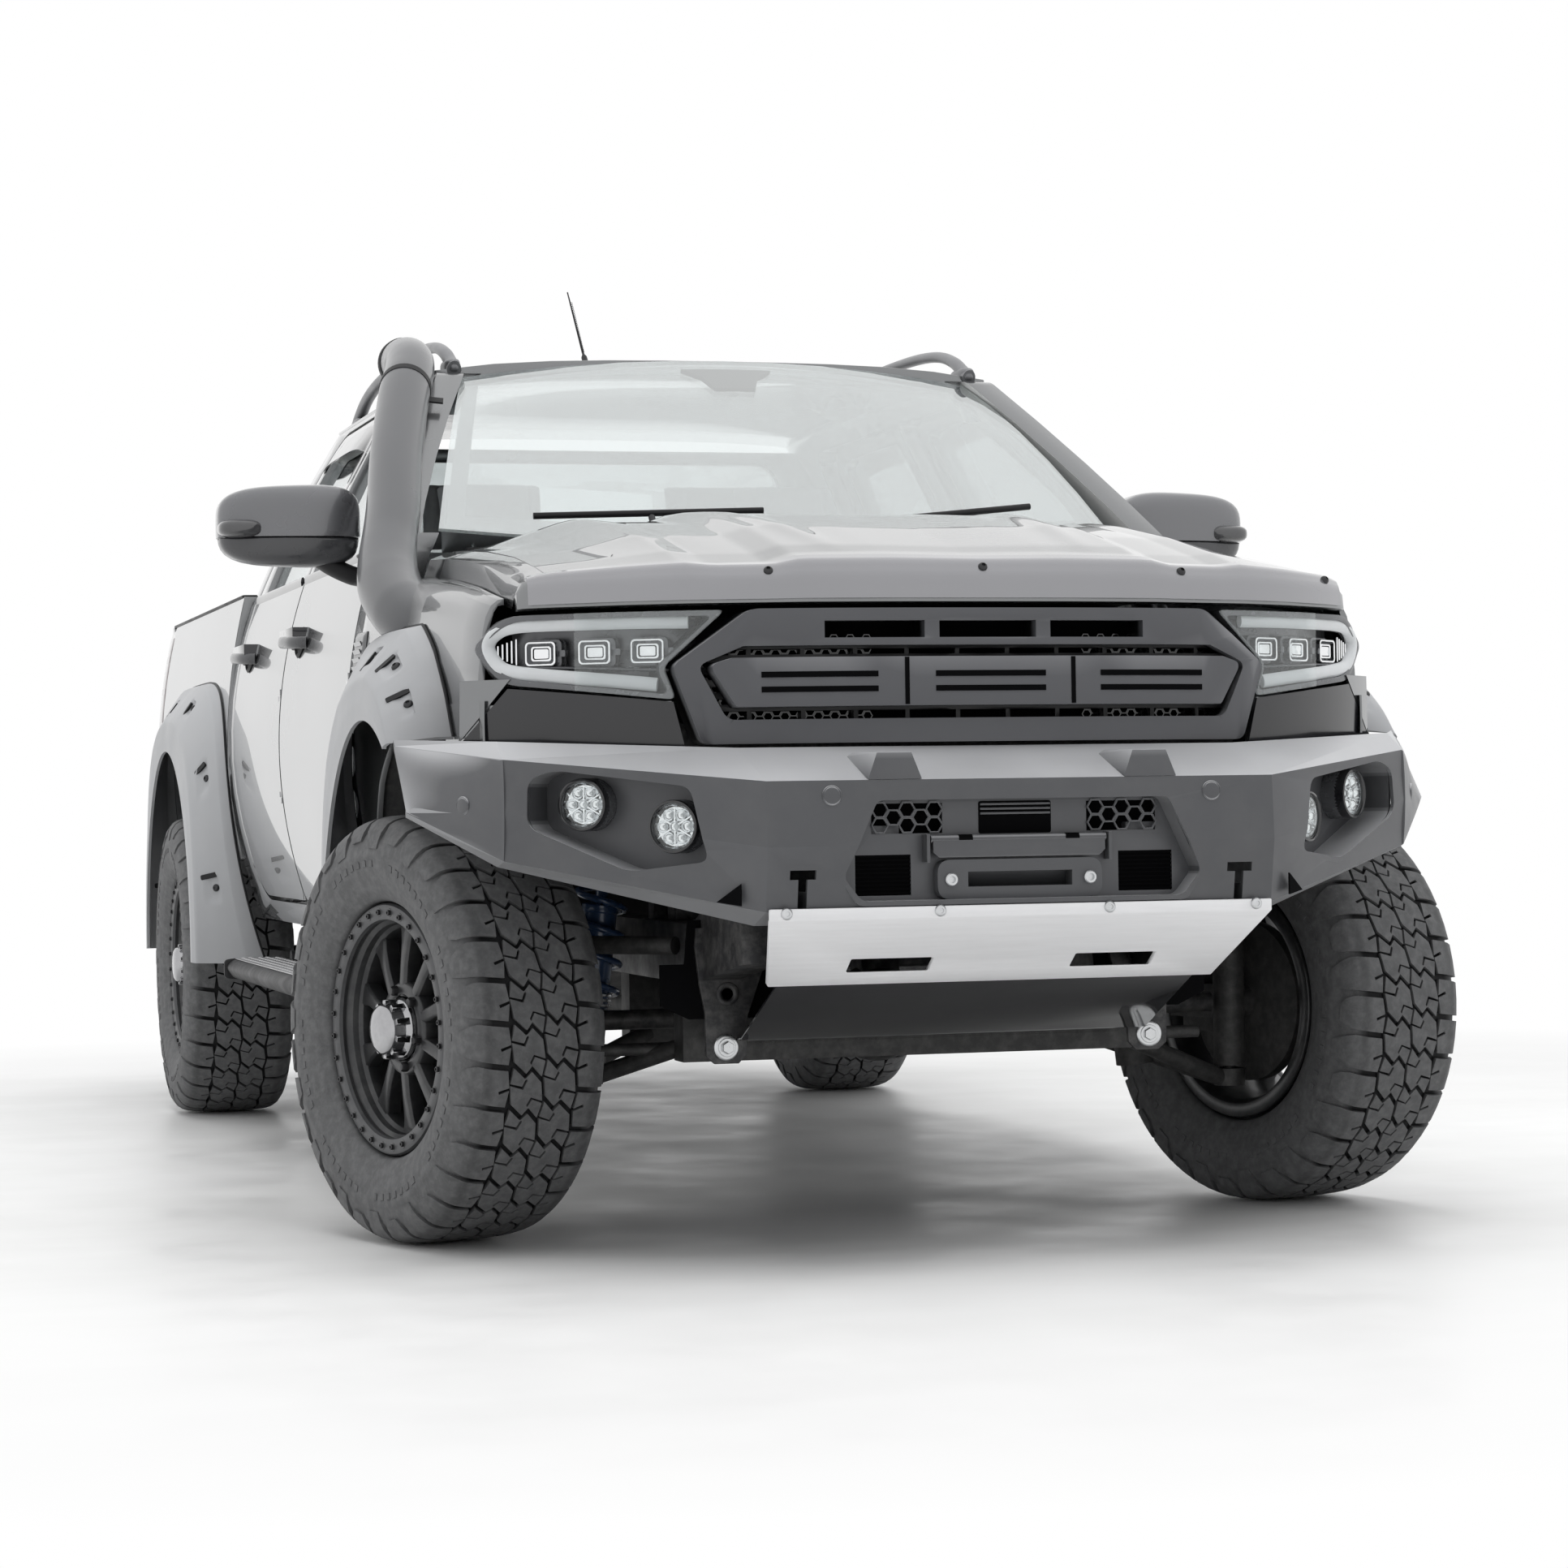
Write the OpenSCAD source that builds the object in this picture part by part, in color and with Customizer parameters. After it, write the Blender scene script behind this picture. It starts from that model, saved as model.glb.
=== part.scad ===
// Double-cab four-wheel-drive pickup with a folded-steel winch bumper, bolt-on wheel flares and a pillar air intake.
// Millimetres, +Z up, nose towards -Y, +X is the vehicle's left. Origin on the ground under the middle of the length.

/* [Overall] */
// Bumper face to front axle
front_overhang = 900; // [860:10:960]
// Back of the cab to the rear axle
cab_axle_d = 630; // [600:10:800]
// Rear axle to the end of the tow tongue
rear_overhang = 1280; // [1200:10:1400]
// Widest half-width of the doors
body_half_w = 925; // [880:5:960]
// Height of the roof's crown
roof_h = 1832; // [1780:2:1900]
// Angle the front wheels are turned to the left as parked
steer_deg = 17; // [-30:1:30]

/* [Wheels] */
// Tyre diameter over the tread blocks
tyre_d = 800; // [770:2:830]
// Tyre width over the sidewalls
tyre_w = 292; // [260:2:310]
// Diameter of the rim's clamp ring
rim_d = 470; // [450:2:490]
// Distance between the wheel centres of one axle
track = 1736; // [1680:2:1780]
// Distance of the steering axis from the wheel's middle plane
king_offset = 128; // [115:1:140]
// Number of spokes
spoke_n = 10; // [6:1:14]

/* [Cab] */
// Underside of the sills
sill_h = 540; // [500:5:580]
// Height of the widest point of the doors
waist_h = 960; // [900:5:1000]
// Height of the side windows' lower edge
belt_h = 1335; // [1300:5:1370]
// Front axle to the front door's leading edge
door_front_d = 655; // [620:5:700]
// Length of a front door
front_door_l = 1000; // [950:5:1050]
// Length of a rear door
rear_door_l = 835; // [780:5:880]
// Thickness of a door
door_t = 45; // [35:1:60]
// Shut line between doors and body
shut_gap = 10.5; // [9:0.5:14]
// Thickness of the glass
glass_t = 6; // [4:0.5:8]

/* [Load bed] */
// Tail of the bed to the end of the tow tongue
bed_end_d = 260; // [240:5:300]
// Height of the bed's rails
rail_h = 1362; // [1320:2:1400]
// Height of the bed's floor
bed_floor_h = 880; // [840:5:920]
// Thickness of the bed's walls
bed_wall = 45; // [35:1:60]

/* [Front] */
// Half-width of the bumper's flat middle
bumper_mid_half = 460; // [420:5:500]
// Half-width over the bumper's wing tips
bumper_half = 985; // [940:5:1010]
// Folded plate thickness of the bumper
bumper_plate = 8; // [5:0.5:12]
// Diameter of a driving lamp
lamp_d = 92; // [80:1:105]
// Thickness of the bonnet
bonnet_t = 18; // [12:1:25]

/* [Hidden] */
$fn = 48;
// Overrun of every cut
over = 2;
// Clearance where one piece seats in another
seat = 0.3;
// Running clearance of a pin in its eye
run = 0.08;

// Places along the vehicle
cab_back_d = 100;
wheelbase = door_front_d + front_door_l + rear_door_l + cab_back_d + cab_axle_d;
overall_l = front_overhang + wheelbase + rear_overhang;
y_front = -overall_l / 2;
y_rear = overall_l / 2;
front_axle_y = y_front + front_overhang;
rear_axle_y = front_axle_y + wheelbase;
axle_z = tyre_d / 2;
wheel_x = track / 2;
king_x = wheel_x - king_offset;
door_y = front_axle_y + door_front_d;
b_post_y = door_y + front_door_l;
door_end_y = b_post_y + rear_door_l;
cab_back_y = door_end_y + cab_back_d;
bed_gap = 20;
bed_y = cab_back_y + bed_gap;
bed_end_y = y_rear - bed_end_d;
bed_l = bed_end_y - bed_y;

// Shape of the cab's side, seen from the front
sill_tuck = 80;
belt_in = 66;
belt_half = body_half_w - belt_in;
roof_half = 640;
roof_crown = 62;
roof_edge_h = roof_h - roof_crown;
glass_bow = 12;
waist_steps = 10;
glass_steps = 4;
seal_gap = 8;
post_t = 47;
side_t = door_t + seal_gap + post_t;

// Helpers: steps of a row, outlines with eased corners, prisms seen from the side, front or top
corner_steps = 5;
ease_share = 0.45;
seam_deg = 30;
function levels(a, b, n) = [for (k = [0:n]) a + (b - a) * k / n];
function unit(v) = v / norm(v);
function eased(p, c, n, s) = (1 - s) * (1 - s) * p + 2 * (1 - s) * s * c + s * s * n;
function flat2(p) = [p[0], p[1]];
// Each corner is [a, b, ease]: the corner starts to turn that far before and after the point
function outline(pts) = [for (i = [0:len(pts) - 1])
  let (m = len(pts), c = flat2(pts[i]), p = flat2(pts[(i + m - 1) % m]), n = flat2(pts[(i + 1) % m]),
       r = min(pts[i][2], norm(p - c) * ease_share, norm(n - c) * ease_share),
       a = c + unit(p - c) * r, b = c + unit(n - c) * r)
  each r > 0 ? [for (k = [0:corner_steps]) eased(a, c, b, k / corner_steps)] : [c]];
function plate(half, b0, b1, ease) = outline([[-half, b0, ease], [half, b0, ease], [half, b1, ease], [-half,
  b1, ease]]);
// A table of [along share, up share, ease share] stretched between two places
function placed(shares, a0, a1, b0, b1) = [for (s = shares)
  [a0 + (a1 - a0) * s[0], b0 + (b1 - b0) * s[1], min(a1 - a0, b1 - b0) * s[2]]];

module both() {
  children();
  mirror([1, 0, 0]) children();
}
module side_prism(pts, x0, x1) translate([x0, 0, 0]) rotate([90, 0, 90]) linear_extrude(x1 - x0) polygon(pts);
module front_prism(pts, y0, y1) translate([0, y1, 0]) rotate([90, 0, 0]) linear_extrude(y1 - y0) polygon(pts);
module plan_prism(pts, z0, z1) translate([0, 0, z0]) linear_extrude(z1 - z0) polygon(pts);
module box(x0, x1, y0, y1, z0, z1) translate([x0, y0, z0]) cube([x1 - x0, y1 - y0, z1 - z0]);
module rod(a, b, d) {
  v = b - a;
  l = norm(v);
  translate(a) rotate([0, acos(v[2] / l), atan2(v[1], v[0])]) rotate([0, 0, seam_deg]) cylinder(h = l, d = d);
}
module cross_rod(x0, x1, y, z, d) translate([x0, y, z]) rotate([0, 90, 0]) cylinder(h = x1 - x0, d = d);

// A panel from an outer and an inner grid of points; the outside lies on the side of u cross v
module panel(outer, inner) {
  nu = len(outer);
  nv = len(outer[0]);
  n = nu * nv;
  pts = concat([for (r = outer) each r], [for (r = inner) each r]);
  skin = [for (i = [0:nu - 2]) for (j = [0:nv - 2])
    let (a = i * nv + j, b = a + nv, c = b + 1, d = a + 1)
    each [[a, c, b], [a, d, c], [a + n, b + n, c + n], [a + n, c + n, d + n]]];
  ends_u = [for (j = [0:nv - 2])
    let (a = j, d = j + 1, e = (nu - 1) * nv + j, f = e + 1)
    each [[a, d + n, d], [a, a + n, d + n], [e, f, f + n], [e, f + n, e + n]]];
  ends_v = [for (i = [0:nu - 2])
    let (a = i * nv, b = a + nv, e = a + nv - 1, f = b + nv - 1)
    each [[a, b, b + n], [a, b + n, a + n], [e, f + n, f], [e, e + n, f + n]]];
  polyhedron(pts, concat(skin, ends_u, ends_v));
}

// Outer half-width of doors and cab at height z
function side_x(z) = z <= belt_h
  ? body_half_w - sill_tuck * pow((z - waist_h) / (waist_h - sill_h), 2)
  : let (s = (z - belt_h) / (roof_edge_h - belt_h)) belt_half + (roof_half - belt_half) * s
      + glass_bow * s * (1 - s) / bow_share;
bow_share = 0.25;
belt_step = 6;
side_z = concat(levels(sill_h, belt_h, waist_steps), levels(belt_h + belt_step, roof_edge_h, glass_steps));
module side_shell(d0, d1, y0, y1) {
  top = len(side_z) - 1;
  front_prism(concat(
    [for (z = side_z) [side_x(z) - d0, z]],
    [for (k = [top:-1:0]) [side_x(side_z[k]) - d1, side_z[k]]]), y0, y1);
}

// Outlines of the cab seen from the side
sill_deep = 62;
head_rail = 26;
door_low = sill_h + sill_deep;
door_top = roof_edge_h - head_rail;
front_door_shares = [[0, 0, 0.03], [1, 0, 0.03], [1, 1, 0.04], [0.57, 1, 0.06], [0, 0.652, 0.04]];
rear_door_shares = [[0, 0, 0.036], [0.84, 0, 0.108], [1, 0.3, 0.072], [1, 0.7, 0.072], [0.84, 1, 0.084], [0,
  1, 0.048]];
front_glass_shares = [[0.115, 0, 0.04], [0.945, 0, 0.086], [0.935, 1, 0.086], [0.615, 1, 0.173]];
rear_glass_shares = [[0.075, 0, 0.086], [0.87, 0, 0.058], [0.87, 0.35, 0.115], [0.775, 1, 0.144], [0.085, 1,
  0.086]];
glass_rise = 14;
glass_head = 48;
glass_low = belt_h + glass_rise;
glass_top = door_top - glass_head;
function front_door(g) = outline(placed(front_door_shares,
  door_y - g, b_post_y - shut_gap / 2 + g, door_low - g, door_top + g));
function rear_door(g) = outline(placed(rear_door_shares,
  b_post_y + shut_gap / 2 - g, door_end_y + g, door_low - g, door_top + g));
function front_glass(g) = outline(placed(front_glass_shares,
  door_y - 3 * g, b_post_y + g, glass_low - g, glass_top + g));
function rear_glass(g) = outline(placed(rear_glass_shares,
  b_post_y - g, door_end_y + g, glass_low - g, glass_top + g));
entry_lip = 26;
front_post = 80;
pillar_foot_y = door_y - front_post;
pillar_lean = 470;
pillar_head_y = door_y + pillar_lean;
cab_lean = 60;
cab_ease = 10;
cab_outline = outline([[pillar_foot_y, sill_h, cab_ease], [cab_back_y, sill_h, cab_ease], [cab_back_y,
  belt_h, cab_lean],
  [cab_back_y - cab_lean, roof_edge_h, 2 * cab_ease], [pillar_head_y, roof_edge_h, 2 * cab_ease],
  [pillar_foot_y, belt_h + front_post / 2, cab_ease]]);

// Door hinges: pin on the cab, eye on the door
hinge_in = 11;
hinge_back = 9;
hinge_pin_d = 8;
hinge_eye_d = 14;
hinge_eye_h = 44;
hinge_ear_h = 14;
hinge_spread = 95;
hinge_x = body_half_w - hinge_in;
hinge_notch = 12;
module at_hinges(y) for (s = [-1, 1]) translate([hinge_x, y + hinge_back,
  waist_h + s * hinge_spread]) children();
// Straps reach out from the flange of the post behind the door
module hinge_straps() {
  h = hinge_eye_h + 2 * hinge_ear_h + over;
  reach = door_t + seal_gap + hinge_notch;
  translate([0, 0, -h / 2]) cylinder(h = h, d = hinge_pin_d);
  for (s = [0, 1]) mirror([0, 0, s]) translate([0, 0, h / 2 - hinge_ear_h]) {
    cylinder(h = hinge_ear_h, d = hinge_eye_d);
    box(-reach, 0, -hinge_eye_d / 2, hinge_eye_d / 2, 0, hinge_ear_h);
  }
}
module hinge_eye() difference() {
  union() {
    translate([0, 0, -hinge_eye_h / 2]) cylinder(h = hinge_eye_h, d = hinge_eye_d);
    box(-hinge_eye_d / 2, hinge_eye_d / 2, 0, 2 * hinge_notch, -hinge_eye_h / 2, hinge_eye_h / 2);
  }
  translate([0, 0, -hinge_eye_h]) cylinder(h = 2 * hinge_eye_h, d = hinge_pin_d + 2 * run);
}
module hinge_space() {
  h = hinge_eye_h + 2 * (hinge_ear_h + hinge_notch / 2);
  wide = hinge_eye_d / 2 + hinge_notch / 2;
  translate([0, 0, -h / 2]) cylinder(h = h, r = wide);
  box(-2 * door_t, 2 * hinge_eye_d, -3 * hinge_notch, 0, -h / 2, h / 2);
  box(-2 * door_t, 0, -3 * hinge_notch, wide, -h / 2, h / 2);
}

// One door of the left side; the right side is its mirror image
handle_l = 210;
handle_h = 34;
handle_out = 34;
handle_up = 245;
handle_back = 70;
handle_post = 26;
module door_handle(y_end) {
  z = waist_h + handle_up;
  x = side_x(z);
  y0 = y_end - handle_back - handle_l;
  for (y = [y0, y0 + handle_l - handle_post])
    box(x - door_t / 2, x + handle_out, y, y + handle_post, z - handle_h / 2, z + handle_h / 2);
  box(x + handle_out / 2, x + handle_out, y0, y0 + handle_l, z - handle_h / 2, z + handle_h / 2);
}
module door_panel(shape, window, y0, y1) {
  difference() {
    intersection() {
      side_shell(0, door_t, y0 - over, y1 + over);
      side_prism(shape, 0, body_half_w + over);
    }
    side_prism(window, 0, body_half_w + over);
    at_hinges(y0) hinge_space();
  }
  at_hinges(y0) hinge_eye();
  door_handle(y1);
}
module door_front_left() color("silver") door_panel(front_door(0), front_glass(0), door_y, b_post_y);
module door_front_right() mirror([1, 0, 0]) door_front_left();
module door_rear_left() color("silver") door_panel(rear_door(0), rear_glass(0), b_post_y + shut_gap / 2,
  door_end_y);
module door_rear_right() mirror([1, 0, 0]) door_rear_left();
glass_in = 18;
module side_glass(window, y0, y1) intersection() {
  side_shell(glass_in, glass_in + glass_t, y0, y1);
  side_prism(window, 0, body_half_w);
}
module glass_front_left() color("lightblue") side_glass(front_glass(-seat), door_y, b_post_y);
module glass_front_right() mirror([1, 0, 0]) glass_front_left();
module glass_rear_left() color("lightblue") side_glass(rear_glass(-seat), b_post_y, door_end_y);
module glass_rear_right() mirror([1, 0, 0]) glass_rear_left();

// Cab sides: pillars, sill and roof rail round the two door openings
module cab_side() {
  difference() {
    intersection() {
      side_shell(0, side_t, pillar_foot_y - over, cab_back_y + over);
      side_prism(cab_outline, 0, body_half_w + over);
    }
    for (shape = [front_door(shut_gap), rear_door(shut_gap)]) intersection() {
      side_shell(-over, door_t + seal_gap, pillar_foot_y, cab_back_y);
      side_prism(shape, 0, body_half_w + over);
    }
    side_prism(front_door(-entry_lip), 0, body_half_w + over);
    side_prism(rear_door(-entry_lip), 0, body_half_w + over);
    intersection() {
      side_shell(-over, wing_t + over, pillar_foot_y - 2 * over, door_y - shut_gap);
      side_prism(post_cover, 0, body_half_w + over);
    }
    box(wing_line - wing_t, 2 * body_half_w, y_front, door_y - shut_gap, wing_top - 2 * roll_start, wing_top);
    intersection() {
      side_shell(pillar_t, side_t + over, pillar_foot_y - over, pillar_head_y + front_post / 2);
      box(0, body_half_w, y_front, y_rear, belt_h + front_post / 2, roof_h);
    }
  }
  at_hinges(door_y) hinge_straps();
  at_hinges(b_post_y + shut_gap / 2) hinge_straps();
}
wing_t = 12;
pillar_t = 60;
post_cover = [[pillar_foot_y - over, sill_h - over], [door_y, sill_h - over], [door_y, belt_h],
  [pillar_foot_y - over, belt_h]];
module cab_sides() color("silver") both() cab_side();

// Windscreen surface: u runs across from -1 to 1, v from the cowl to the roof
screen_low_half = 735;
screen_top_half = 583;
screen_lead = 165;
screen_rise = 12;
screen_head = 25;
screen_top_drop = 30;
screen_low_y = door_y - screen_lead;
screen_low_h = belt_h + screen_rise;
screen_top_y = pillar_head_y - screen_head;
screen_top_h = roof_h - screen_top_drop;
screen_sweep = 130;
screen_head_sweep = 50;
screen_drop = 40;
screen_us = levels(-1, 1, 10);
screen_vs = levels(0, 1, 5);
screen_bow = 25;
function screen_at(u, v) = [
  u * (screen_low_half + (screen_top_half - screen_low_half) * v),
  screen_low_y + screen_sweep * u * u * (1 - v) + (screen_top_y - screen_low_y) * v + screen_head_sweep * u * u * v,
  screen_low_h + screen_drop * u * u * (1 - v) + (screen_top_h - screen_low_h) * v
    - screen_drop * u * u * v + screen_bow * v * (1 - v) / bow_share];
rear_pane_half = 590;
rear_pane_rise = 25;
rear_pane_head = 70;
rear_pane_low = belt_h + rear_pane_rise;
rear_pane_top = roof_edge_h - rear_pane_head;
rear_pane_narrow = 90;
back_t = 50;
rear_pane_ease = 50;
function rear_pane(g) = outline([[-rear_pane_half - g, rear_pane_low - g, rear_pane_ease],
  [rear_pane_half + g, rear_pane_low - g, rear_pane_ease],
  [rear_pane_half - rear_pane_narrow + g, rear_pane_top + g, rear_pane_ease],
  [-rear_pane_half + rear_pane_narrow - g, rear_pane_top + g, rear_pane_ease]]);
module screens() color("lightblue") {
  panel([for (u = screen_us) [for (v = screen_vs) screen_at(u, v)]],
    [for (u = screen_us) [for (v = screen_vs) screen_at(u, v) - [0, -glass_t / 2, glass_t]]]);
  front_prism(rear_pane(-seat), cab_back_y - cab_lean - back_t / 2,
    cab_back_y - cab_lean - back_t / 2 + glass_t);
}

// Roof: crowned both ways, its front edge follows the screen
roof_t = 36;
roof_front_fall = 30;
roof_back_y = cab_back_y - cab_lean;
roof_us = levels(-1, 1, 10);
roof_vs = levels(0, 1, 8);
roof_lip = 8;
function roof_at(u, v) = let (
  y0 = screen_at(u * roof_half / screen_top_half, 1)[1] + glass_t / 2 + seat,
  y = y0 + (roof_back_y - y0) * v,
  lead = 1 - v,
  fall = roof_front_fall * pow(lead, 3) + roof_front_fall * pow(v, 4))
  [u * roof_half, y, roof_h - (roof_h - roof_edge_h - roof_lip) * u * u * u * u - fall * (1 - u * u * u * u)];
function roof_grid(dz) = [for (u = roof_us) [for (v = roof_vs) roof_at(u, v) + [0, 0, dz]]];
module cab_roof() color("silver") difference() {
  panel(roof_grid(0), roof_grid(-roof_t));
  both() side_block(-seat);
}
// Everything outside the inner face of a cab side
module side_block(g) front_prism(concat(
  [for (z = side_z) [side_x(z) - side_t + g, z]], [[2 * body_half_w, roof_edge_h], [2 * body_half_w, sill_h]]),
  y_front, y_rear);

// Back wall of the cab, between the sides and below the roof
floor_t = 30;
floor_rise = 10;
floor_z = sill_h + floor_rise;
module cab_back() color("silver") difference() {
  intersection() {
    front_prism(concat([for (z = side_z) [side_x(z) - side_t - seat, z]],
      [for (k = [len(side_z) - 1:-1:0]) [-side_x(side_z[k]) + side_t + seat, side_z[k]]]),
      cab_back_y - cab_lean - back_t, cab_back_y - cab_lean);
    box(-body_half_w, body_half_w, y_front, y_rear, floor_z + floor_t, roof_edge_h - roof_t);
  }
  front_prism(rear_pane(0), cab_back_y - cab_lean - 2 * back_t, cab_back_y);
}
// Floor pan with a tunnel, toe board and bulkhead
tunnel_half = 170;
tunnel_h = 150;
tunnel_wall = 20;
bulkhead_lead = 60;
bulkhead_y = door_y - bulkhead_lead;
bulkhead_t = 30;
cowl_t = 25;
floor_half = side_x(sill_h) - side_t - seat;
module cab_floor() color("dimgray") difference() {
  union() {
    box(-floor_half, floor_half, bulkhead_y, cab_back_y - cab_lean, floor_z, floor_z + floor_t);
    box(-tunnel_half, tunnel_half, bulkhead_y, cab_back_y - cab_lean - back_t - over, floor_z,
      floor_z + tunnel_h);
  }
  box(-tunnel_half + tunnel_wall, tunnel_half - tunnel_wall, y_front, y_rear, floor_z - over,
    floor_z + tunnel_h - tunnel_wall);
}
cowl_in = 10;
cowl_half = screen_low_half - cowl_in;
cowl_z = screen_low_h - 4 * cowl_t;
ear_gap = 2;
ear_t = 12;
bulkhead_half = floor_half - over;
module bulkhead() color("dimgray") {
  box(-bulkhead_half, bulkhead_half, bulkhead_y, bulkhead_y + bulkhead_t, floor_z + tunnel_h,
    screen_low_h - 2 * cowl_t);
  box(-bulkhead_half, -tunnel_half, bulkhead_y, bulkhead_y + bulkhead_t, floor_z + floor_t, floor_z + tunnel_h);
  box(tunnel_half, bulkhead_half, bulkhead_y, bulkhead_y + bulkhead_t, floor_z + floor_t, floor_z + tunnel_h);
  box(-cowl_half, cowl_half, bonnet_hinge_y - hinge_eye_d / 2, bulkhead_y + bulkhead_t, cowl_z - cowl_t,
    cowl_z);
  both() for (x = [bonnet_hinge_x - ear_gap - ear_t, bonnet_hinge_x + bonnet_eye_l + ear_gap])
    box(x, x + ear_t, bonnet_hinge_y - hinge_eye_d / 2, bonnet_hinge_y + hinge_eye_d / 2, cowl_z - over,
      bonnet_hinge_z + hinge_pin_d);
  both() cross_rod(bonnet_hinge_x - ear_gap - ear_t, bonnet_hinge_x + bonnet_eye_l + ear_gap + ear_t,
    bonnet_hinge_y, bonnet_hinge_z, hinge_pin_d);
  box(-cowl_half + cowl_t, cowl_half - cowl_t, screen_low_y, screen_low_y + cowl_t, cowl_z - over,
    screen_low_h - glass_t - over);
}

// Dashboard with the wheel in front of the right-hand seat
dash_h = 190;
dash_l = 330;
dash_drop = 30;
dash_top = belt_h - dash_drop;
dash_front_y = bulkhead_y + bulkhead_t;
dash_half = floor_half - 2 * over;
wheel_seat_x = -370;
steer_d = 370;
steer_grip = 28;
steer_tilt = 65;
dash_shares = [[0, 0, 0], [0.7, 0.1, 0.16], [1, 0.7, 0.18], [0.8, 1, 0.2], [0, 1, 0]];
module dashboard() color("black") {
  side_prism(outline(placed(dash_shares, dash_front_y, dash_front_y + dash_l, dash_top - dash_h, dash_top)),
    -dash_half, dash_half);
  translate([wheel_seat_x, dash_front_y + dash_l, dash_top - dash_h / 2]) rotate([-steer_tilt, 0, 0]) {
    translate([0, 0, -dash_h / 2]) cylinder(h = dash_h, d = 2 * steer_grip);
    translate([0, 0, dash_h / 2]) {
      rotate_extrude() translate([steer_d / 2, 0]) circle(d = steer_grip);
      for (a = [0, 120, 240]) rotate([0, 0, a + 90])
        box(0, steer_d / 2, -steer_grip / 2, steer_grip / 2, -steer_grip / 3, steer_grip / 4);
      cylinder(h = steer_grip, d = steer_d / 3, center = true);
    }
  }
}
// Seats: two in front, a bench behind
seat_w = 500;
seat_l = 500;
seat_pad = 110;
seat_back_h = 620;
seat_lean = 18;
seat_base_z = floor_z + floor_t;
seat_lift = 230;
bench_half = 640;
seat_row_d = 560;
seat_row_y = door_y + seat_row_d;
bench_l = 615;
bench_lean = 7;
bench_y = cab_back_y - cab_lean - back_t - bench_l;
seat_foot_w = 280;
head_w = 250;
head_h = 170;
pad_ease = 40;
seat_shares = [[0, 0, 0.27], [1, 0, 0.27], [1, 1, 0.36], [0, 1, 0.36]];
module cushion(w, l, h) translate([-w / 2, 0, 0])
  side_prism(outline(placed(seat_shares, 0, l, 0, h)), 0, w);
module one_seat(w, heads, lean) {
  for (x = heads)
    box(x - seat_foot_w / 2, x + seat_foot_w / 2, seat_l / 8, seat_l * 7 / 8, seat_base_z,
      seat_base_z + seat_lift);
  translate([0, 0, seat_base_z + seat_lift]) cushion(w, seat_l, seat_pad);
  translate([0, seat_l - seat_pad, seat_base_z + seat_lift + seat_pad / 2]) rotate([-lean, 0, 0]) {
    cushion(w, seat_pad, seat_back_h);
    for (x = heads) translate([x, seat_pad / 4, seat_back_h - over]) {
      cushion(head_w, seat_pad / 2 + pad_ease / 2, head_h);
    }
  }
}
module seats() color("dimgray") {
  for (s = [-1, 1]) translate([s * -wheel_seat_x, seat_row_y, 0]) one_seat(seat_w, [0], seat_lean);
  translate([0, bench_y, 0]) one_seat(2 * bench_half, [-bench_half / 2, bench_half / 2], bench_lean);
}

// Bonnet: rows run from the lip to the rear edge, columns from side to side
nose_back = 200;
nose_y = y_front + nose_back;
nose_half = 860;
nose_sweep = 300;
lip_h = 1162;
bonnet_half = 795;
cowl_gap = 18;
bonnet_rear_y = screen_low_y - 2 * cowl_t - cowl_gap;
cowl_rise = 20;
bonnet_rear_h = belt_h + cowl_rise;
fold_rise = 82;
bonnet_fold_h = lip_h + fold_rise;
bonnet_rear_sweep = 40;
function nose_at(x) = nose_y + nose_sweep * pow(abs(x) / nose_half, 3);
// Columns: share of the half-width, share of the drop below the middle
bonnet_drop = 78;
bonnet_column_shares = [[1, 1], [0.985, 0.56], [0.94, 0.38], [0.78, 0.22], [0.66, 0.13], [0.6, 0.24], [0.47,
  0.23],
  [0.41, 0.02], [0.2, 0], [0, 0.04]];
// Rows: shares of the length, of the rise to the fold, of the rise from fold to rear, of the drop
bonnet_rows = [[0, 0, 0, 0.02], [0.006, 0.55, 0, 0.25], [0.02, 0.86, 0, 0.55], [0.05, 1, 0, 0.8], [0.15, 1,
  0.22, 0.95],
  [0.35, 1, 0.52, 1], [0.6, 1, 0.76, 1], [0.8, 1, 0.9, 1], [1, 1, 1, 1]];
column_n = len(bonnet_column_shares);
bonnet_full = concat([for (c = bonnet_column_shares) [-c[0], c[1]]],
  [for (k = [column_n - 2:-1:0]) bonnet_column_shares[k]]);
function bonnet_at(c, r) = let (
  x = c[0] * bonnet_half,
  y0 = nose_at(x),
  y1 = bonnet_rear_y + bonnet_rear_sweep * c[0] * c[0])
  [x, y0 + (y1 - y0) * r[0],
   lip_h + (bonnet_fold_h - lip_h) * r[1] + (bonnet_rear_h - bonnet_fold_h) * r[2]
     - bonnet_drop * c[1] * r[3]];
bonnet_hinge_x = 560;
bonnet_hinge_in = 20;
bonnet_hinge_drop = 50;
bonnet_hinge_y = bonnet_rear_y - bonnet_hinge_in;
bonnet_hinge_z = bonnet_rear_h - bonnet_hinge_drop;
bonnet_eye_l = 50;
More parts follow.
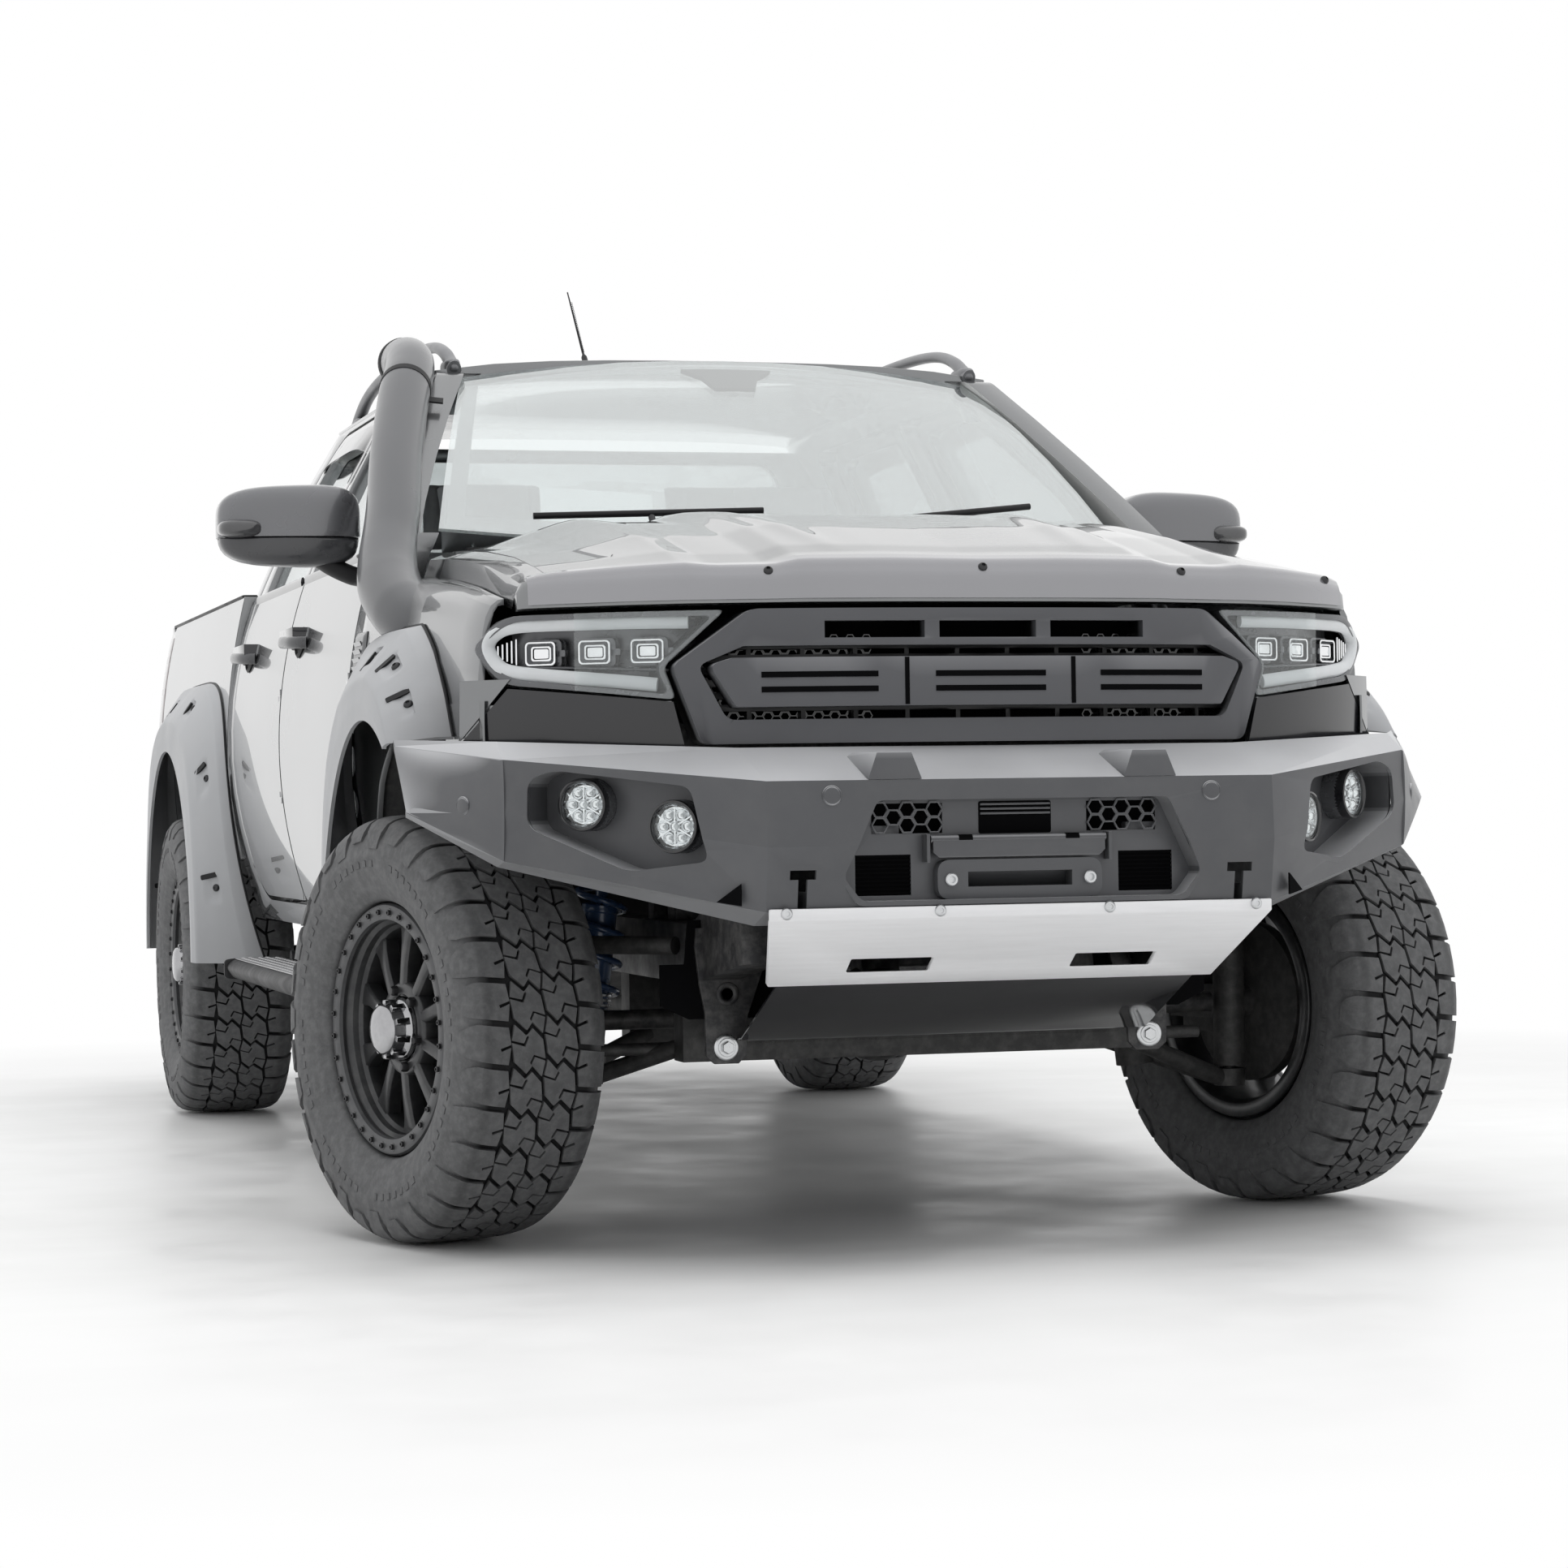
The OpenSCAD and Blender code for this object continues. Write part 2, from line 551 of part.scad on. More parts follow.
module bonnet() color("gray") difference() {
  union() {
    panel([for (c = bonnet_full) [for (r = bonnet_rows) bonnet_at(c, r)]],
      [for (c = bonnet_full) [for (r = bonnet_rows) bonnet_at(c, r)
        + [0, bonnet_t * (1 - min(1, r[0] * 20)), -bonnet_t * min(1, 0.2 + r[0] * 16)]]]);
    both() {
      cross_rod(bonnet_hinge_x, bonnet_hinge_x + bonnet_eye_l, bonnet_hinge_y, bonnet_hinge_z, 2 * hinge_eye_d);
      box(bonnet_hinge_x, bonnet_hinge_x + bonnet_eye_l, bonnet_hinge_y - hinge_eye_d,
        bonnet_hinge_y + hinge_eye_d,
        bonnet_hinge_z, bonnet_hinge_z + hinge_eye_d);
    }
  }
  both() cross_rod(bonnet_hinge_x - over, bonnet_hinge_x + bonnet_eye_l + over, bonnet_hinge_y, bonnet_hinge_z,
    hinge_pin_d + 2 * run);
}

// Front wings: side skin that rolls over to the bonnet's shut line
wing_lead = 385;
wing_front_y = front_axle_y - wing_lead;
wing_end_y = door_y - shut_gap;
wing_low = door_low;
wing_taper = 70;
bonnet_gap = 8;
wing_line = bonnet_half + bonnet_gap;
wing_stations = levels(0, 1, 9);
wing_side_rows = levels(0, 1, 7);
// Roll of the wing's top: share of the way in to the shut line, share of the roll's height below it
wing_roll_shares = [[0.15, 0.55], [0.4, 0.23], [0.72, 0.065], [1, 0.032]];
roll_start = 62;
arch_r = 532;
arch_lift = 45;
arch_z = axle_z + arch_lift;
function wing_y(s) = wing_front_y + (wing_end_y - wing_front_y) * s;
function wing_cut(y) = wing_taper * pow(max(0, (wing_end_y - y) / (wing_end_y - wing_front_y)), 2);
function line_h(y) = let (y0 = nose_at(bonnet_half), s = (y - y0) / (bonnet_rear_y + bonnet_rear_sweep - y0))
  lookup(s, [for (r = bonnet_rows) [r[0], lip_h + (bonnet_fold_h - lip_h) * r[1]
    + (bonnet_rear_h - bonnet_fold_h) * r[2] - bonnet_drop * r[3]]]);
function wing_x(y, z) = side_x(min(z, belt_h)) - wing_cut(y);
function wing_row(y) = let (h = line_h(y), z1 = h - roll_start, x1 = wing_x(y, z1)) concat(
  [for (k = wing_side_rows) let (z = wing_low + (z1 - wing_low) * k) [wing_x(y, z), y, z]],
  [for (r = wing_roll_shares) [x1 + (wing_line - x1) * r[0], y, h - roll_start * r[1]]]);
function wing_inner(y) = [for (k = [0:len(wing_row(y)) - 1]) let (p = wing_row(y)[k], n = len(wing_side_rows))
  k < n ? p - [wing_t, 0, 0] : p - [wing_t * (k == n ? 0.8 : k == n + 1 ? 0.5 : 0), 0, wing_t]];
// Grid of the wing's outer or inner face, moved out and up
function wing_grid(inner, dx, dz) = [for (s = wing_stations)
  [for (p = inner ? wing_inner(wing_y(s)) : wing_row(wing_y(s))) p + [dx, 0, dz]]];
module arch_hole(y, x0) cross_rod(x0, x0 + body_half_w, y, arch_z, 2 * arch_r);
grille_half = 556;
facia_drop = 170;
facia_h = 87;
facia_top = lip_h - facia_drop;
facia_low = facia_top - facia_h;
facia_in = grille_half - 2 * over;
wing_top = line_h(wing_end_y) + seat;
facia_t = 30;
module facia() {
  xs = levels(facia_in, nose_half + facia_t / 2, 6);
  plan_prism(concat([for (x = xs) [x, nose_at(x) + facia_t / 3]],
    [for (k = [6:-1:0]) [xs[k] - facia_t / 2, nose_at(xs[k]) + facia_t]]), facia_low, facia_top);
}
module front_wings() color("silver") both() {
  difference() {
    panel(wing_grid(false, 0, 0), wing_grid(true, 0, 0));
    arch_hole(front_axle_y, body_half_w / 2);
    box(0, 2 * body_half_w, y_front, front_axle_y, 0, facia_top - over);
  }
  facia();
}
far = 300;
liner_gap = 8;
liner_t = 6;
liner_x = 500;
liner_end_h = sill_h;
module arch_liners() color("black") both() difference() {
  cross_rod(liner_x, body_half_w, front_axle_y, arch_z, 2 * (arch_r + liner_gap + liner_t));
  cross_rod(liner_x - over, 2 * body_half_w, front_axle_y, arch_z, 2 * (arch_r + liner_gap));
  box(0, 2 * body_half_w, y_front, y_rear, -tyre_d, liner_end_h);
  panel(wing_grid(true, far, 0), wing_grid(true, -seat, 0));
  box(0, 2 * body_half_w, y_front, wing_front_y + over, -tyre_d, roof_h);
}

// Load bed: floor, walls, wheel houses and cross sills
bed_tuck = 55;
rail_cap = 30;
bed_low = 690;
bed_steps = 10;
bed_floor_t = 30;
house_x = 560;
house_t = 12;
sill_beam = 80;
sill_beam_w = 90;
sill_beam_shares = [0.06, 0.35, 0.66, 0.92];
lamp_low = 1010;
lamp_high = 1330;
lamp_l = 95;
tail_half = 800;
lamp_in = 10;
lamp_skin = 5;
gate_gap = 8;
gate_t = 52;
function bed_x(z) = body_half_w - bed_tuck * pow((z - waist_h) / (waist_h - sill_h), 2);
bed_z = levels(bed_low, rail_h, bed_steps);
module bed_skin(d0, d1, y0, y1) front_prism(concat([for (z = bed_z) [bed_x(z) - d0, z]],
  [for (k = [bed_steps:-1:0]) [bed_x(bed_z[k]) - d1, bed_z[k]]]), y0, y1);
module tail_lamp_space(g) box(tail_half + lamp_in - g, 2 * body_half_w, bed_end_y - lamp_l - g,
  bed_end_y + over,
  lamp_low - g, lamp_high + g);
floor_half_bed = bed_x(bed_floor_h) - bed_wall;
module load_bed() color("silver") {
  gate_ears();
  difference() {
    union() {
      both() bed_skin(0, bed_wall, bed_y, bed_end_y);
      box(-floor_half_bed, floor_half_bed, bed_y, bed_end_y - gate_t - gate_gap, bed_floor_h - bed_floor_t,
        bed_floor_h);
      box(-tail_half - bed_wall / 2, tail_half + bed_wall / 2, bed_y, bed_y + bed_wall,
        bed_floor_h - bed_floor_t,
        rail_h - rail_cap / 2);
      both() box(tail_half, bed_x(rail_h) - bed_wall / 2, bed_y, bed_end_y, rail_h - rail_cap, rail_h);
      both() box(tail_half + gate_gap, floor_half_bed, bed_end_y - bed_wall, bed_end_y, bed_floor_h, rail_h);
      for (s = sill_beam_shares) translate([0, bed_y + bed_l * s, 0])
        box(-tail_half, tail_half, -sill_beam_w / 2, sill_beam_w / 2, bed_floor_h - bed_floor_t - sill_beam,
          bed_floor_h - bed_floor_t);
    }
    both() arch_hole(rear_axle_y, house_x);
    both() tail_lamp_space(seat);
  }
  both() difference() {
    cross_rod(house_x - house_t, floor_half_bed + house_t, rear_axle_y, arch_z, 2 * (arch_r + house_t));
    arch_hole(rear_axle_y, house_x);
    box(0, 2 * body_half_w, y_front, y_rear, -tyre_d, bed_floor_h - bed_floor_t);
  }
}
// Ears and pins that the tailgate turns on
module gate_ears() both() {
  cross_rod(gate_hinge_x - gate_eye_l / 2, gate_hinge_x + gate_eye_l * 3 / 2, gate_hinge_y, gate_hinge_z,
    2 * hinge_pin_d);
  box(gate_hinge_x + lamp_skin, gate_hinge_x + gate_eye_l - lamp_skin, bed_y + bed_l * sill_beam_shares[3],
    gate_hinge_y + hinge_pin_d,
    gate_hinge_z - hinge_pin_d, gate_hinge_z + hinge_pin_d);
}
module tail_lamps() color("darkred") both() intersection() {
  bed_skin(-over, bed_wall - lamp_skin, bed_y, bed_end_y);
  tail_lamp_space(0);
}
gate_drop = 45;
gate_top_gap = 6;
gate_low = bed_floor_h - bed_floor_t - gate_drop;
gate_high = rail_h - gate_top_gap;
gate_y = bed_end_y - gate_t;
gate_hinge_in = 16;
gate_hinge_y = bed_end_y - gate_hinge_in;
gate_hinge_z = gate_low + gate_hinge_in;
gate_hinge_x = 560;
gate_eye_l = 60;
gate_ease = 26;
gate_handle_w = 240;
gate_handle_h = 70;
gate_handle_deep = 18;
gate_half = tail_half - gate_gap;
module tailgate() color("silver") difference() {
  front_prism(plate(gate_half, gate_low, gate_high, gate_ease), gate_y, bed_end_y);
  box(-gate_handle_w / 2, gate_handle_w / 2, bed_end_y - gate_handle_deep, bed_end_y + over,
    gate_high - 3 * gate_handle_h, gate_high - 2 * gate_handle_h);
  both() {
    box(gate_hinge_x - over, gate_hinge_x + gate_eye_l + over, gate_hinge_y - gate_t, bed_end_y + over,
      gate_low - over,
      gate_hinge_z + 2 * hinge_eye_d);
    cross_rod(gate_hinge_x - gate_eye_l, gate_hinge_x + 2 * gate_eye_l, gate_hinge_y, gate_hinge_z,
      hinge_pin_d * 2 + 2 * run);
  }
}

// Wheel flares: rings of points round each arch, from the body out to the lip
flare_t = 8;
flare_reach = 640;
flare_rise = 712;
flare_power = 4;
flare_out = 18;
flare_rear_out = 33;
flare_front_x = bumper_half + flare_out;
flare_rear_x = bumper_half + flare_rear_out;
flare_steps = 22;
flare_lay = 1.5;
// Rows: share of the way in from the edge to the arch, share of the way out from the body to the lip
flare_rows = [[0, 0], [0.02, 0.22], [0.3, 0.62], [0.55, 0.95], [0.8, 1], [1, 1]];
flare_in_shares = [[1, 0], [1, 0.1], [0.7, 0.7], [0.4, 1], [0, 1], [0, 1]];
function flare_edge(a) = 1 / pow(pow(abs(cos(a)) / flare_reach, flare_power)
  + pow(abs(sin(a)) / flare_rise, flare_power), 1 / flare_power);
function flare_at(axle, a, row, dr, dx, lip, front) = let (
  r = flare_edge(a) + (arch_r - flare_edge(a)) * row[0] - dr,
  y = axle + r * cos(a),
  z = arch_z + r * sin(a),
  x = (front ? wing_x(y, z) : bed_x(z)) + flare_lay)
  [x + (lip - x) * row[1] - dx, y, z];
module flare(axle, a0, a1, lip, front) {
  as = levels(a0, a1, flare_steps);
  n = len(flare_rows) - 1;
  panel([for (a = as) [for (k = [n:-1:0]) flare_at(axle, a, flare_rows[k], 0, 0, lip, front)]],
    [for (a = as) [for (k = [n:-1:0]) flare_at(axle, a, flare_rows[k],
      flare_t * flare_in_shares[k][0], flare_t * flare_in_shares[k][1], lip, front)]]);
}
flare_front_deg = [4, 130];
flare_rear_deg = [-2, 182];
module wheel_flares() color("gray") both() {
  flare(front_axle_y, flare_front_deg[0], flare_front_deg[1], flare_front_x, true);
  flare(rear_axle_y, flare_rear_deg[0], flare_rear_deg[1], flare_rear_x, false);
}

// Carrier behind grille and lamps, with the radiator, stands on the frame rails
carrier_back = 170;
carrier_y = nose_y + carrier_back;
carrier_t = 40;
carrier_half = 540;
carrier_drop = 42;
carrier_top = lip_h - carrier_drop;
carrier_beam = 55;
carrier_h = 220;
carrier_low = carrier_top - carrier_h;
rail_x = 380;
rail_w = 70;
rail_front_top = 660;
radiator_half = 330;
radiator_t = 60;
engine_half = 260;
engine_l = 720;
engine_low = 560;
engine_top = 1090;
engine_lead = 330;
engine_y = front_axle_y - engine_lead;
module engine() color("dimgray") {
  for (z = [carrier_low, carrier_top - carrier_beam])
    box(-carrier_half, carrier_half, carrier_y, carrier_y + carrier_t, z, z + carrier_beam);
  both() box(rail_x, rail_x + rail_w, carrier_y, carrier_y + carrier_t, rail_front_top + seat,
    carrier_low);
  both() box(rail_x, rail_x + rail_w, carrier_y, carrier_y + carrier_t, carrier_low + carrier_beam,
    carrier_top - carrier_beam);
  box(-radiator_half, radiator_half, carrier_y + carrier_t, carrier_y + carrier_t + radiator_t,
    rail_front_top - carrier_t / 2, carrier_top - carrier_beam / 2);
  box(-engine_half, engine_half, engine_y, engine_y + engine_l, engine_low, engine_top);
  both() box(engine_half, rail_x + rail_w / 2, front_axle_y - rail_w, front_axle_y, rail_mid_top + seat,
    engine_low + rail_w);
}
rail_mid_top = 590;

// Grille: six-sided frame, bars and a plain middle bar, all swept with the nose
grille_top_half = 425;
grille_low_half = 508;
lip_gap = 12;
grille_mid_drop = 110;
grille_h = 236;
grille_top = lip_h - lip_gap;
grille_mid = lip_h - grille_mid_drop;
grille_low = grille_top - grille_h;
grille_head = 65;
grille_band = 42;
grille_deep = 60;
grille_out = 14;
grille_bar_n = 6;
grille_bar_h = 12;
grille_rib_n = 10;
grille_rib_w = 8;
grille_bar_drop = 98;
grille_bar_deep = 86;
grille_mid_high = lip_h - grille_bar_drop;
grille_mid_low = grille_mid_high - grille_bar_deep;
grille_ease = 16;
grille_plan_n = 8;
function hexagon(g) = outline([[-grille_low_half + g, grille_low + g, grille_ease],
  [grille_low_half - g, grille_low + g, grille_ease], [grille_half - g, grille_mid, grille_ease],
  [grille_top_half - g, grille_top - g, grille_ease], [-grille_top_half + g, grille_top - g, grille_ease],
  [-grille_half + g, grille_mid, grille_ease]]);
module nose_slab(d0, d1, half, z0, z1) {
  xs = levels(-half, half, 2 * grille_plan_n);
  plan_prism(concat([for (x = xs) [x, nose_at(x) + d0]],
    [for (k = [2 * grille_plan_n:-1:0]) [xs[k], nose_at(xs[k]) + d1]]), z0, z1);
}
bar_pitch = (grille_top - grille_low - 2 * grille_band) / (grille_bar_n + 1);
rib_pitch = 2 * (grille_half - grille_band) / (grille_rib_n + 1);
slot_h = 30;
slot_w = 180;
slot_pitch = 207;
slot_drop = 52;
// The head of the frame is a bar with three slots
module grille() color("gray") {
  difference() {
    intersection() {
      nose_slab(-grille_out, grille_deep, grille_half + over, grille_low - over, grille_top + over);
      front_prism(hexagon(0), nose_y - 2 * grille_deep, carrier_y);
    }
    intersection() {
      front_prism(hexagon(grille_band), nose_y - 2 * grille_deep, carrier_y);
      box(-grille_half, grille_half, y_front, carrier_y + over, grille_low, grille_top - grille_head);
    }
    for (k = [-1, 0, 1]) translate([k * slot_pitch, 0, grille_top - slot_drop])
      box(-slot_w / 2, slot_w / 2, y_front, carrier_y, 0, slot_h);
  }
  intersection() {
    nose_slab(grille_deep / 3, grille_deep * 2 / 3, grille_half, grille_low, grille_top - grille_head + over);
    front_prism(hexagon(grille_band - over), nose_y - 2 * grille_deep, carrier_y);
    union() {
      for (k = [1:grille_bar_n]) translate([0, 0, grille_low + grille_band + k * bar_pitch])
        box(-grille_half, grille_half, nose_y - grille_deep, carrier_y, -grille_bar_h / 2, grille_bar_h / 2);
      for (k = [1:grille_rib_n]) translate([-grille_half + grille_band + k * rib_pitch, 0, 0])
        box(-grille_rib_w / 2, grille_rib_w / 2, nose_y - grille_deep, carrier_y, grille_low, grille_top);
    }
  }
  intersection() {
    nose_slab(-2 * grille_out, grille_deep * 2 / 3, grille_half, grille_mid_low, grille_mid_high);
    front_prism(hexagon(grille_band + grille_ease), nose_y - 2 * grille_deep, carrier_y);
  }
  both() box(rail_x, rail_x + grille_band, nose_at(rail_x) + grille_deep / 3, carrier_y - seat,
    grille_low + over,
    grille_low + grille_band);
}

// Front lamps: two headlamp housings and four driving lamps in the bumper wings
head_in_top = 462;
head_in_low = 546;
head_in_gap = 10;
head_out = 862;
head_top = lip_h - lip_gap;
head_low = facia_top + over / 2;
head_tip_drop = 67;
head_tip_h = lip_h - head_tip_drop;
head_deep = 90;
head_ease = 14;
head_shell = 10;
lens_t = 8;
head_out_top = 815;
head_out_low = 820;
head_low_rise = 34;
function head_shape(g) = outline([[head_in_low + g, head_low + g, head_ease],
  [head_out_low - g, head_low + head_low_rise + g, 2 * head_ease], [head_out - g, head_tip_h, head_ease],
  [head_out_top - g, head_top - g, 2 * head_ease], [head_in_top + 2 * g, head_top - g, head_ease],
  [grille_half + head_in_gap + g, grille_mid, head_ease]]);
lamp_deep = 62;
pocket_wall = 8;
wing_deg = 38;
// Driving lamps: place along the bumper wing, height
lamp_places = [[190, 772], [362, 812]];
lamp_back = 40;
module on_wing() translate([bumper_mid_half, y_front, 0]) rotate([0, 0, wing_deg]) children();
module front_lamps() color("gainsboro") both() {
  intersection() {
    front_prism(head_shape(seat), nose_y, wing_front_y - seat);
    difference() {
      nose_slab(lens_t + seat, head_deep, nose_half + head_ease, head_low - over, head_top + over);
      intersection() {
        front_prism(head_shape(head_shell), nose_y - over, wing_front_y + over);
        nose_slab(0, head_deep - head_shell, nose_half + head_ease, head_low, head_top);
      }
    }
  }
  on_wing() for (p = lamp_places) translate([p[0], lamp_back, p[1]]) rotate([-90, 0, 0]) difference() {
    cylinder(h = lamp_deep, d = lamp_d);
    translate([0, 0, -over]) cylinder(h = lamp_deep / 2 + over, d1 = lamp_d - head_shell, d2 = lamp_d / 2);
  }
}
module lamp_lenses() color("white") both() intersection() {
  front_prism(head_shape(seat), nose_y - over, carrier_y);
  nose_slab(0, lens_t, nose_half + head_ease, head_low - over, head_top + over);
}

// Front bumper: folded plate, stations across and rows from the lower edge over the face to the top edge
bumper_low = 600;
bumper_high = 935;
bumper_l = 645;
// Each station: share of the half-width, then rows of [share back, share up]
bumper_bend = 850;
bumper_rows_mid_shares = [[0.156, 0], [0.031, 0.075], [0, 0.403], [0.012, 0.737], [0.297, 0.916]];
bumper_rows_bend_shares = [[0.58, 0.313], [0.484, 0.343], [0.466, 0.597], [0.477, 0.872], [0.578, 0.97]];
bumper_rows_tip_shares = [[0.815, 0.58], [0.797, 0.603], [0.89, 0.79], [0.977, 0.965], [1, 1]];
bumper_stations = [[-bumper_half, bumper_rows_tip_shares], [-bumper_bend, bumper_rows_bend_shares],
  [-bumper_mid_half, bumper_rows_mid_shares], [bumper_mid_half, bumper_rows_mid_shares],
  [bumper_bend, bumper_rows_bend_shares], [bumper_half, bumper_rows_tip_shares]];
bumper_in_shares = [[0, 1], [1, 1], [1, 0], [1, -1], [0, -1]];
function bumper_at(st, k, d) = let (p = st[1][k])
  [st[0], y_front + bumper_l * p[0] + d * bumper_in_shares[k][0],
   bumper_low + (bumper_high - bumper_low) * p[1] + d * bumper_in_shares[k][1]];
hawse_top_half = 264;
hawse_half = 325;
hawse_low_half = 292;
hawse_top = 812;
hawse_mid = 682;
hawse_low = 640;
hawse_deep = 55;
hawse_ease = 12;
function hawse(g) = outline([[-hawse_low_half - g, hawse_low - g, hawse_ease], [hawse_low_half + g,
  hawse_low - g, hawse_ease],
  [hawse_half + g, hawse_mid, hawse_ease], [hawse_top_half + g, hawse_top + g, hawse_ease],
  [-hawse_top_half - g, hawse_top + g, hawse_ease], [-hawse_half - g, hawse_mid, hawse_ease]]);
// Lamp pocket in a bumper wing: place along, height
pocket_shares = [[0, 0, 0.125], [0.45, -0.1, 0.125], [1, 0.38, 0.125], [1, 0.9, 0.125], [0.86, 1, 0.125],
  [0.1, 0.8, 0.125]];
pocket_along = [110, 450];
pocket_height = [712, 872];
function pocket(g) = outline(placed(pocket_shares, pocket_along[0] - g, pocket_along[1] + g,
  pocket_height[0] - g, pocket_height[1] + g));
mount_w = 56;
mount_z = 612;
hawse_back = 12;
hawse_y = y_front + hawse_back;
fair_half = 150;
fair_low = 640;
fair_high = 708;
fair_slot_h = 26;
fair_z = (fair_low + fair_high) / 2;
slot_half = 95;
// Vents and meshes through the recess floor
vent_x = 196;
vent_half = 64;
vent_low = 754;
vent_high = 806;
mesh_x = 240;
mesh_half = 50;
mesh_high = 718;
drop_slot_x = 397;
drop_slot_z = 672;
drop_slot_w = 16;
drop_slot_h = 46;
module front_bumper() color("dimgray") {
  difference() {
    union() {
      panel([for (st = bumper_stations) [for (k = [0:4]) bumper_at(st, k, 0)]],
        [for (st = bumper_stations) [for (k = [0:4]) bumper_at(st, k, bumper_plate)]]);
      front_prism(hawse(bumper_plate), hawse_y, hawse_y + hawse_deep);
      both() on_wing() front_prism(pocket(pocket_wall), bumper_plate, lamp_back + lamp_deep - pocket_wall);
      both() box(rail_x + (rail_w - mount_w) / 2, rail_x + (rail_w + mount_w) / 2, y_front + 3 * bumper_plate,
        rail_front_y - seat, mount_z + bumper_plate, rail_front_top - over);
    }
    front_prism(hawse(0), y_front - hawse_deep, hawse_y + hawse_deep - bumper_plate);
    box(-slot_half, slot_half, y_front, nose_y, fair_z - fair_slot_h / 2, fair_z + fair_slot_h / 2);
    for (x = [-vent_x, 0, vent_x]) box(x - vent_half, x + vent_half, y_front, nose_y, vent_low, vent_high);
    both() box(mesh_x - mesh_half, mesh_x + mesh_half, y_front, nose_y, hawse_low + bumper_plate, mesh_high);
    both() on_wing() front_prism(pocket(0), -far, lamp_back + lamp_deep - 3 * pocket_wall);
    both() on_wing() for (p = lamp_places) translate([p[0], 0, p[1]]) rotate([-90, 0, 0])
      cylinder(h = far, d = lamp_d + 2 * seat);
    both() translate([drop_slot_x, 0, drop_slot_z]) {
      box(-drop_slot_w / 2, drop_slot_w / 2, y_front - over, y_front + 2 * drop_slot_h, -drop_slot_h,
        drop_slot_h / 2);
      box(-drop_slot_h / 2, drop_slot_h / 2, y_front - over, y_front + 2 * drop_slot_h,
        drop_slot_h / 2 - drop_slot_w, drop_slot_h / 2);
    }
  }
}
rail_front_d = 215;
rail_front_y = y_front + rail_front_d;
// Fairlead in front of the recess floor, winch drum behind it
winch_d = 120;
winch_l = 420;
winch_up = 30;
fair_y = hawse_y + hawse_deep - bumper_plate - seat;
fair_t = 26;
fair_ease = 24;
module winch() color("black") {
  difference() {
    front_prism(plate(fair_half, fair_low, fair_high, fair_ease), fair_y - fair_t, fair_y);
    box(-slot_half, slot_half, y_front, nose_y, fair_z - fair_slot_h / 2, fair_z + fair_slot_h / 2);
  }
  cross_rod(-winch_l / 2, winch_l / 2, hawse_y + hawse_deep + seat + winch_d / 2, fair_z + winch_up, winch_d);
  both() box(winch_l / 2 - over, winch_l / 2 + winch_d / 2, hawse_y + hawse_deep + seat,
    hawse_y + hawse_deep + winch_d,
    fair_low, fair_high + winch_d / 2);
}
// Bright skid plate under the bumper and dark guard behind it
skid_t = 8;
skid_half = 457;
skid_low_half = 412;
skid_up = 30;
skid_fold = 10;
skid_top = bumper_low + skid_up;
skid_bend = bumper_low + skid_fold;
skid_low = 490;
skid_back = 188;
skid_lay = 8;
skid_slot = [150, 24];
module skid_plate() color("gainsboro") intersection() {
  difference() {
    side_prism([[y_front + skid_lay, skid_top], [y_front + skid_lay, skid_bend], [y_front + skid_back,
      skid_low],
      [y_front + skid_back + skid_t, skid_low + skid_t], [y_front + skid_lay + skid_t, skid_bend + skid_t / 2],
      [y_front + skid_lay + skid_t, skid_top]], -skid_half, skid_half);
    both() box(skid_low_half / 2 - skid_slot[0] / 2, skid_low_half / 2 + skid_slot[0] / 2, y_front, nose_y,
      skid_low + skid_slot[1], skid_low + 2 * skid_slot[1]);
  }
  front_prism([[-skid_low_half, skid_low - over], [skid_low_half, skid_low - over], [skid_half, skid_bend],
    [skid_half, skid_top + over], [-skid_half, skid_top + over], [-skid_half, skid_bend]], y_front - over,
      nose_y);
}
guard_half = 390;
guard_t = 6;
sub_y = 215;
sub_w = 70;
guard_knee_d = 456;
guard_knee_y = y_front + guard_knee_d;
guard_knee_z = 384;
guard_end_y = front_axle_y - sub_y - sub_w / 2 - skid_t;
guard_end_z = 364;
guard_y = y_front + skid_back + skid_t + seat;
module under_guard() color("black") side_prism([[guard_y, skid_low + skid_t], [guard_knee_y, guard_knee_z],
  [guard_end_y, guard_end_z], [guard_end_y, guard_end_z + guard_t], [guard_knee_y, guard_knee_z + guard_t],
  [guard_y, skid_low + skid_t + guard_t]], -guard_half, guard_half);

// Air intake up the right-hand screen pillar
intake_d = 112;
intake_collar = 5;
// Places from the belt line at the door's leading edge, and from the roof's crown at the pillar's head
intake_foot_off = [840, -255, -55];
intake_root_off = [846, -470, -150];
intake_knee_off = [738, -62, -36];
intake_head_off = [712, 105, 10];
intake_foot = [0, door_y, belt_h] + intake_foot_off;
intake_root = [0, door_y, belt_h] + intake_root_off;
intake_knee = [0, pillar_head_y, roof_h] + intake_knee_off;
intake_head = [0, pillar_head_y, roof_h] + intake_head_off;
module snorkel() color("black") mirror([1, 0, 0]) difference() {
  union() {
    rod(intake_root, intake_foot, intake_d);
    translate(intake_foot) sphere(d = intake_d + intake_collar);
    rod(intake_foot, intake_knee, intake_d);
    translate(intake_knee) sphere(d = intake_d + intake_collar);
    rod(intake_knee, intake_head, intake_d);
    rod(intake_knee - [intake_d, 0, intake_d / 2], intake_knee, intake_d / 4);
  }
  panel(wing_grid(false, seat, seat), wing_grid(false, -far, 0));
  side_core(pillar_foot_y, y_rear);
  box(0, wing_line, y_front, bonnet_rear_y + 2 * bonnet_rear_sweep, sill_h, roof_h);
}
// Everything within the cab's outer skin
module side_core(y0, y1)
  front_prism(concat([for (z = side_z) [side_x(z) + seat, z]], [[0, roof_edge_h], [0, sill_h]]), y0, y1);

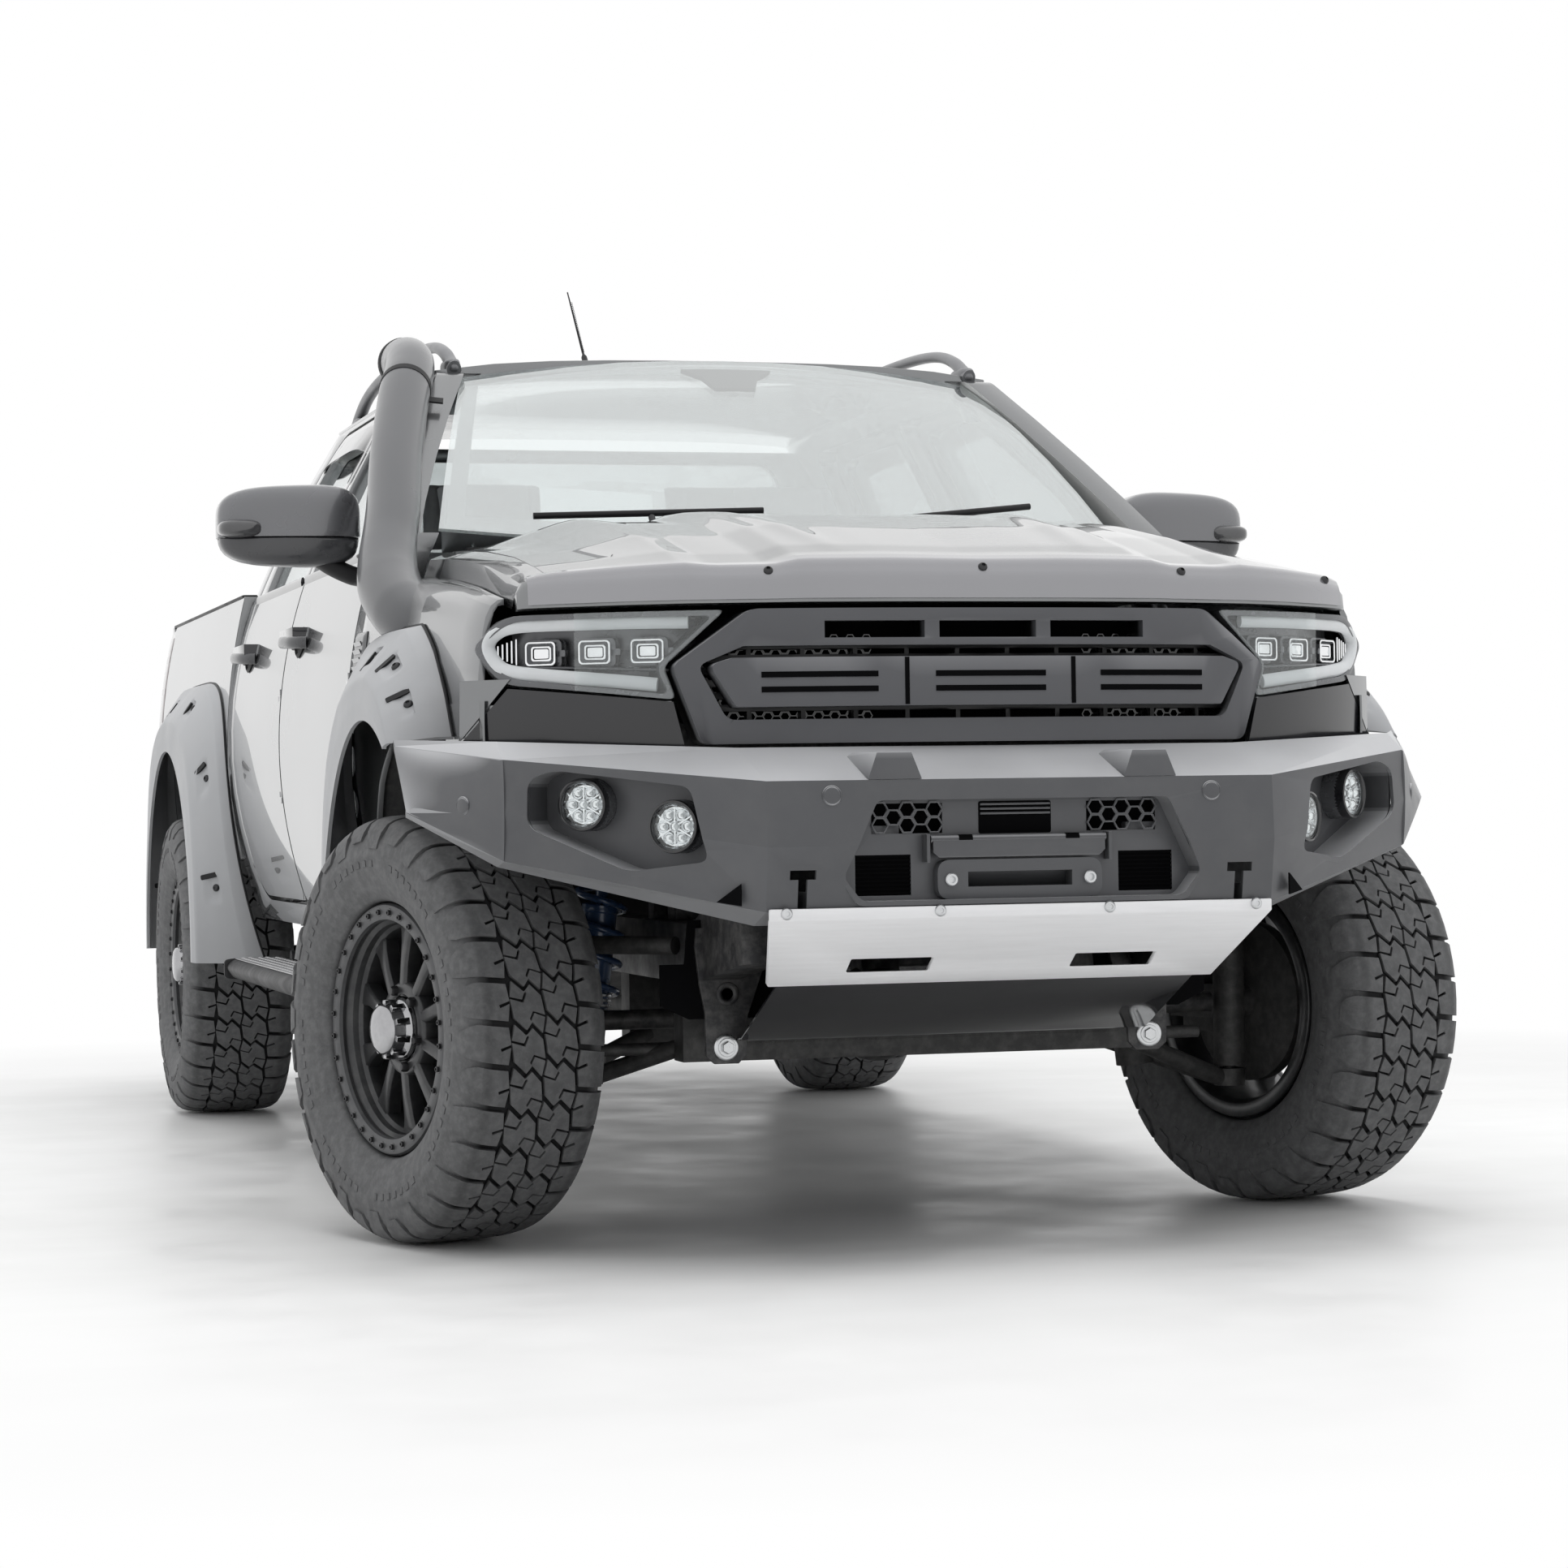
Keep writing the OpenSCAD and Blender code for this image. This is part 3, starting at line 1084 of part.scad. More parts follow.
// Roof rails and aerial, trimmed to the roof
rail_bar_x = 596;
rail_bar_d = 34;
rail_bar_up = 36;
rail_bar_lead = 110;
rail_bar_tail = 60;
rail_bar_h = roof_h + rail_bar_up;
rail_bar_y = [pillar_head_y + rail_bar_lead, cab_back_y - cab_lean - rail_bar_tail];
rail_foot_l = 90;
aerial_off = [-220, 375];
aerial_at = [0, pillar_head_y] + aerial_off;
aerial_h = 205;
aerial_d = 8;
rail_arch = outline([[rail_bar_y[0] - rail_foot_l, roof_edge_h, 0], [rail_bar_y[1] + rail_foot_l / 2,
  roof_edge_h, 0],
  [rail_bar_y[1], rail_bar_h + rail_bar_d / 2, rail_foot_l], [rail_bar_y[0], rail_bar_h + rail_bar_d / 2,
    2 * rail_foot_l]]);
module roof_rails() color("dimgray") difference() {
  union() {
    both() {
      side_prism(rail_arch, rail_bar_x - rail_bar_d / 2, rail_bar_x + rail_bar_d / 2);
      for (y = [rail_bar_y[0], (rail_bar_y[0] + rail_bar_y[1] - rail_foot_l) / 2, rail_bar_y[1] - rail_foot_l])
        box(rail_bar_x - rail_bar_d / 2, rail_bar_x + rail_bar_d / 2, y, y + rail_foot_l,
          roof_edge_h - rail_foot_l / 3, rail_bar_h - rail_bar_d / 2);
    }
    translate([aerial_at[0], aerial_at[1], roof_edge_h]) {
      cylinder(h = roof_crown + aerial_h, d = aerial_d);
      cylinder(h = roof_crown + 3 * aerial_d, d = 5 * aerial_d);
    }
  }
  panel(roof_grid(seat), roof_grid(-far));
}
// Wipers lie along the foot of the screen
wiper_d = 14;
wiper_lift = [0, -16, 20];
wiper_ends = [[-0.75, -0.02], [0.1, -0.02]];
module wipers() color("black") for (u = wiper_ends) {
  rod(screen_at(u[0], 0.04) + wiper_lift, screen_at(u[0] + 0.66, 0.1) + wiper_lift, wiper_d);
  foot = [screen_at(u[0] + 0.33, 0)[0], screen_low_y - wiper_d - over, screen_low_h + cowl_t / 2];
  rod(screen_at(u[0] + 0.33, 0.06) + wiper_lift, foot, wiper_d);
  translate([foot[0], foot[1], cowl_z + seat]) cylinder(h = foot[2] - cowl_z + wiper_d / 2, d = 3 / 2 * wiper_d);
}

// Frame: two rails that rise over both axles, cross members and body mounts
rail_low = 420;
rail_deep = 110;
rail_rise_front = 60;
rail_rise_rear = 150;
rail_end_in = 10;
rail_end_y = bed_end_y - rail_end_in;
rail_nose = 20;
rail_pad_l = 170;
// Kinks of the rails, measured from the axles
kick_front = 330;
kick_mid = 400;
kick_cab = 560;
kick_rear = 660;
kick_axle = 430;
cross_d = 50;
// Cross members: place along the frame as a share of its length, rise as a share of the rear rise
cross_shares = [[0.02, 0.75], [0.17, 0.2], [0.42, -0.2], [0.72, 0.95], [0.97, 1]];
rail_line = [[rail_front_y, rail_front_top - rail_deep - rail_nose], [front_axle_y - kick_front,
  rail_low + rail_rise_front],
  [front_axle_y + kick_mid, rail_low + rail_rise_front], [front_axle_y + kick_cab, rail_low],
  [rear_axle_y - kick_rear, rail_low], [rear_axle_y - kick_axle, rail_low + rail_rise_rear],
  [rail_end_y, rail_low + rail_rise_rear]];
rail_shape = concat(rail_line, [for (k = [6:-1:1]) rail_line[k] + [0, rail_deep]],
  [[rail_front_y + rail_pad_l, rail_front_top], [rail_front_y, rail_front_top]]);
frame_l = rail_end_y - rail_front_y;
mount_in = 120;
mount_ys = [door_y + mount_in, b_post_y, door_end_y - mount_in / 2];
hitch_d = 32;
rail_mid = rail_low + rail_deep;
module chassis() color("black") {
  both() {
    side_prism(rail_shape, rail_x, rail_x + rail_w);
    for (y = mount_ys) translate([rail_x + rail_w / 2, y, rail_mid - over])
      cylinder(h = floor_z - rail_mid + over, d = rail_w);
    for (s = [1, 2, 3]) translate([rail_x + rail_w / 2, bed_y + bed_l * sill_beam_shares[s],
      rail_mid + rail_rise_rear - over])
      cylinder(h = bed_floor_h - bed_floor_t - sill_beam - rail_mid - rail_rise_rear + over, d = rail_w);
    box(rail_x, rail_x + rail_w - tower_t, coil_y - tower_t, coil_y + tower_t,
      rail_mid + rail_rise_front - over,
      coil_top[2] + tower_t);
    box(rail_x, coil_top[0] + coil_d / 2, coil_y - coil_d / 2, coil_y + coil_d / 2, coil_top[2] + coil_d / 8,
      coil_top[2] + coil_d / 8 + tower_t);
  }
  for (c = cross_shares) cross_rod(-rail_x - over, rail_x + over, rail_front_y + frame_l * c[0],
    rail_low + rail_deep / 2 + rail_rise_rear * c[1], cross_d);
}
// Knuckles, arms and coil-over legs of the front wheels
pin_d = 24;
ball_up = 150;
arm_t = 34;
arm_eye_d = 62;
upright_d = 64;
spindle_d = 60;
disc_d = 320;
disc_t = 26;
hub_run = 0.08;
knuckle_gap = 6;
disc_gap = 10;
module steered(s) translate([s * king_x, front_axle_y, 0]) rotate([0, 0, steer_deg])
  translate([-s * king_x, -front_axle_y, 0]) children();
module knuckle() {
  translate([king_x, front_axle_y, axle_z - ball_up + arm_t / 2 + knuckle_gap])
    cylinder(h = 2 * (ball_up - knuckle_gap) - arm_t, d = upright_d);
  translate([king_x, front_axle_y, axle_z - ball_up - arm_t / 2]) cylinder(h = 2 * ball_up + arm_t, d = pin_d);
  cross_rod(king_x, wheel_x + spindle_end, front_axle_y, axle_z, spindle_d);
  cross_rod(king_x + upright_d / 2 + disc_gap, king_x + upright_d / 2 + disc_gap + disc_t, front_axle_y,
    axle_z, disc_d);
  box(king_x + upright_d / 4, king_x + upright_d + disc_t + knuckle_gap, front_axle_y + upright_d,
    front_axle_y + disc_d / 2 + knuckle_gap, axle_z - upright_d, axle_z + upright_d);
  box(king_x - upright_d / 4, king_x + upright_d / 2, front_axle_y, front_axle_y + disc_d / 2 + knuckle_gap,
    axle_z - arm_t, axle_z + arm_t);
}
spindle_end = 66;
module knuckle_left() color("dimgray") steered(1) knuckle();
module knuckle_right() color("dimgray") steered(-1) mirror([1, 0, 0]) knuckle();
arm_spread = 180;
upper_spread = 270;
module wishbone(z_out, x_in, z_in, spread) difference() {
  union() {
    translate([king_x, front_axle_y, z_out - arm_t / 2]) cylinder(h = arm_t, d = arm_eye_d);
    for (s = [-1, 1])
      rod([king_x - pin_d, front_axle_y + s * pin_d / 4, z_out], [x_in, front_axle_y + s * spread, z_in],
        arm_t);
  }
  translate([king_x, front_axle_y, z_out - arm_t]) cylinder(h = 2 * arm_t, d = pin_d + 2 * hub_run);
}
// Cross member under the rails carries the lower arms, the rack and the coil-over seats
sub_low = 332;
sub_h = 62;
coil_back = 78;
coil_y = front_axle_y + coil_back;
coil_low = [560, coil_y, 345];
coil_top = [498, coil_y, 878];
coil_d = 108;
coil_seat_d = 76;
coil_axis = unit(coil_top - coil_low);
tower_t = 22;
rack_d = 52;
rack_end = 360;
rack_lead = 140;
rack_y = front_axle_y - rack_lead;
rack_z = 352;
tie_end = 615;
tie_d = 24;
module front_suspension() color("black") {
  both() {
    wishbone(axle_z - ball_up, rail_x + rail_w / 2, sub_low + sub_h / 2, arm_spread);
    wishbone(axle_z + ball_up, rail_x + rail_w + arm_t / 2 + seat, axle_z + ball_up, upper_spread);
    for (s = [-1, 1]) box(rail_x, rail_x + rail_w, front_axle_y + s * sub_y - sub_w / 2,
      front_axle_y + s * sub_y + sub_w / 2, sub_low, rail_low + rail_rise_front - seat);
    rod(coil_low - coil_axis * 2 * arm_t, coil_low - coil_axis * seat, coil_seat_d);
    rod([rack_end, rack_y, rack_z], [tie_end, rack_y, rack_z], tie_d);
  }
  for (s = [-1, 1]) box(-rail_x - over, rail_x + over, front_axle_y + s * sub_y - sub_w / 2,
    front_axle_y + s * sub_y + sub_w / 2, sub_low, sub_low + sub_h);
  cross_rod(-rack_end - over, rack_end + over, rack_y, rack_z, rack_d);
  both() box(rack_end - rack_d, rack_end - over, front_axle_y - sub_y, rack_y, rack_z - rack_d / 3,
    rack_z + rack_d / 3);
}
shock_d = 46;
shock_pin_d = 24;
shock_low_off = [26, -78, 360];
shock_top_off = [26, -270, 640];
rear_shock_low = [rail_x + rail_w, rear_axle_y, 0] + shock_low_off;
rear_shock_top = [rail_x + rail_w, rear_axle_y, 0] + shock_top_off;
module dampers() color("steelblue") both() {
  rod(coil_low, coil_top, coil_d);
  rod(rear_shock_low, rear_shock_top, shock_d);
  cross_rod(rail_x + rail_w + seat, rear_shock_top[0], rear_shock_top[1], rear_shock_top[2], shock_pin_d);
}
// Rear axle with spindles, discs and a middle casing; leaf springs sit on its tube
axle_tube_d = 90;
axle_case_d = 270;
axle_in = 115;
axle_tube_half = wheel_x - axle_in;
rear_disc_x = 96;
module rear_axle() color("black") {
  cross_rod(-axle_tube_half, axle_tube_half, rear_axle_y, axle_z, axle_tube_d);
  translate([0, rear_axle_y, axle_z]) rotate([0, 0, 45]) sphere(d = axle_case_d);
  both() {
    cross_rod(axle_tube_half - over, wheel_x + spindle_end, rear_axle_y, axle_z, spindle_d);
    cross_rod(wheel_x - rear_disc_x, wheel_x - rear_disc_x + disc_t, rear_axle_y, axle_z, disc_d);
  }
}
leaf_x = 530;
leaf_w = 64;
leaf_t = 40;
leaf_half = 640;
leaf_rise = 105;
leaf_steps = 12;
leaf_eye_d = 56;
leaf_low = axle_z + axle_tube_d / 2 + seat;
function leaf_z(s) = leaf_low + leaf_rise * s * s;
module leaf_springs() color("black") both() {
  ss = levels(-1, 1, leaf_steps);
  side_prism(concat([for (s = ss) [rear_axle_y + leaf_half * s, leaf_z(s)]],
    [for (k = [leaf_steps:-1:0]) [rear_axle_y + leaf_half * ss[k], leaf_z(ss[k]) + leaf_t]]), leaf_x,
      leaf_x + leaf_w);
  for (s = [-1, 1]) cross_rod(rail_x + rail_w + seat, leaf_x + leaf_w, rear_axle_y + s * leaf_half,
    leaf_z(s) + leaf_t / 2, leaf_eye_d);
}
// Gearbox, shafts to both axles and front final drive
box_d = 200;
box_z = 578;
box_l = 760;
box_y = [engine_y + engine_l, engine_y + engine_l + box_l];
prop_d = 72;
final_d = 190;
shaft_d = 38;
shaft_in = 120;
pinion_up = 20;
joint_gap = 8;
module driveline() color("dimgray") {
  translate([0, box_y[0] + seat, box_z]) rotate([-90, 0, 0]) cylinder(h = box_y[1] - box_y[0], d = box_d);
  rod([0, box_y[1] - over, box_z], [0, rear_axle_y - axle_case_d / 2 - over, axle_z + pinion_up], prop_d);
  translate([0, front_axle_y, axle_z]) sphere(d = final_d);
  both() cross_rod(shaft_in / 2, king_x - upright_d / 2 - joint_gap, front_axle_y, axle_z, shaft_d);
  box(-shaft_d, shaft_d, front_axle_y - shaft_d, front_axle_y + shaft_d, axle_z, engine_low - seat);
}
// Tank on the left, exhaust on the right
tank_x = [70, rail_x - seat];
tank_back = 260;
tank_l = 620;
tank_y = [b_post_y + tank_back, b_post_y + tank_back + tank_l];
tank_z = [395, 535];
pipe_d = 60;
pipe_x = -235;
pipe_z = 374;
pipe_lead = 560;
pipe_tail = 700;
pipe_y = [front_axle_y + pipe_lead, rear_axle_y - pipe_tail];
muffler_d = 100;
muffler_l = 520;
module underbody() color("gray") {
  box(tank_x[0], tank_x[1], tank_y[0], tank_y[1], tank_z[0], tank_z[1]);
  translate([pipe_x, pipe_y[0], pipe_z]) rotate([-90, 0, 0]) cylinder(h = pipe_y[1] - pipe_y[0], d = pipe_d);
  translate([pipe_x, pipe_y[1] - muffler_l, pipe_z]) rotate([-90, 0, 0]) cylinder(h = muffler_l, d = muffler_d);
  cross_y = rail_front_y + frame_l * cross_shares[2][0];
  box(pipe_x - pipe_d / 4, pipe_x + pipe_d / 4, cross_y - pipe_d / 4, cross_y + pipe_d / 4, pipe_z,
    rail_low + rail_deep / 2
    + rail_rise_rear * cross_shares[2][1] - cross_d / 2 - seat);
}

// Side steps on brackets from the rails
step_x = [800, 962];
step_z = [392, 442];
step_lead = 70;
step_tail = 60;
step_y = [door_y + step_lead, door_end_y - step_tail];
step_ease = 20;
bracket_d = 44;
step_bracket_shares = [0.1, 0.5, 0.9];
module side_steps() color("black") both() {
  front_prism(outline([[step_x[0], step_z[0], step_ease], [step_x[1] - step_ease, step_z[0], step_ease],
    [step_x[1], step_z[1] - step_ease, step_ease], [step_x[1] - step_ease, step_z[1], step_ease],
    [step_x[0], step_z[1], step_ease]]), step_y[0], step_y[1]);
  for (s = step_bracket_shares) cross_rod(rail_x + rail_w + seat, step_x[0] + step_ease,
    step_y[0] + (step_y[1] - step_y[0]) * s, rail_low + bracket_d / 2 + over, bracket_d);
}
// Rear bumper with a towing tongue
rear_bar_half = 885;
rear_bar_z = [560, 738];
rear_bar_d = 175;
rear_bar_y = y_rear - rear_bar_d;
rear_bar_ease = 24;
tongue_l = 62;
tongue_w = 70;
tongue_z = 470;
module rear_bumper() color("dimgray") difference() {
  union() {
    plan_prism(outline([[-rear_bar_half, rear_bar_y, rear_bar_ease], [rear_bar_half, rear_bar_y, rear_bar_ease],
      [rear_bar_half, y_rear - tongue_l - rear_bar_ease, 3 * rear_bar_ease], [rear_bar_half * 2 / 3,
        y_rear - tongue_l, 3 * rear_bar_ease],
      [-rear_bar_half * 2 / 3, y_rear - tongue_l, 3 * rear_bar_ease],
      [-rear_bar_half, y_rear - tongue_l - rear_bar_ease, 3 * rear_bar_ease]]), rear_bar_z[0], rear_bar_z[1]);
    both() box(rail_x + (rail_w - mount_w) / 2, rail_x + (rail_w + mount_w) / 2, rail_end_y + seat,
      rear_bar_y + over,
      rail_low + rail_rise_rear + bumper_plate, rail_low + rail_rise_rear + rail_deep - bumper_plate);
    box(-tongue_w / 2, tongue_w / 2, rear_bar_y, y_rear, tongue_z, tongue_z + tongue_w / 2);
    box(-tongue_w / 2, tongue_w / 2, rear_bar_y, rear_bar_y + tongue_w, tongue_z, rear_bar_z[0] + over);
  }
  translate([0, y_rear - tongue_w / 2, tongue_z - over]) cylinder(h = tongue_w, d = hitch_d);
}
// Mirrors ride on the front doors
mirror_x = [905, 1132];
mirror_z = [1318, 1488];
mirror_back = 165;
mirror_l = 135;
mirror_y = [door_y + mirror_back, door_y + mirror_back + mirror_l];
mirror_shares = [[0, 0.12, 0.18], [0.75, 0, 0.3], [1, 0.45, 0.3], [0.92, 0.95, 0.25], [0.2, 1, 0.3], [0, 0.8,
  0.2]];
arm_h = 46;
arm_drop = 10;
mirror_arm_in = 20;
mirror_arm_l = 80;
mirror_arm_y = [mirror_y[0] + mirror_arm_in, mirror_y[0] + mirror_arm_in + mirror_arm_l];
module mirror_left() color("dimgray") {
  front_prism(outline(placed(mirror_shares, mirror_x[0], mirror_x[1], mirror_z[0], mirror_z[1])),
    mirror_y[0], mirror_y[1]);
  difference() {
    box(belt_half - glass_in, mirror_x[0] + 2 * arm_h, mirror_arm_y[0], mirror_arm_y[1],
      belt_h - arm_h - arm_drop,
      belt_h - arm_drop);
    side_core(y_front, y_rear);
  }
  box(mirror_x[0] + arm_h / 4, mirror_x[0] + 2 * arm_h, mirror_arm_y[0], mirror_arm_y[1],
    belt_h - arm_h - arm_drop,
    mirror_z[0] + arm_h);
}
module mirror_right() mirror([1, 0, 0]) mirror_left();

// Wheels: rim with spokes and clamp ring, tyre with shoulder blocks
rim_half = 118;
rim_wall = 11;
bead_in = 4;
seat_r = 216;
ring_t = 24;
hub_d = 176;
hub_face = 52;
hub_t = 34;
cap_d = 96;
cap_out = 52;
spoke_w = 34;
spoke_t = 30;
module rim() rotate([0, 90, 0]) {
  difference() {
    union() {
      rotate_extrude($fn = 72) polygon([[seat_r - rim_wall, -rim_half], [rim_d / 2 - bead_in, -rim_half],
        [rim_d / 2 - bead_in, -rim_half + rim_wall], [seat_r, -rim_half + rim_wall], [seat_r,
          rim_half - ring_t],
        [rim_d / 2, rim_half - ring_t], [rim_d / 2, rim_half], [seat_r - rim_wall, rim_half]]);
      translate([0, 0, hub_face]) cylinder(h = hub_t, d = hub_d);
      for (k = [0:spoke_n - 1]) rotate([0, 0, k * 360 / spoke_n])
        box(hub_d / 2 - rim_wall, seat_r - rim_wall / 2, -spoke_w / 2, spoke_w / 2, hub_face + hub_t - spoke_t,
          hub_face + hub_t);
      translate([0, 0, hub_face]) cylinder(h = hub_t + cap_out, d = cap_d);
    }
    translate([0, 0, hub_face - over]) cylinder(h = spindle_end - hub_face + 2 * over,
      d = spindle_d + 2 * hub_run);
  }
}
tread_half = 112;
tyre_shares = [[0.135, 0.86], [0.45, 1], [0.72, 0.985], [0.9, 0.93]];
tyre_side = [for (s = tyre_shares) [rim_d / 2 + (tyre_d / 2 - rim_d / 2) * s[0], tyre_w / 2 * s[1]]];
tyre_half_outline = concat([[seat_r + seat, rim_half - ring_t - seat], [rim_d / 2 + seat,
  rim_half - ring_t - seat]],
  tyre_side, [[tyre_d / 2, tread_half]]);
tyre_top = len(tyre_half_outline) - 1;
module tyre() rotate([0, 90, 0]) {
  rotate_extrude($fn = 96) polygon(concat(tyre_half_outline,
    [for (k = [tyre_top:-1:0]) [tyre_half_outline[k][0], -tyre_half_outline[k][1]]]));
}
module at_wheel(s, y) translate([s * wheel_x, y, axle_z]) mirror([s < 0 ? 1 : 0, 0, 0]) children();
module rim_front_left() color("black") steered(1) at_wheel(1, front_axle_y) rim();
module rim_front_right() color("black") steered(-1) at_wheel(-1, front_axle_y) rim();
module rim_rear_left() color("black") at_wheel(1, rear_axle_y) rim();
module rim_rear_right() color("black") at_wheel(-1, rear_axle_y) rim();
module tyre_front_left() color("black") steered(1) at_wheel(1, front_axle_y) tyre();
module tyre_front_right() color("black") steered(-1) at_wheel(-1, front_axle_y) tyre();
module tyre_rear_left() color("black") at_wheel(1, rear_axle_y) tyre();
module tyre_rear_right() color("black") at_wheel(-1, rear_axle_y) tyre();

chassis();
engine();
front_suspension();
dampers();
rear_axle();
leaf_springs();
driveline();
underbody();
cab_floor();
cab_sides();
cab_roof();
cab_back();
bulkhead();
dashboard();
seats();
screens();
front_wings();
arch_liners();
wheel_flares();
load_bed();
grille();
front_lamps();
lamp_lenses();
front_bumper();
winch();
skid_plate();
under_guard();
snorkel();
roof_rails();
wipers();
side_steps();
rear_bumper();
tail_lamps();
bonnet();
tailgate();
door_front_right();
door_front_left();
door_rear_right();
door_rear_left();
glass_front_right();
glass_front_left();
glass_rear_right();
glass_rear_left();
mirror_right();
mirror_left();
knuckle_right();
knuckle_left();
rim_front_right();
rim_front_left();
rim_rear_right();
rim_rear_left();
tyre_front_right();
tyre_front_left();
tyre_rear_right();
tyre_rear_left();
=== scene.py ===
"""Looks of a lifted double-cab pickup truck: studio, finishes, and fine pieces that the solids leave out.

Metres, front toward -Y, +X to the truck's left, ground at z = 0.
"""
import math

import bmesh
import bpy
import numpy as np
from mathutils import Matrix, Vector


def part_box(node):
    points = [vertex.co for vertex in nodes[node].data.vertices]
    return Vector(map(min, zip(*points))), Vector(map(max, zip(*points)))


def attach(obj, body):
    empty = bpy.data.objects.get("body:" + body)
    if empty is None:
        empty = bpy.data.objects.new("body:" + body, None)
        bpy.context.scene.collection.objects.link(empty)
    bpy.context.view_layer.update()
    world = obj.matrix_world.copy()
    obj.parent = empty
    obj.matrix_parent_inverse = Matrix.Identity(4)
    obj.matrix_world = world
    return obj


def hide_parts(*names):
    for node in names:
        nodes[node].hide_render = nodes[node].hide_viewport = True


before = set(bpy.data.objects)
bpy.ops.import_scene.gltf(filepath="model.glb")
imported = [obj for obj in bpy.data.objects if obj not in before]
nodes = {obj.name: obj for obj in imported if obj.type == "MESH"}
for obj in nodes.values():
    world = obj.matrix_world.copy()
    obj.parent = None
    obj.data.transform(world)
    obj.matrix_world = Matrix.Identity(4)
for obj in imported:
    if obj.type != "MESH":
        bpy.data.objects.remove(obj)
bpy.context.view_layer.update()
scene = bpy.context.scene
scene.view_settings.view_transform = "Standard"

# Measures that several pieces share with the solids
TYRE_R = 0.400
FRONT_AXLE, REAR_AXLE = -1.800, 1.420
HALF_WIDTH, WAIST, BELT = 0.925, 0.960, 1.335
BONNET_HALF = 0.795
BUMPER_FACE = -2.700
RAIL_SIDE = 0.450
MIRROR = Matrix.Diagonal((-1, 1, 1, 1))
# turns x, y, z of a flat form to x, z, y
UPRIGHT = Matrix(((1, 0, 0, 0), (0, 0, 1, 0), (0, 1, 0, 0), (0, 0, 0, 1)))


# Camera: found by matching points of the solids with the photograph
def make_camera():
    place = (-2.124, -8.748, 0.804)
    heading, pitch, roll = 0.273, 0.006, -0.015
    focal_px, width_px, sensor_mm = 4586.7, 1932, 36
    fwd = Vector((math.sin(heading) * math.cos(pitch), math.cos(heading) * math.cos(pitch), math.sin(pitch)))
    right = Vector((math.cos(heading), -math.sin(heading), 0))
    up = right.cross(fwd)
    x = right * math.cos(roll) + up * math.sin(roll)
    y = up * math.cos(roll) - right * math.sin(roll)
    data = bpy.data.cameras.new("camera")
    data.sensor_fit, data.sensor_width = "HORIZONTAL", sensor_mm
    data.lens = sensor_mm * focal_px / width_px
    data.clip_start, data.clip_end = 0.1, 200
    cam = bpy.data.objects.new("camera", data)
    cam.matrix_world = Matrix.Translation(place) @ Matrix((x, y, -fwd)).transposed().to_4x4()
    scene.collection.objects.link(cam)
    scene.camera = cam


# Materials: colour, roughness and bump from noise on a Principled shader; glass is clear and glossy in one
def linked(tree, kind, links=None, **values):
    """A new node with its values set and its inputs linked."""
    node = tree.nodes.new(kind)
    for key, value in values.items():
        if hasattr(node, key) and key not in node.inputs:
            setattr(node, key, value)
        else:
            node.inputs[key].default_value = value
    for key, source in (links or {}).items():
        tree.links.new(source, node.inputs[key])
    return node


def coordinate(tree, output):
    return linked(tree, "ShaderNodeTexCoord").outputs[output]


def split(tree, vector):
    return linked(tree, "ShaderNodeSeparateXYZ", {0: vector}).outputs


def math_node(tree, operation, a, b=None):
    """Output of a Math node on a socket a and a socket or number b."""
    node = linked(tree, "ShaderNodeMath", {0: a}, operation=operation)
    if isinstance(b, float):
        node.inputs[1].default_value = b
    elif b is not None:
        tree.links.new(b, node.inputs[1])
    return node.outputs[0]


def stretched(tree, vector, scale):
    move = linked(tree, "ShaderNodeMapping", {"Vector": vector})
    move.inputs["Scale"].default_value = scale
    return move.outputs["Vector"]


def length(tree, vector):
    return linked(tree, "ShaderNodeVectorMath", {"Vector": vector}, operation="LENGTH").outputs["Value"]


def noise(tree, scale, detail=4.0, rough=0.55, stretch=None):
    """Value of a noise in the object's own frame."""
    vector = coordinate(tree, "Object")
    if stretch:
        vector = stretched(tree, vector, stretch)
    tex = linked(tree, "ShaderNodeTexNoise", {"Vector": vector}, Scale=scale, Detail=detail, Roughness=rough)
    return tex.outputs["Fac"]


def ramp(tree, fac, stops):
    """Colour between two stops of (place, colour)."""
    node = linked(tree, "ShaderNodeValToRGB", {"Fac": fac})
    for element, (place, colour) in zip(node.color_ramp.elements, stops):
        element.position = place
        element.color = (*colour, 1)
    return node.outputs["Color"]


def to_range(tree, fac, low, high, start=0.3, end=0.7):
    """A value between start and end, taken to low and high."""
    node = linked(tree, "ShaderNodeMapRange", {"Value": fac})
    for key, value in (("From Min", start), ("From Max", end), ("To Min", low), ("To Max", high)):
        node.inputs[key].default_value = value
    return node.outputs["Result"]


def shade(colour, k):
    return tuple(min(1.0, c * k) for c in colour)


def tinted(tree, factor, tone, colour):
    """A tone that gives way to a plain colour where factor is 1."""
    mix = linked(tree, "ShaderNodeMix", {"Factor": factor, "A": tone}, data_type="RGBA")
    mix.inputs["B"].default_value = (*colour, 1)
    return mix.outputs["Result"]


def mixed(tree, factor, first, second, out):
    """The surface of out: a first shader that gives way to a second where factor is 1."""
    mix = linked(tree, "ShaderNodeMixShader", {"Fac": factor, 1: first.outputs[0], 2: second.outputs[0]})
    tree.links.new(mix.outputs[0], out.inputs["Surface"])


def blank_material(name):
    mat = bpy.data.materials.new(name)
    mat.use_nodes = True
    mat.node_tree.nodes.clear()
    return mat, mat.node_tree, linked(mat.node_tree, "ShaderNodeOutputMaterial")


# pale grey of painted highlights; blacks of painted shade in the tread's grooves and behind the grille's
# front
painted_highlight_grey, groove_shade_black, recess_shade_black = (0.62, 0.625, 0.64), (0.010, 0.010, 0.011), (0.008, 0.008, 0.009)


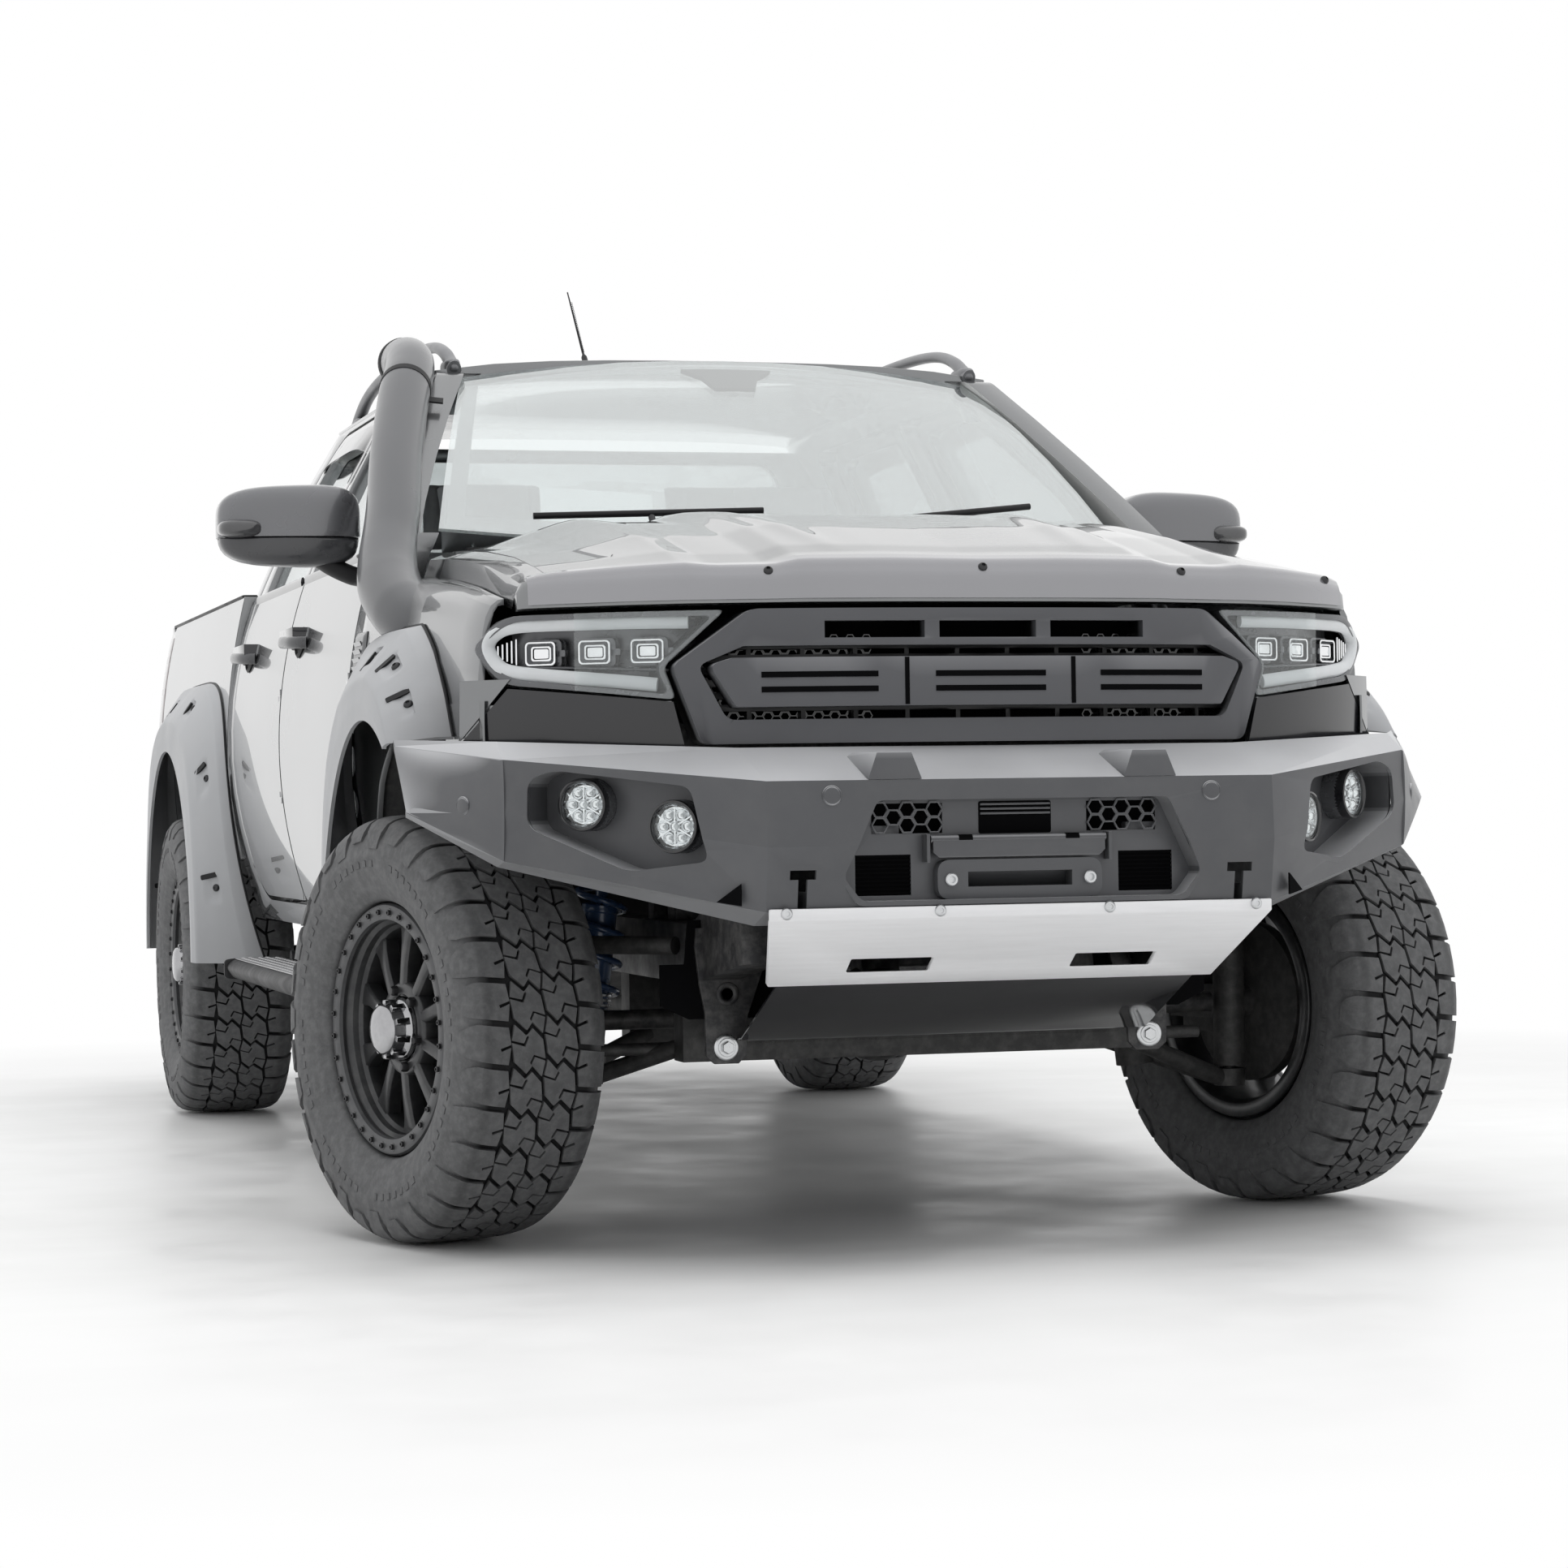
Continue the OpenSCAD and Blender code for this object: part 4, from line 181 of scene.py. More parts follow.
def finish(name, colour, rough=0.5, spread=0.08, rough_spread=0.08, scale=9.0, grain=900.0, bump=0.05,
           metallic=0.0, coat=0.0, coat_rough=0.04, dust=0.0, dust_colour=(0.42, 0.41, 0.39), stretch=None,
           specular=0.5, flakes=0.0, edge_wear_and_highlight=0.0, inside=None, deep=None, painted_highlight=0.0, proud=None, groove_shade=False):
    """A material whose colour and roughness spread with broad noise, with fine bumps and more if named."""
    mat, tree, out = blank_material(name)
    body = linked(tree, "ShaderNodeBsdfPrincipled", **{
        "Metallic": metallic, "Specular IOR Level": specular, "Coat Weight": coat,
        "Coat Roughness": coat_rough})
    broad = noise(tree, scale, 5.0, 0.6, stretch)
    fine = noise(tree, grain, 2.0, 0.5, stretch)
    tone = ramp(tree, broad, [(0.3, shade(colour, 1 - spread)), (0.7, shade(colour, 1 + spread))])
    if flakes:
        tone = tinted(tree, to_range(tree, fine, 0.0, flakes, 0.45, 0.75), tone, shade(colour, 1.9))
    if dust:
        patches = noise(tree, scale * 2.3, 8.0, 0.65)
        tone = tinted(tree, to_range(tree, patches, 0.0, dust, 0.42, 0.72), tone, dust_colour)
    # sharp edges lighter: partly rubbed paint, partly painted highlight along the edges
    if edge_wear_and_highlight:
        edge = linked(tree, "ShaderNodeNewGeometry").outputs["Pointiness"]
        tone = tinted(tree, to_range(tree, edge, 0.0, edge_wear_and_highlight, 0.52, 0.62), tone, shade(colour, 2.2))
    if painted_highlight:
        # painted light: faces that look up are paler as a painted highlight, and the lower bevels a little
        # paler as a painted reflection of the floor
        up = split(tree, coordinate(tree, "Normal"))["Z"]
        tone = tinted(tree, to_range(tree, up, 0.0, painted_highlight, 0.2, 0.6), tone, painted_highlight_grey)
        tone = tinted(tree, to_range(tree, up, painted_highlight * 0.45, 0.0, -0.5, -0.2), tone, painted_highlight_grey)
    if proud:
        # what stands out from the curve of the sides, such as the grips, takes another colour
        spot = split(tree, coordinate(tree, "Object"))
        rise = to_range(tree, spot["Z"], 0.0, 1.0, WAIST, 1.38)
        tuck = math_node(tree, "MULTIPLY", math_node(tree, "MULTIPLY", rise, rise), 0.080)
        out_by = math_node(tree, "ADD", math_node(tree, "ABSOLUTE", spot["X"]), tuck)
        tone = tinted(tree, to_range(tree, out_by, 0.0, 1.0, 0.9275, 0.9290), tone, proud)
    if groove_shade:
        # painted shade: black on the floors of the tread's grooves, in the wheel's frame
        place = coordinate(tree, "Object")
        low = to_range(tree, length(tree, stretched(tree, place, (1, 1, 0))), 1.0, 0.0, 0.3905, 0.3965)
        crown = to_range(tree, math_node(tree, "ABSOLUTE", split(tree, place)["Z"]), 1.0, 0.0, 0.098, 0.120)
        tone = tinted(tree, math_node(tree, "MULTIPLY", low, crown), tone, groove_shade_black)
    if inside:
        # faces turned toward the middle of the truck, and the roof's underside, take the lining's colour
        turned = linked(tree, "ShaderNodeVectorMath", {0: coordinate(tree, "Normal"),
                                                       1: coordinate(tree, "Object")},
                        operation="MULTIPLY")
        part = split(tree, turned.outputs["Vector"])
        walls = to_range(tree, part["X"], 1.0, 0.0, -0.45, -0.25)
        roof = to_range(tree, part["Z"], 1.0, 0.0, -1.4, -1.1)
        lined = math_node(tree, "MAXIMUM", walls, roof)
        tone = tinted(tree, lined, tone, inside)
        tree.links.new(to_range(tree, lined, metallic, 0.0, 0.0, 1.0), body.inputs["Metallic"])
    if deep:
        # painted shade: black on what lies behind the curved front of the nose
        spot = split(tree, coordinate(tree, "Object"))
        cube = math_node(tree, "POWER", math_node(tree, "ABSOLUTE", spot["X"]), 3.0)
        gap = math_node(tree, "SUBTRACT", spot["Y"], math_node(tree, "MULTIPLY", cube, 0.4717))
        tone = tinted(tree, to_range(tree, gap, 0.0, 1.0, *deep), tone, recess_shade_black)
    tree.links.new(tone, body.inputs["Base Color"])
    gloss = to_range(tree, broad, max(0.02, rough - rough_spread), rough + rough_spread)
    tree.links.new(gloss, body.inputs["Roughness"])
    dent = linked(tree, "ShaderNodeBump", {"Height": fine}, Strength=bump, Distance=0.001)
    tree.links.new(dent.outputs["Normal"], body.inputs["Normal"])
    tree.links.new(body.outputs["BSDF"], out.inputs["Surface"])
    return mat


def glass(name, tint, mirror):
    """See-through pane that mirrors more the flatter it is seen, with a faint streak in its gloss."""
    mat, tree, out = blank_material(name)
    clear = linked(tree, "ShaderNodeBsdfTransparent", Color=(*tint, 1))
    streak = to_range(tree, noise(tree, 3.0, 3.0), 0.0, 0.05)
    gloss = linked(tree, "ShaderNodeBsdfGlossy", {"Roughness": streak}, Color=(0.95, 0.97, 0.97, 1))
    steep = math_node(tree, "POWER", linked(tree, "ShaderNodeLayerWeight").outputs["Facing"], 4.0)
    mixed(tree, to_range(tree, steep, mirror, 0.95, 0.0, 1.0), clear, gloss, out)
    return mat


paint_look = dict(colour=(0.20, 0.205, 0.21), rough=0.26, spread=0.04, rough_spread=0.03, scale=1.2,
                  grain=2600,
                  bump=0.012, metallic=0.9, coat=1.0, coat_rough=0.012, flakes=0.3)
paint = finish("body_paint", **paint_look)
cab_paint = finish("cab_paint", inside=(0.60, 0.60, 0.59), proud=(0.03, 0.03, 0.033), **paint_look)
guard_grey = finish("bonnet_guard", (0.30, 0.30, 0.315), rough=0.2, spread=0.03, rough_spread=0.04, scale=2,
                    grain=2200, bump=0.01, metallic=0.6, coat=1.0, coat_rough=0.03)
flare_grey = finish("flare_grey", (0.33, 0.335, 0.345), rough=0.4, spread=0.05, scale=5, grain=1400,
                    bump=0.06,
                    dust=0.06)
# sharp edges lighter, partly rubbed paint and partly painted highlight; faces that look up paler as painted
# highlight, lower bevels paler as painted reflection of the floor
bar_grey = finish("bar_grey", (0.095, 0.097, 0.103), rough=0.38, spread=0.05, scale=4, grain=1500, bump=0.07,
                  metallic=0.25, dust=0.05, edge_wear_and_highlight=0.12, painted_highlight=0.75)
trim_grey = finish("trim_grey", (0.10, 0.102, 0.108), rough=0.42, spread=0.05, scale=6, grain=1600,
                   bump=0.04,
                   metallic=0.15)
black_plastic = finish("black_plastic", (0.012, 0.012, 0.013), rough=0.45, spread=0.12, scale=12, grain=1300,
                       bump=0.08, specular=0.25)
# near black of painted shade for openings, slots and gaps; also on the fairlead flap's pins
painted_shade_black = finish("painted_shade_black", (0.004, 0.004, 0.0045), rough=0.9, spread=0.2, scale=12, grain=1300,
                   specular=0.05)
gloss_black = finish("gloss_black", (0.012, 0.012, 0.014), rough=0.12, spread=0.1, scale=5, bump=0.01,
                     coat=0.6)
black_steel = finish("black_steel", (0.035, 0.035, 0.037), spread=0.15, scale=14, grain=700, bump=0.12,
                     metallic=0.4,
                     dust=0.22)
cast_grey = finish("cast_grey", (0.05, 0.05, 0.05), rough=0.6, spread=0.2, scale=18, grain=500, bump=0.25,
                   metallic=0.45, dust=0.12)
alu = finish("bright_plate", (0.94, 0.94, 0.95), rough=0.34, spread=0.03, rough_spread=0.06, scale=8,
             grain=500,
             bump=0.02, metallic=0.12, stretch=(1, 12, 12))
chrome = finish("lamp_chrome", (0.86, 0.87, 0.88), rough=0.07, spread=0.02, rough_spread=0.03, scale=20,
                grain=300,
                bump=0.01, metallic=1.0)
zinc = finish("zinc_bolt", (0.62, 0.63, 0.64), rough=0.3, scale=60, metallic=0.95)
dark_bolt = finish("dark_bolt", (0.05, 0.05, 0.052), rough=0.32, spread=0.1, scale=60, metallic=0.7)
rim_black = finish("rim_black", (0.035, 0.036, 0.038), rough=0.36, scale=10, grain=1200, bump=0.04,
                   metallic=0.5,
                   coat=0.3, coat_rough=0.2, dust=0.08)
ring_grey = finish("ring_grey", (0.085, 0.086, 0.089), rough=0.42, spread=0.14, scale=22, bump=0.1,
                   metallic=0.5,
                   dust=0.12, dust_colour=(0.2, 0.2, 0.2))
cap_chrome = finish("cap_chrome", (0.42, 0.42, 0.43), rough=0.14, spread=0.1, rough_spread=0.06, scale=30,
                    grain=400,
                    bump=0.03, metallic=1.0)
# the floors of the tread's grooves are painted black as painted shade
rubber = finish("tyre_rubber", (0.105, 0.106, 0.108), rough=0.72, spread=0.18, scale=26, grain=700,
                bump=0.22,
                dust=0.4, dust_colour=(0.23, 0.23, 0.232), specular=0.35, groove_shade=True)
lamp_black = finish("lamp_black", (0.15, 0.153, 0.16), rough=0.25, spread=0.1, scale=20, bump=0.02,
                    metallic=0.5)
lamp_light = finish("lamp_light", (0.74, 0.76, 0.77), rough=0.2, spread=0.02, scale=40, grain=600, bump=0.02)
lamp_red = finish("lamp_red", (0.035, 0.004, 0.005), rough=0.12, spread=0.15, scale=30, grain=500, bump=0.03,
                  coat=1.0)
damper_blue = finish("damper_blue", (0.035, 0.075, 0.17), rough=0.3, scale=12, bump=0.03, coat=0.6)
seat_cloth = finish("seat_fabric", (0.46, 0.46, 0.47), rough=0.9, scale=30, grain=1600, bump=0.35,
                    specular=0.2)
dash_grey = finish("dash_plastic", (0.42, 0.425, 0.43), rough=0.62, spread=0.05, scale=8, grain=1200,
                   bump=0.12)
liner = finish("arch_liner", (0.03, 0.03, 0.031), rough=0.8, spread=0.2, scale=16, grain=500, bump=0.3,
               dust=0.35,
               dust_colour=(0.12, 0.115, 0.105))
snorkel_grey = finish("snorkel_grey", (0.085, 0.087, 0.092), rough=0.34, spread=0.04, scale=5, grain=1500,
                      bump=0.02,
                      metallic=0.2, coat=0.5, coat_rough=0.12)
mirror_grey = finish("mirror_grey", (0.15, 0.152, 0.16), rough=0.28, spread=0.03, scale=3, grain=2400,
                     bump=0.01,
                     metallic=0.5, coat=1.0, coat_rough=0.03, flakes=0.2)
smoke_lens = finish("smoke_lens", (0.06, 0.06, 0.063), rough=0.12, spread=0.1, scale=40, grain=500,
                    bump=0.04,
                    coat=1.0)
clear_glass = glass("clear_glass", (0.93, 0.96, 0.96), 0.46)
lens_glass = glass("lens_glass", (0.97, 0.98, 0.98), 0.05)
facia_black = finish("facia_black", (0.016, 0.016, 0.019), rough=0.16, spread=0.1, scale=4, grain=2000,
                     bump=0.01,
                     coat=0.4)
rail_grey = finish("rail_grey", (0.19, 0.192, 0.2), rough=0.36, spread=0.05, scale=8, grain=1400, bump=0.03,
                   metallic=0.6)
dark_handle = finish("dark_handle", (0.055, 0.056, 0.06), rough=0.3, scale=20, grain=1500, bump=0.03,
                     coat=0.5)
chrome_dark = finish("chrome_dark", (0.30, 0.305, 0.31), rough=0.16, spread=0.06, scale=30, grain=700,
                     bump=0.02,
                     metallic=1.0)
tread_plate = finish("tread_plate", (0.55, 0.55, 0.56), rough=0.38, scale=16, grain=600, metallic=0.85,
                     dust=0.12)
frit = finish("frit", (0.20, 0.205, 0.21), spread=0.06, scale=30, grain=1500, bump=0.02)
# grille: lighter edges and tops as painted highlights, black behind the nose's front as painted shade
grille_grey = finish("grille_grey", (0.052, 0.053, 0.057), rough=0.42, spread=0.05, scale=6, grain=1600,
                     bump=0.04,
                     metallic=0.2, edge_wear_and_highlight=0.8, deep=(-2.497, -2.484), painted_highlight=0.35)


# Finishing of the solids' own meshes: points welded, flat pieces joined, edges rounded, curves shaded smooth
def geometry_group(name, *numbers):
    """A geometry group with inputs for numbers: its tree and its two end nodes."""
    group = bpy.data.node_groups.new(name, "GeometryNodeTree")
    group.interface.new_socket("Geometry", in_out="INPUT", socket_type="NodeSocketGeometry")
    for number in numbers:
        group.interface.new_socket(number, in_out="INPUT", socket_type="NodeSocketFloat")
    group.interface.new_socket("Geometry", in_out="OUTPUT", socket_type="NodeSocketGeometry")
    return group, linked(group, "NodeGroupInput"), linked(group, "NodeGroupOutput")


def weld_group():
    """Drops the stored normals and joins points that fall together."""
    group, start, end = geometry_group("weld_points")
    drop = linked(group, "GeometryNodeRemoveAttribute", {"Geometry": start.outputs[0]}, Name="custom_normal")
    weld = linked(group, "GeometryNodeMergeByDistance", {"Geometry": drop.outputs["Geometry"]},
                  Distance=0.00005)
    group.links.new(weld.outputs["Geometry"], end.inputs[0])
    return group


def angle_group():
    """Shades smooth, apart from edges that are sharper than an angle."""
    group, start, end = geometry_group("shade_by_angle", "Angle")
    faces = linked(group, "GeometryNodeSetShadeSmooth", {"Geometry": start.outputs["Geometry"]})
    angle = linked(group, "GeometryNodeInputMeshEdgeAngle")
    less = linked(group, "FunctionNodeCompare", {"A": angle.outputs["Unsigned Angle"],
                                                 "B": start.outputs["Angle"]},
                  operation="LESS_EQUAL")
    edges = linked(group, "GeometryNodeSetShadeSmooth",
                   {"Geometry": faces.outputs["Geometry"], "Shade Smooth": less.outputs["Result"]},
                   domain="EDGE")
    group.links.new(edges.outputs["Geometry"], end.inputs[0])
    return group


weld_nodes = weld_group()
angle_nodes = angle_group()


def by_angle(obj, degrees):
    """Shades an object smooth below an angle."""
    mod = obj.modifiers.new("shade", "NODES")
    mod.node_group = angle_nodes
    key = [i.identifier for i in angle_nodes.interface.items_tree if i.name == "Angle"][0]
    mod[key] = math.radians(degrees)


def soften(obj, width, degrees, segments=2):
    """Rounds edges by width and shades smooth what is blunter than the rounded edges."""
    if width:
        mod = obj.modifiers.new("edges", "BEVEL")
        mod.width, mod.segments, mod.limit_method = width, segments, "ANGLE"
        mod.angle_limit = math.radians(degrees)
    by_angle(obj, degrees + 6)


def dress(name, material, width, degrees, flatten):
    """A node of the solids gets its finish."""
    obj = nodes[name]
    obj.data.materials.clear()
    obj.data.materials.append(material)
    mod = obj.modifiers.new("weld", "NODES")
    mod.node_group = weld_nodes
    if flatten:
        mod = obj.modifiers.new("flat", "DECIMATE")
        mod.decimate_type, mod.angle_limit = "DISSOLVE", math.radians(0.6)
    soften(obj, width, degrees)


# Mesh building
def axes_at(origin, z, x=None):
    """Matrix of a frame at origin with the given z axis, and x as near as it can be."""
    z = Vector(z).normalized()
    x = Vector(x) if x else (Vector((0, 0, 1)) if abs(z.z) < 0.9 else Vector((1, 0, 0)))
    x = (x - z * x.dot(z)).normalized()
    y = z.cross(x)
    return Matrix.Translation(Vector(origin)) @ Matrix((x, y, z)).transposed().to_4x4()


def spaced(n, low=0.0, span=1.0):
    """n + 1 evenly spaced numbers."""
    return [low + span * k / n for k in range(n + 1)]


def around(n, shift=0.0):
    """n evenly spaced angles of a full turn."""
    return [2 * math.pi * (k + shift) / n for k in range(n)]


def tube_faces(rows, n, caps=True):
    """Faces between rings of n points, with the ends closed by caps."""
    faces = [[i * n + k, i * n + (k + 1) % n, (i + 1) * n + (k + 1) % n, (i + 1) * n + k]
             for i in range(rows - 1) for k in range(n)]
    return faces + [list(range(n))[::-1], list(range((rows - 1) * n, rows * n))] if caps else faces


def sheet_faces(nu, nv, sides=True):
    """Faces of two grids of nu by nv points, one behind the other, with their sides closed."""
    k = nu * nv
    faces, rim = [], []
    for i in range(nu - 1):
        for j in range(nv - 1):
            a, b = i * nv + j, (i + 1) * nv + j
            faces += [[a, b, b + 1, a + 1], [a + k, a + 1 + k, b + 1 + k, b + k]]
    if sides:
        for i in range(nu - 1):
            rim += [(i * nv, (i + 1) * nv), ((i + 1) * nv + nv - 1, i * nv + nv - 1)]
        for j in range(nv - 1):
            rim += [(j + 1, j), ((nu - 1) * nv + j, (nu - 1) * nv + j + 1)]
    return faces + [[a, a + k, b + k, b] for a, b in rim]


class Build:
    """Points and faces of one piece, put together from swept, turned and cut forms."""

    def __init__(self):
        self.v, self.f = [], []

    def put(self, verts, faces, m=None):
        k = len(self.v)
        self.v += [tuple(m @ Vector(p)) if m is not None else tuple(p) for p in verts]
        self.f += [[k + i for i in f] for f in faces]
        return self

    def add(self, part, m=None):
        return self.put(part.v, part.f, m)

    def pair(self, part):
        """A part of the left side and its mirror image."""
        return self.add(part).add(part, MIRROR)

    def lathe(self, profile, m, segs=48, closed=False):
        """profile of (radius, along z) turned round m's z axis; ends on the axis are closed by a fan."""
        verts, faces, n = [], [], len(profile)
        for a in around(segs):
            verts += [(r * math.cos(a), r * math.sin(a), h) for r, h in profile]
        for k in range(segs):
            q = (k + 1) % segs
            for i in range(n if closed else n - 1):
                j = (i + 1) % n
                quad = [k * n + i, q * n + i, q * n + j, k * n + j]
                if profile[i][0] < 1e-7:
                    quad = [k * n + i, q * n + j, k * n + j]
                elif profile[j][0] < 1e-7:
                    quad = [k * n + i, q * n + i, k * n + j]
                faces.append(quad)
        return self.put(verts, faces, m)

    def prism(self, outline, z0, z1, m=None, inset=0.0):
        """A flat outline (counter-clockwise) stretched along z, with its far face drawn in by inset."""
        far = outline
        if inset:
            pts = np.array(outline)
            arms = pts - np.mean(pts, axis=0)
            far = [tuple(p - arm + arm * (1 - inset / max(1e-6, np.linalg.norm(arm)))) for p,
                   arm in zip(pts, arms)]
        verts = [(x, y, z0) for x, y in outline] + [(x, y, z1) for x, y in far]
        return self.put(verts, tube_faces(2, len(outline)), m)

    def box(self, lo, hi):
        (x0, y0, z0), (x1, y1, z1) = lo, hi
        return self.prism([(x0, y0), (x1, y0), (x1, y1), (x0, y1)], z0, z1)

    def tube(self, path, radius, segs=12):
        """A round bar along a path."""
        path = [Vector(p) for p in path]
        n = len(path)
        verts, x = [], None
        for i, p in enumerate(path):
            d = (path[min(i + 1, n - 1)] - path[max(i - 1, 0)]).normalized()
            if x is None:
                x = d.orthogonal().normalized()
            x = (x - d * x.dot(d)).normalized()
            y = d.cross(x)
            verts += [p + (x * math.cos(t) + y * math.sin(t)) * radius for t in around(segs)]
        return self.put(verts, tube_faces(n, segs))

    def bolt(self, origin, out, r, h, kind="button"):
        """Head of a screw standing on a face: button, hex or cap with its socket."""
        m = axes_at(origin, out)
        if kind == "hex":
            self.lathe([(0, 0.0), (r * 1.35, 0), (r * 1.35, h * 0.25), (0, h * 0.25)], m, 24)
            return self.prism([(r * math.cos(a), r * math.sin(a)) for a in around(6)], h * 0.2, h, m,
                              r * 0.08)
        if kind == "cap":
            return self.lathe([(r, -h * 0.3), (r, h * 0.8), (r * 0.85, h), (r * 0.55, h),
                               (r * 0.5, h * 0.35),
                               (0, h * 0.35)], m, 20)
        return self.lathe([(r, -h * 0.3), (r, h * 0.15), (r * 0.86, h * 0.6), (r * 0.6, h * 0.92),
                           (r * 0.42, h),
                           (r * 0.38, h * 0.55), (0, h * 0.5)], m, 20)

    def mesh(self, name):
        data = bpy.data.meshes.new(name)
        data.from_pydata(self.v, [], self.f)
        data.validate()
        bm = bmesh.new()
        bm.from_mesh(data)
        bmesh.ops.remove_doubles(bm, verts=bm.verts, dist=1e-6)
        bmesh.ops.recalc_face_normals(bm, faces=bm.faces)
        bm.to_mesh(data)
        bm.free()
        return data


def builds(n):
    return [Build() for _ in range(n)]


def piece(name, build, body, material, width=0.0, degrees=32, stands_for=(), matrix=None, segments=2):
    """A shown piece that rides on a body and may stand for nodes of the solids."""
    data = build.mesh(name) if isinstance(build, Build) else build
    if not data.materials:
        data.materials.append(material)
    obj = bpy.data.objects.new(name, data)
    scene.collection.objects.link(obj)
    if matrix is not None:
        obj.matrix_world = matrix
    soften(obj, width, degrees, segments)
    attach(obj, body)
    if stands_for:
        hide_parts(*stands_for)
    return obj


# Wheels: z of the wheel frame points outward
steer = math.radians(17)
wheel_places = {
    "front_right": ((-0.8624, -1.8374, TYRE_R), (-math.cos(steer), -math.sin(steer), 0)),
    "front_left": ((0.8624, -1.7626, TYRE_R), (math.cos(steer), math.sin(steer), 0)),
    "rear_right": ((-0.868, REAR_AXLE, TYRE_R), (-1, 0, 0)),
    "rear_left": ((0.868, REAR_AXLE, TYRE_R), (1, 0, 0)),
}
tyre_line = np.array([
    (0.0, 0.4), (0.03, 0.3998), (0.06, 0.3992), (0.09, 0.3975), (0.107, 0.3950), (0.119, 0.3908),
    (0.1285, 0.3845),
    (0.1355, 0.3745), (0.1405, 0.3615), (0.1438, 0.345), (0.1452, 0.326), (0.1445, 0.306), (0.1405, 0.284),
    (0.1335, 0.2655), (0.1265, 0.2525), (0.1215, 0.2445), (0.113, 0.2385), (0.0935, 0.2375)])
tyre_arc = np.concatenate([[0], np.cumsum(np.hypot(*np.diff(tyre_line, axis=0).T))])


def along_line(s, height):
    """Point (lateral, radius) at arc length s from the crown of the tyre's line, raised by height."""
    def line(q):
        return [np.interp(q, tyre_arc, column) for column in tyre_line.T]
    q, reach = np.abs(s), 0.004
    x, r = line(q)
    (xa, ra), (xb, rb) = line(np.maximum(q - reach, 0)), line(q + reach)
    dx, dr = xb - xa, rb - ra
    size = np.hypot(dx, dr) + 1e-12
    return np.sign(s) * (x + height * (-dr / size)), r + height * (dx / size)


def tread_blocks(pitch):
    """Outlines of two pitches of blocks as (along, across), flat."""
    gap, w = 0.0056, 0.0040
    inner, outer = 0.0055, 0.062
    zig = [(0.0, 0.0), (0.26, 0.36), (0.08, 0.56), (0.36, 1.0)]

    def turned(outline):
        return [(-u, -v) for u, v in outline]

    def strip(shift):
        """A block beside the crown, with a hooked slot from either end."""
        lower = [((u + shift) * pitch + gap, v) for u, v in zig]
        upper = [((u + 1 + shift) * pitch - gap, v) for u, v in zig]
        far = lower[-1][0] * 0.45 + upper[-1][0] * 0.55
        near = upper[0][0] * 0.45 + lower[0][0] * 0.55
        bend = 0.10 * pitch
        back = 0.08 * pitch
        pts = lower + [(far - w / 2, 1.1), (far - bend - w / 2, 0.63), (far + bend - w / 3, 0.50),
                       (far + bend + w, 0.55), (far - bend + w, 0.675), (far + w / 2, 1.1)]
        pts += upper[::-1] + [(near + w / 2, -0.1), (near + bend + w / 2, 0.32), (near - back + w / 2, 0.45),
                              (near - back - w / 2, 0.40), (near + bend - w / 2, 0.27), (near - w / 2, -0.1)]
        return [(u, inner + (outer - inner) * v) for u, v in pts]

    def shoulder(k, end):
        """A block that runs over the tyre's edge, with a notch in its inner side."""
        u0, u1 = (k + 0.30) * pitch + gap, (k + 1.30) * pitch - gap
        mid, notch, slant = (u0 + u1) / 2, 0.0026, 0.10 * pitch
        return [(u0, 0.0735), (mid - notch, 0.0690), (mid - 0.12 * pitch, 0.088),
                (mid - 0.05 * pitch, 0.090),
                (mid + notch, 0.0690), (u1, 0.0735), (u1 + slant * 0.5, 0.105), (u1 + slant, 0.132),
                (u1 + slant - 0.004, 0.150), (u1 + slant - 0.016, end), (u0 + slant + 0.012, end),
                (u0 + slant + 0.003, 0.150), (u0 + slant, 0.132), (u0 + slant * 0.5, 0.105)]

    long_end, short_end = 0.182, 0.166
    made = []
    for k in range(2):
        made += [strip(k), turned(strip(k + 0.47)), shoulder(k, long_end if k else short_end),
                 turned(shoulder(k, short_end if k else long_end))]
    return made


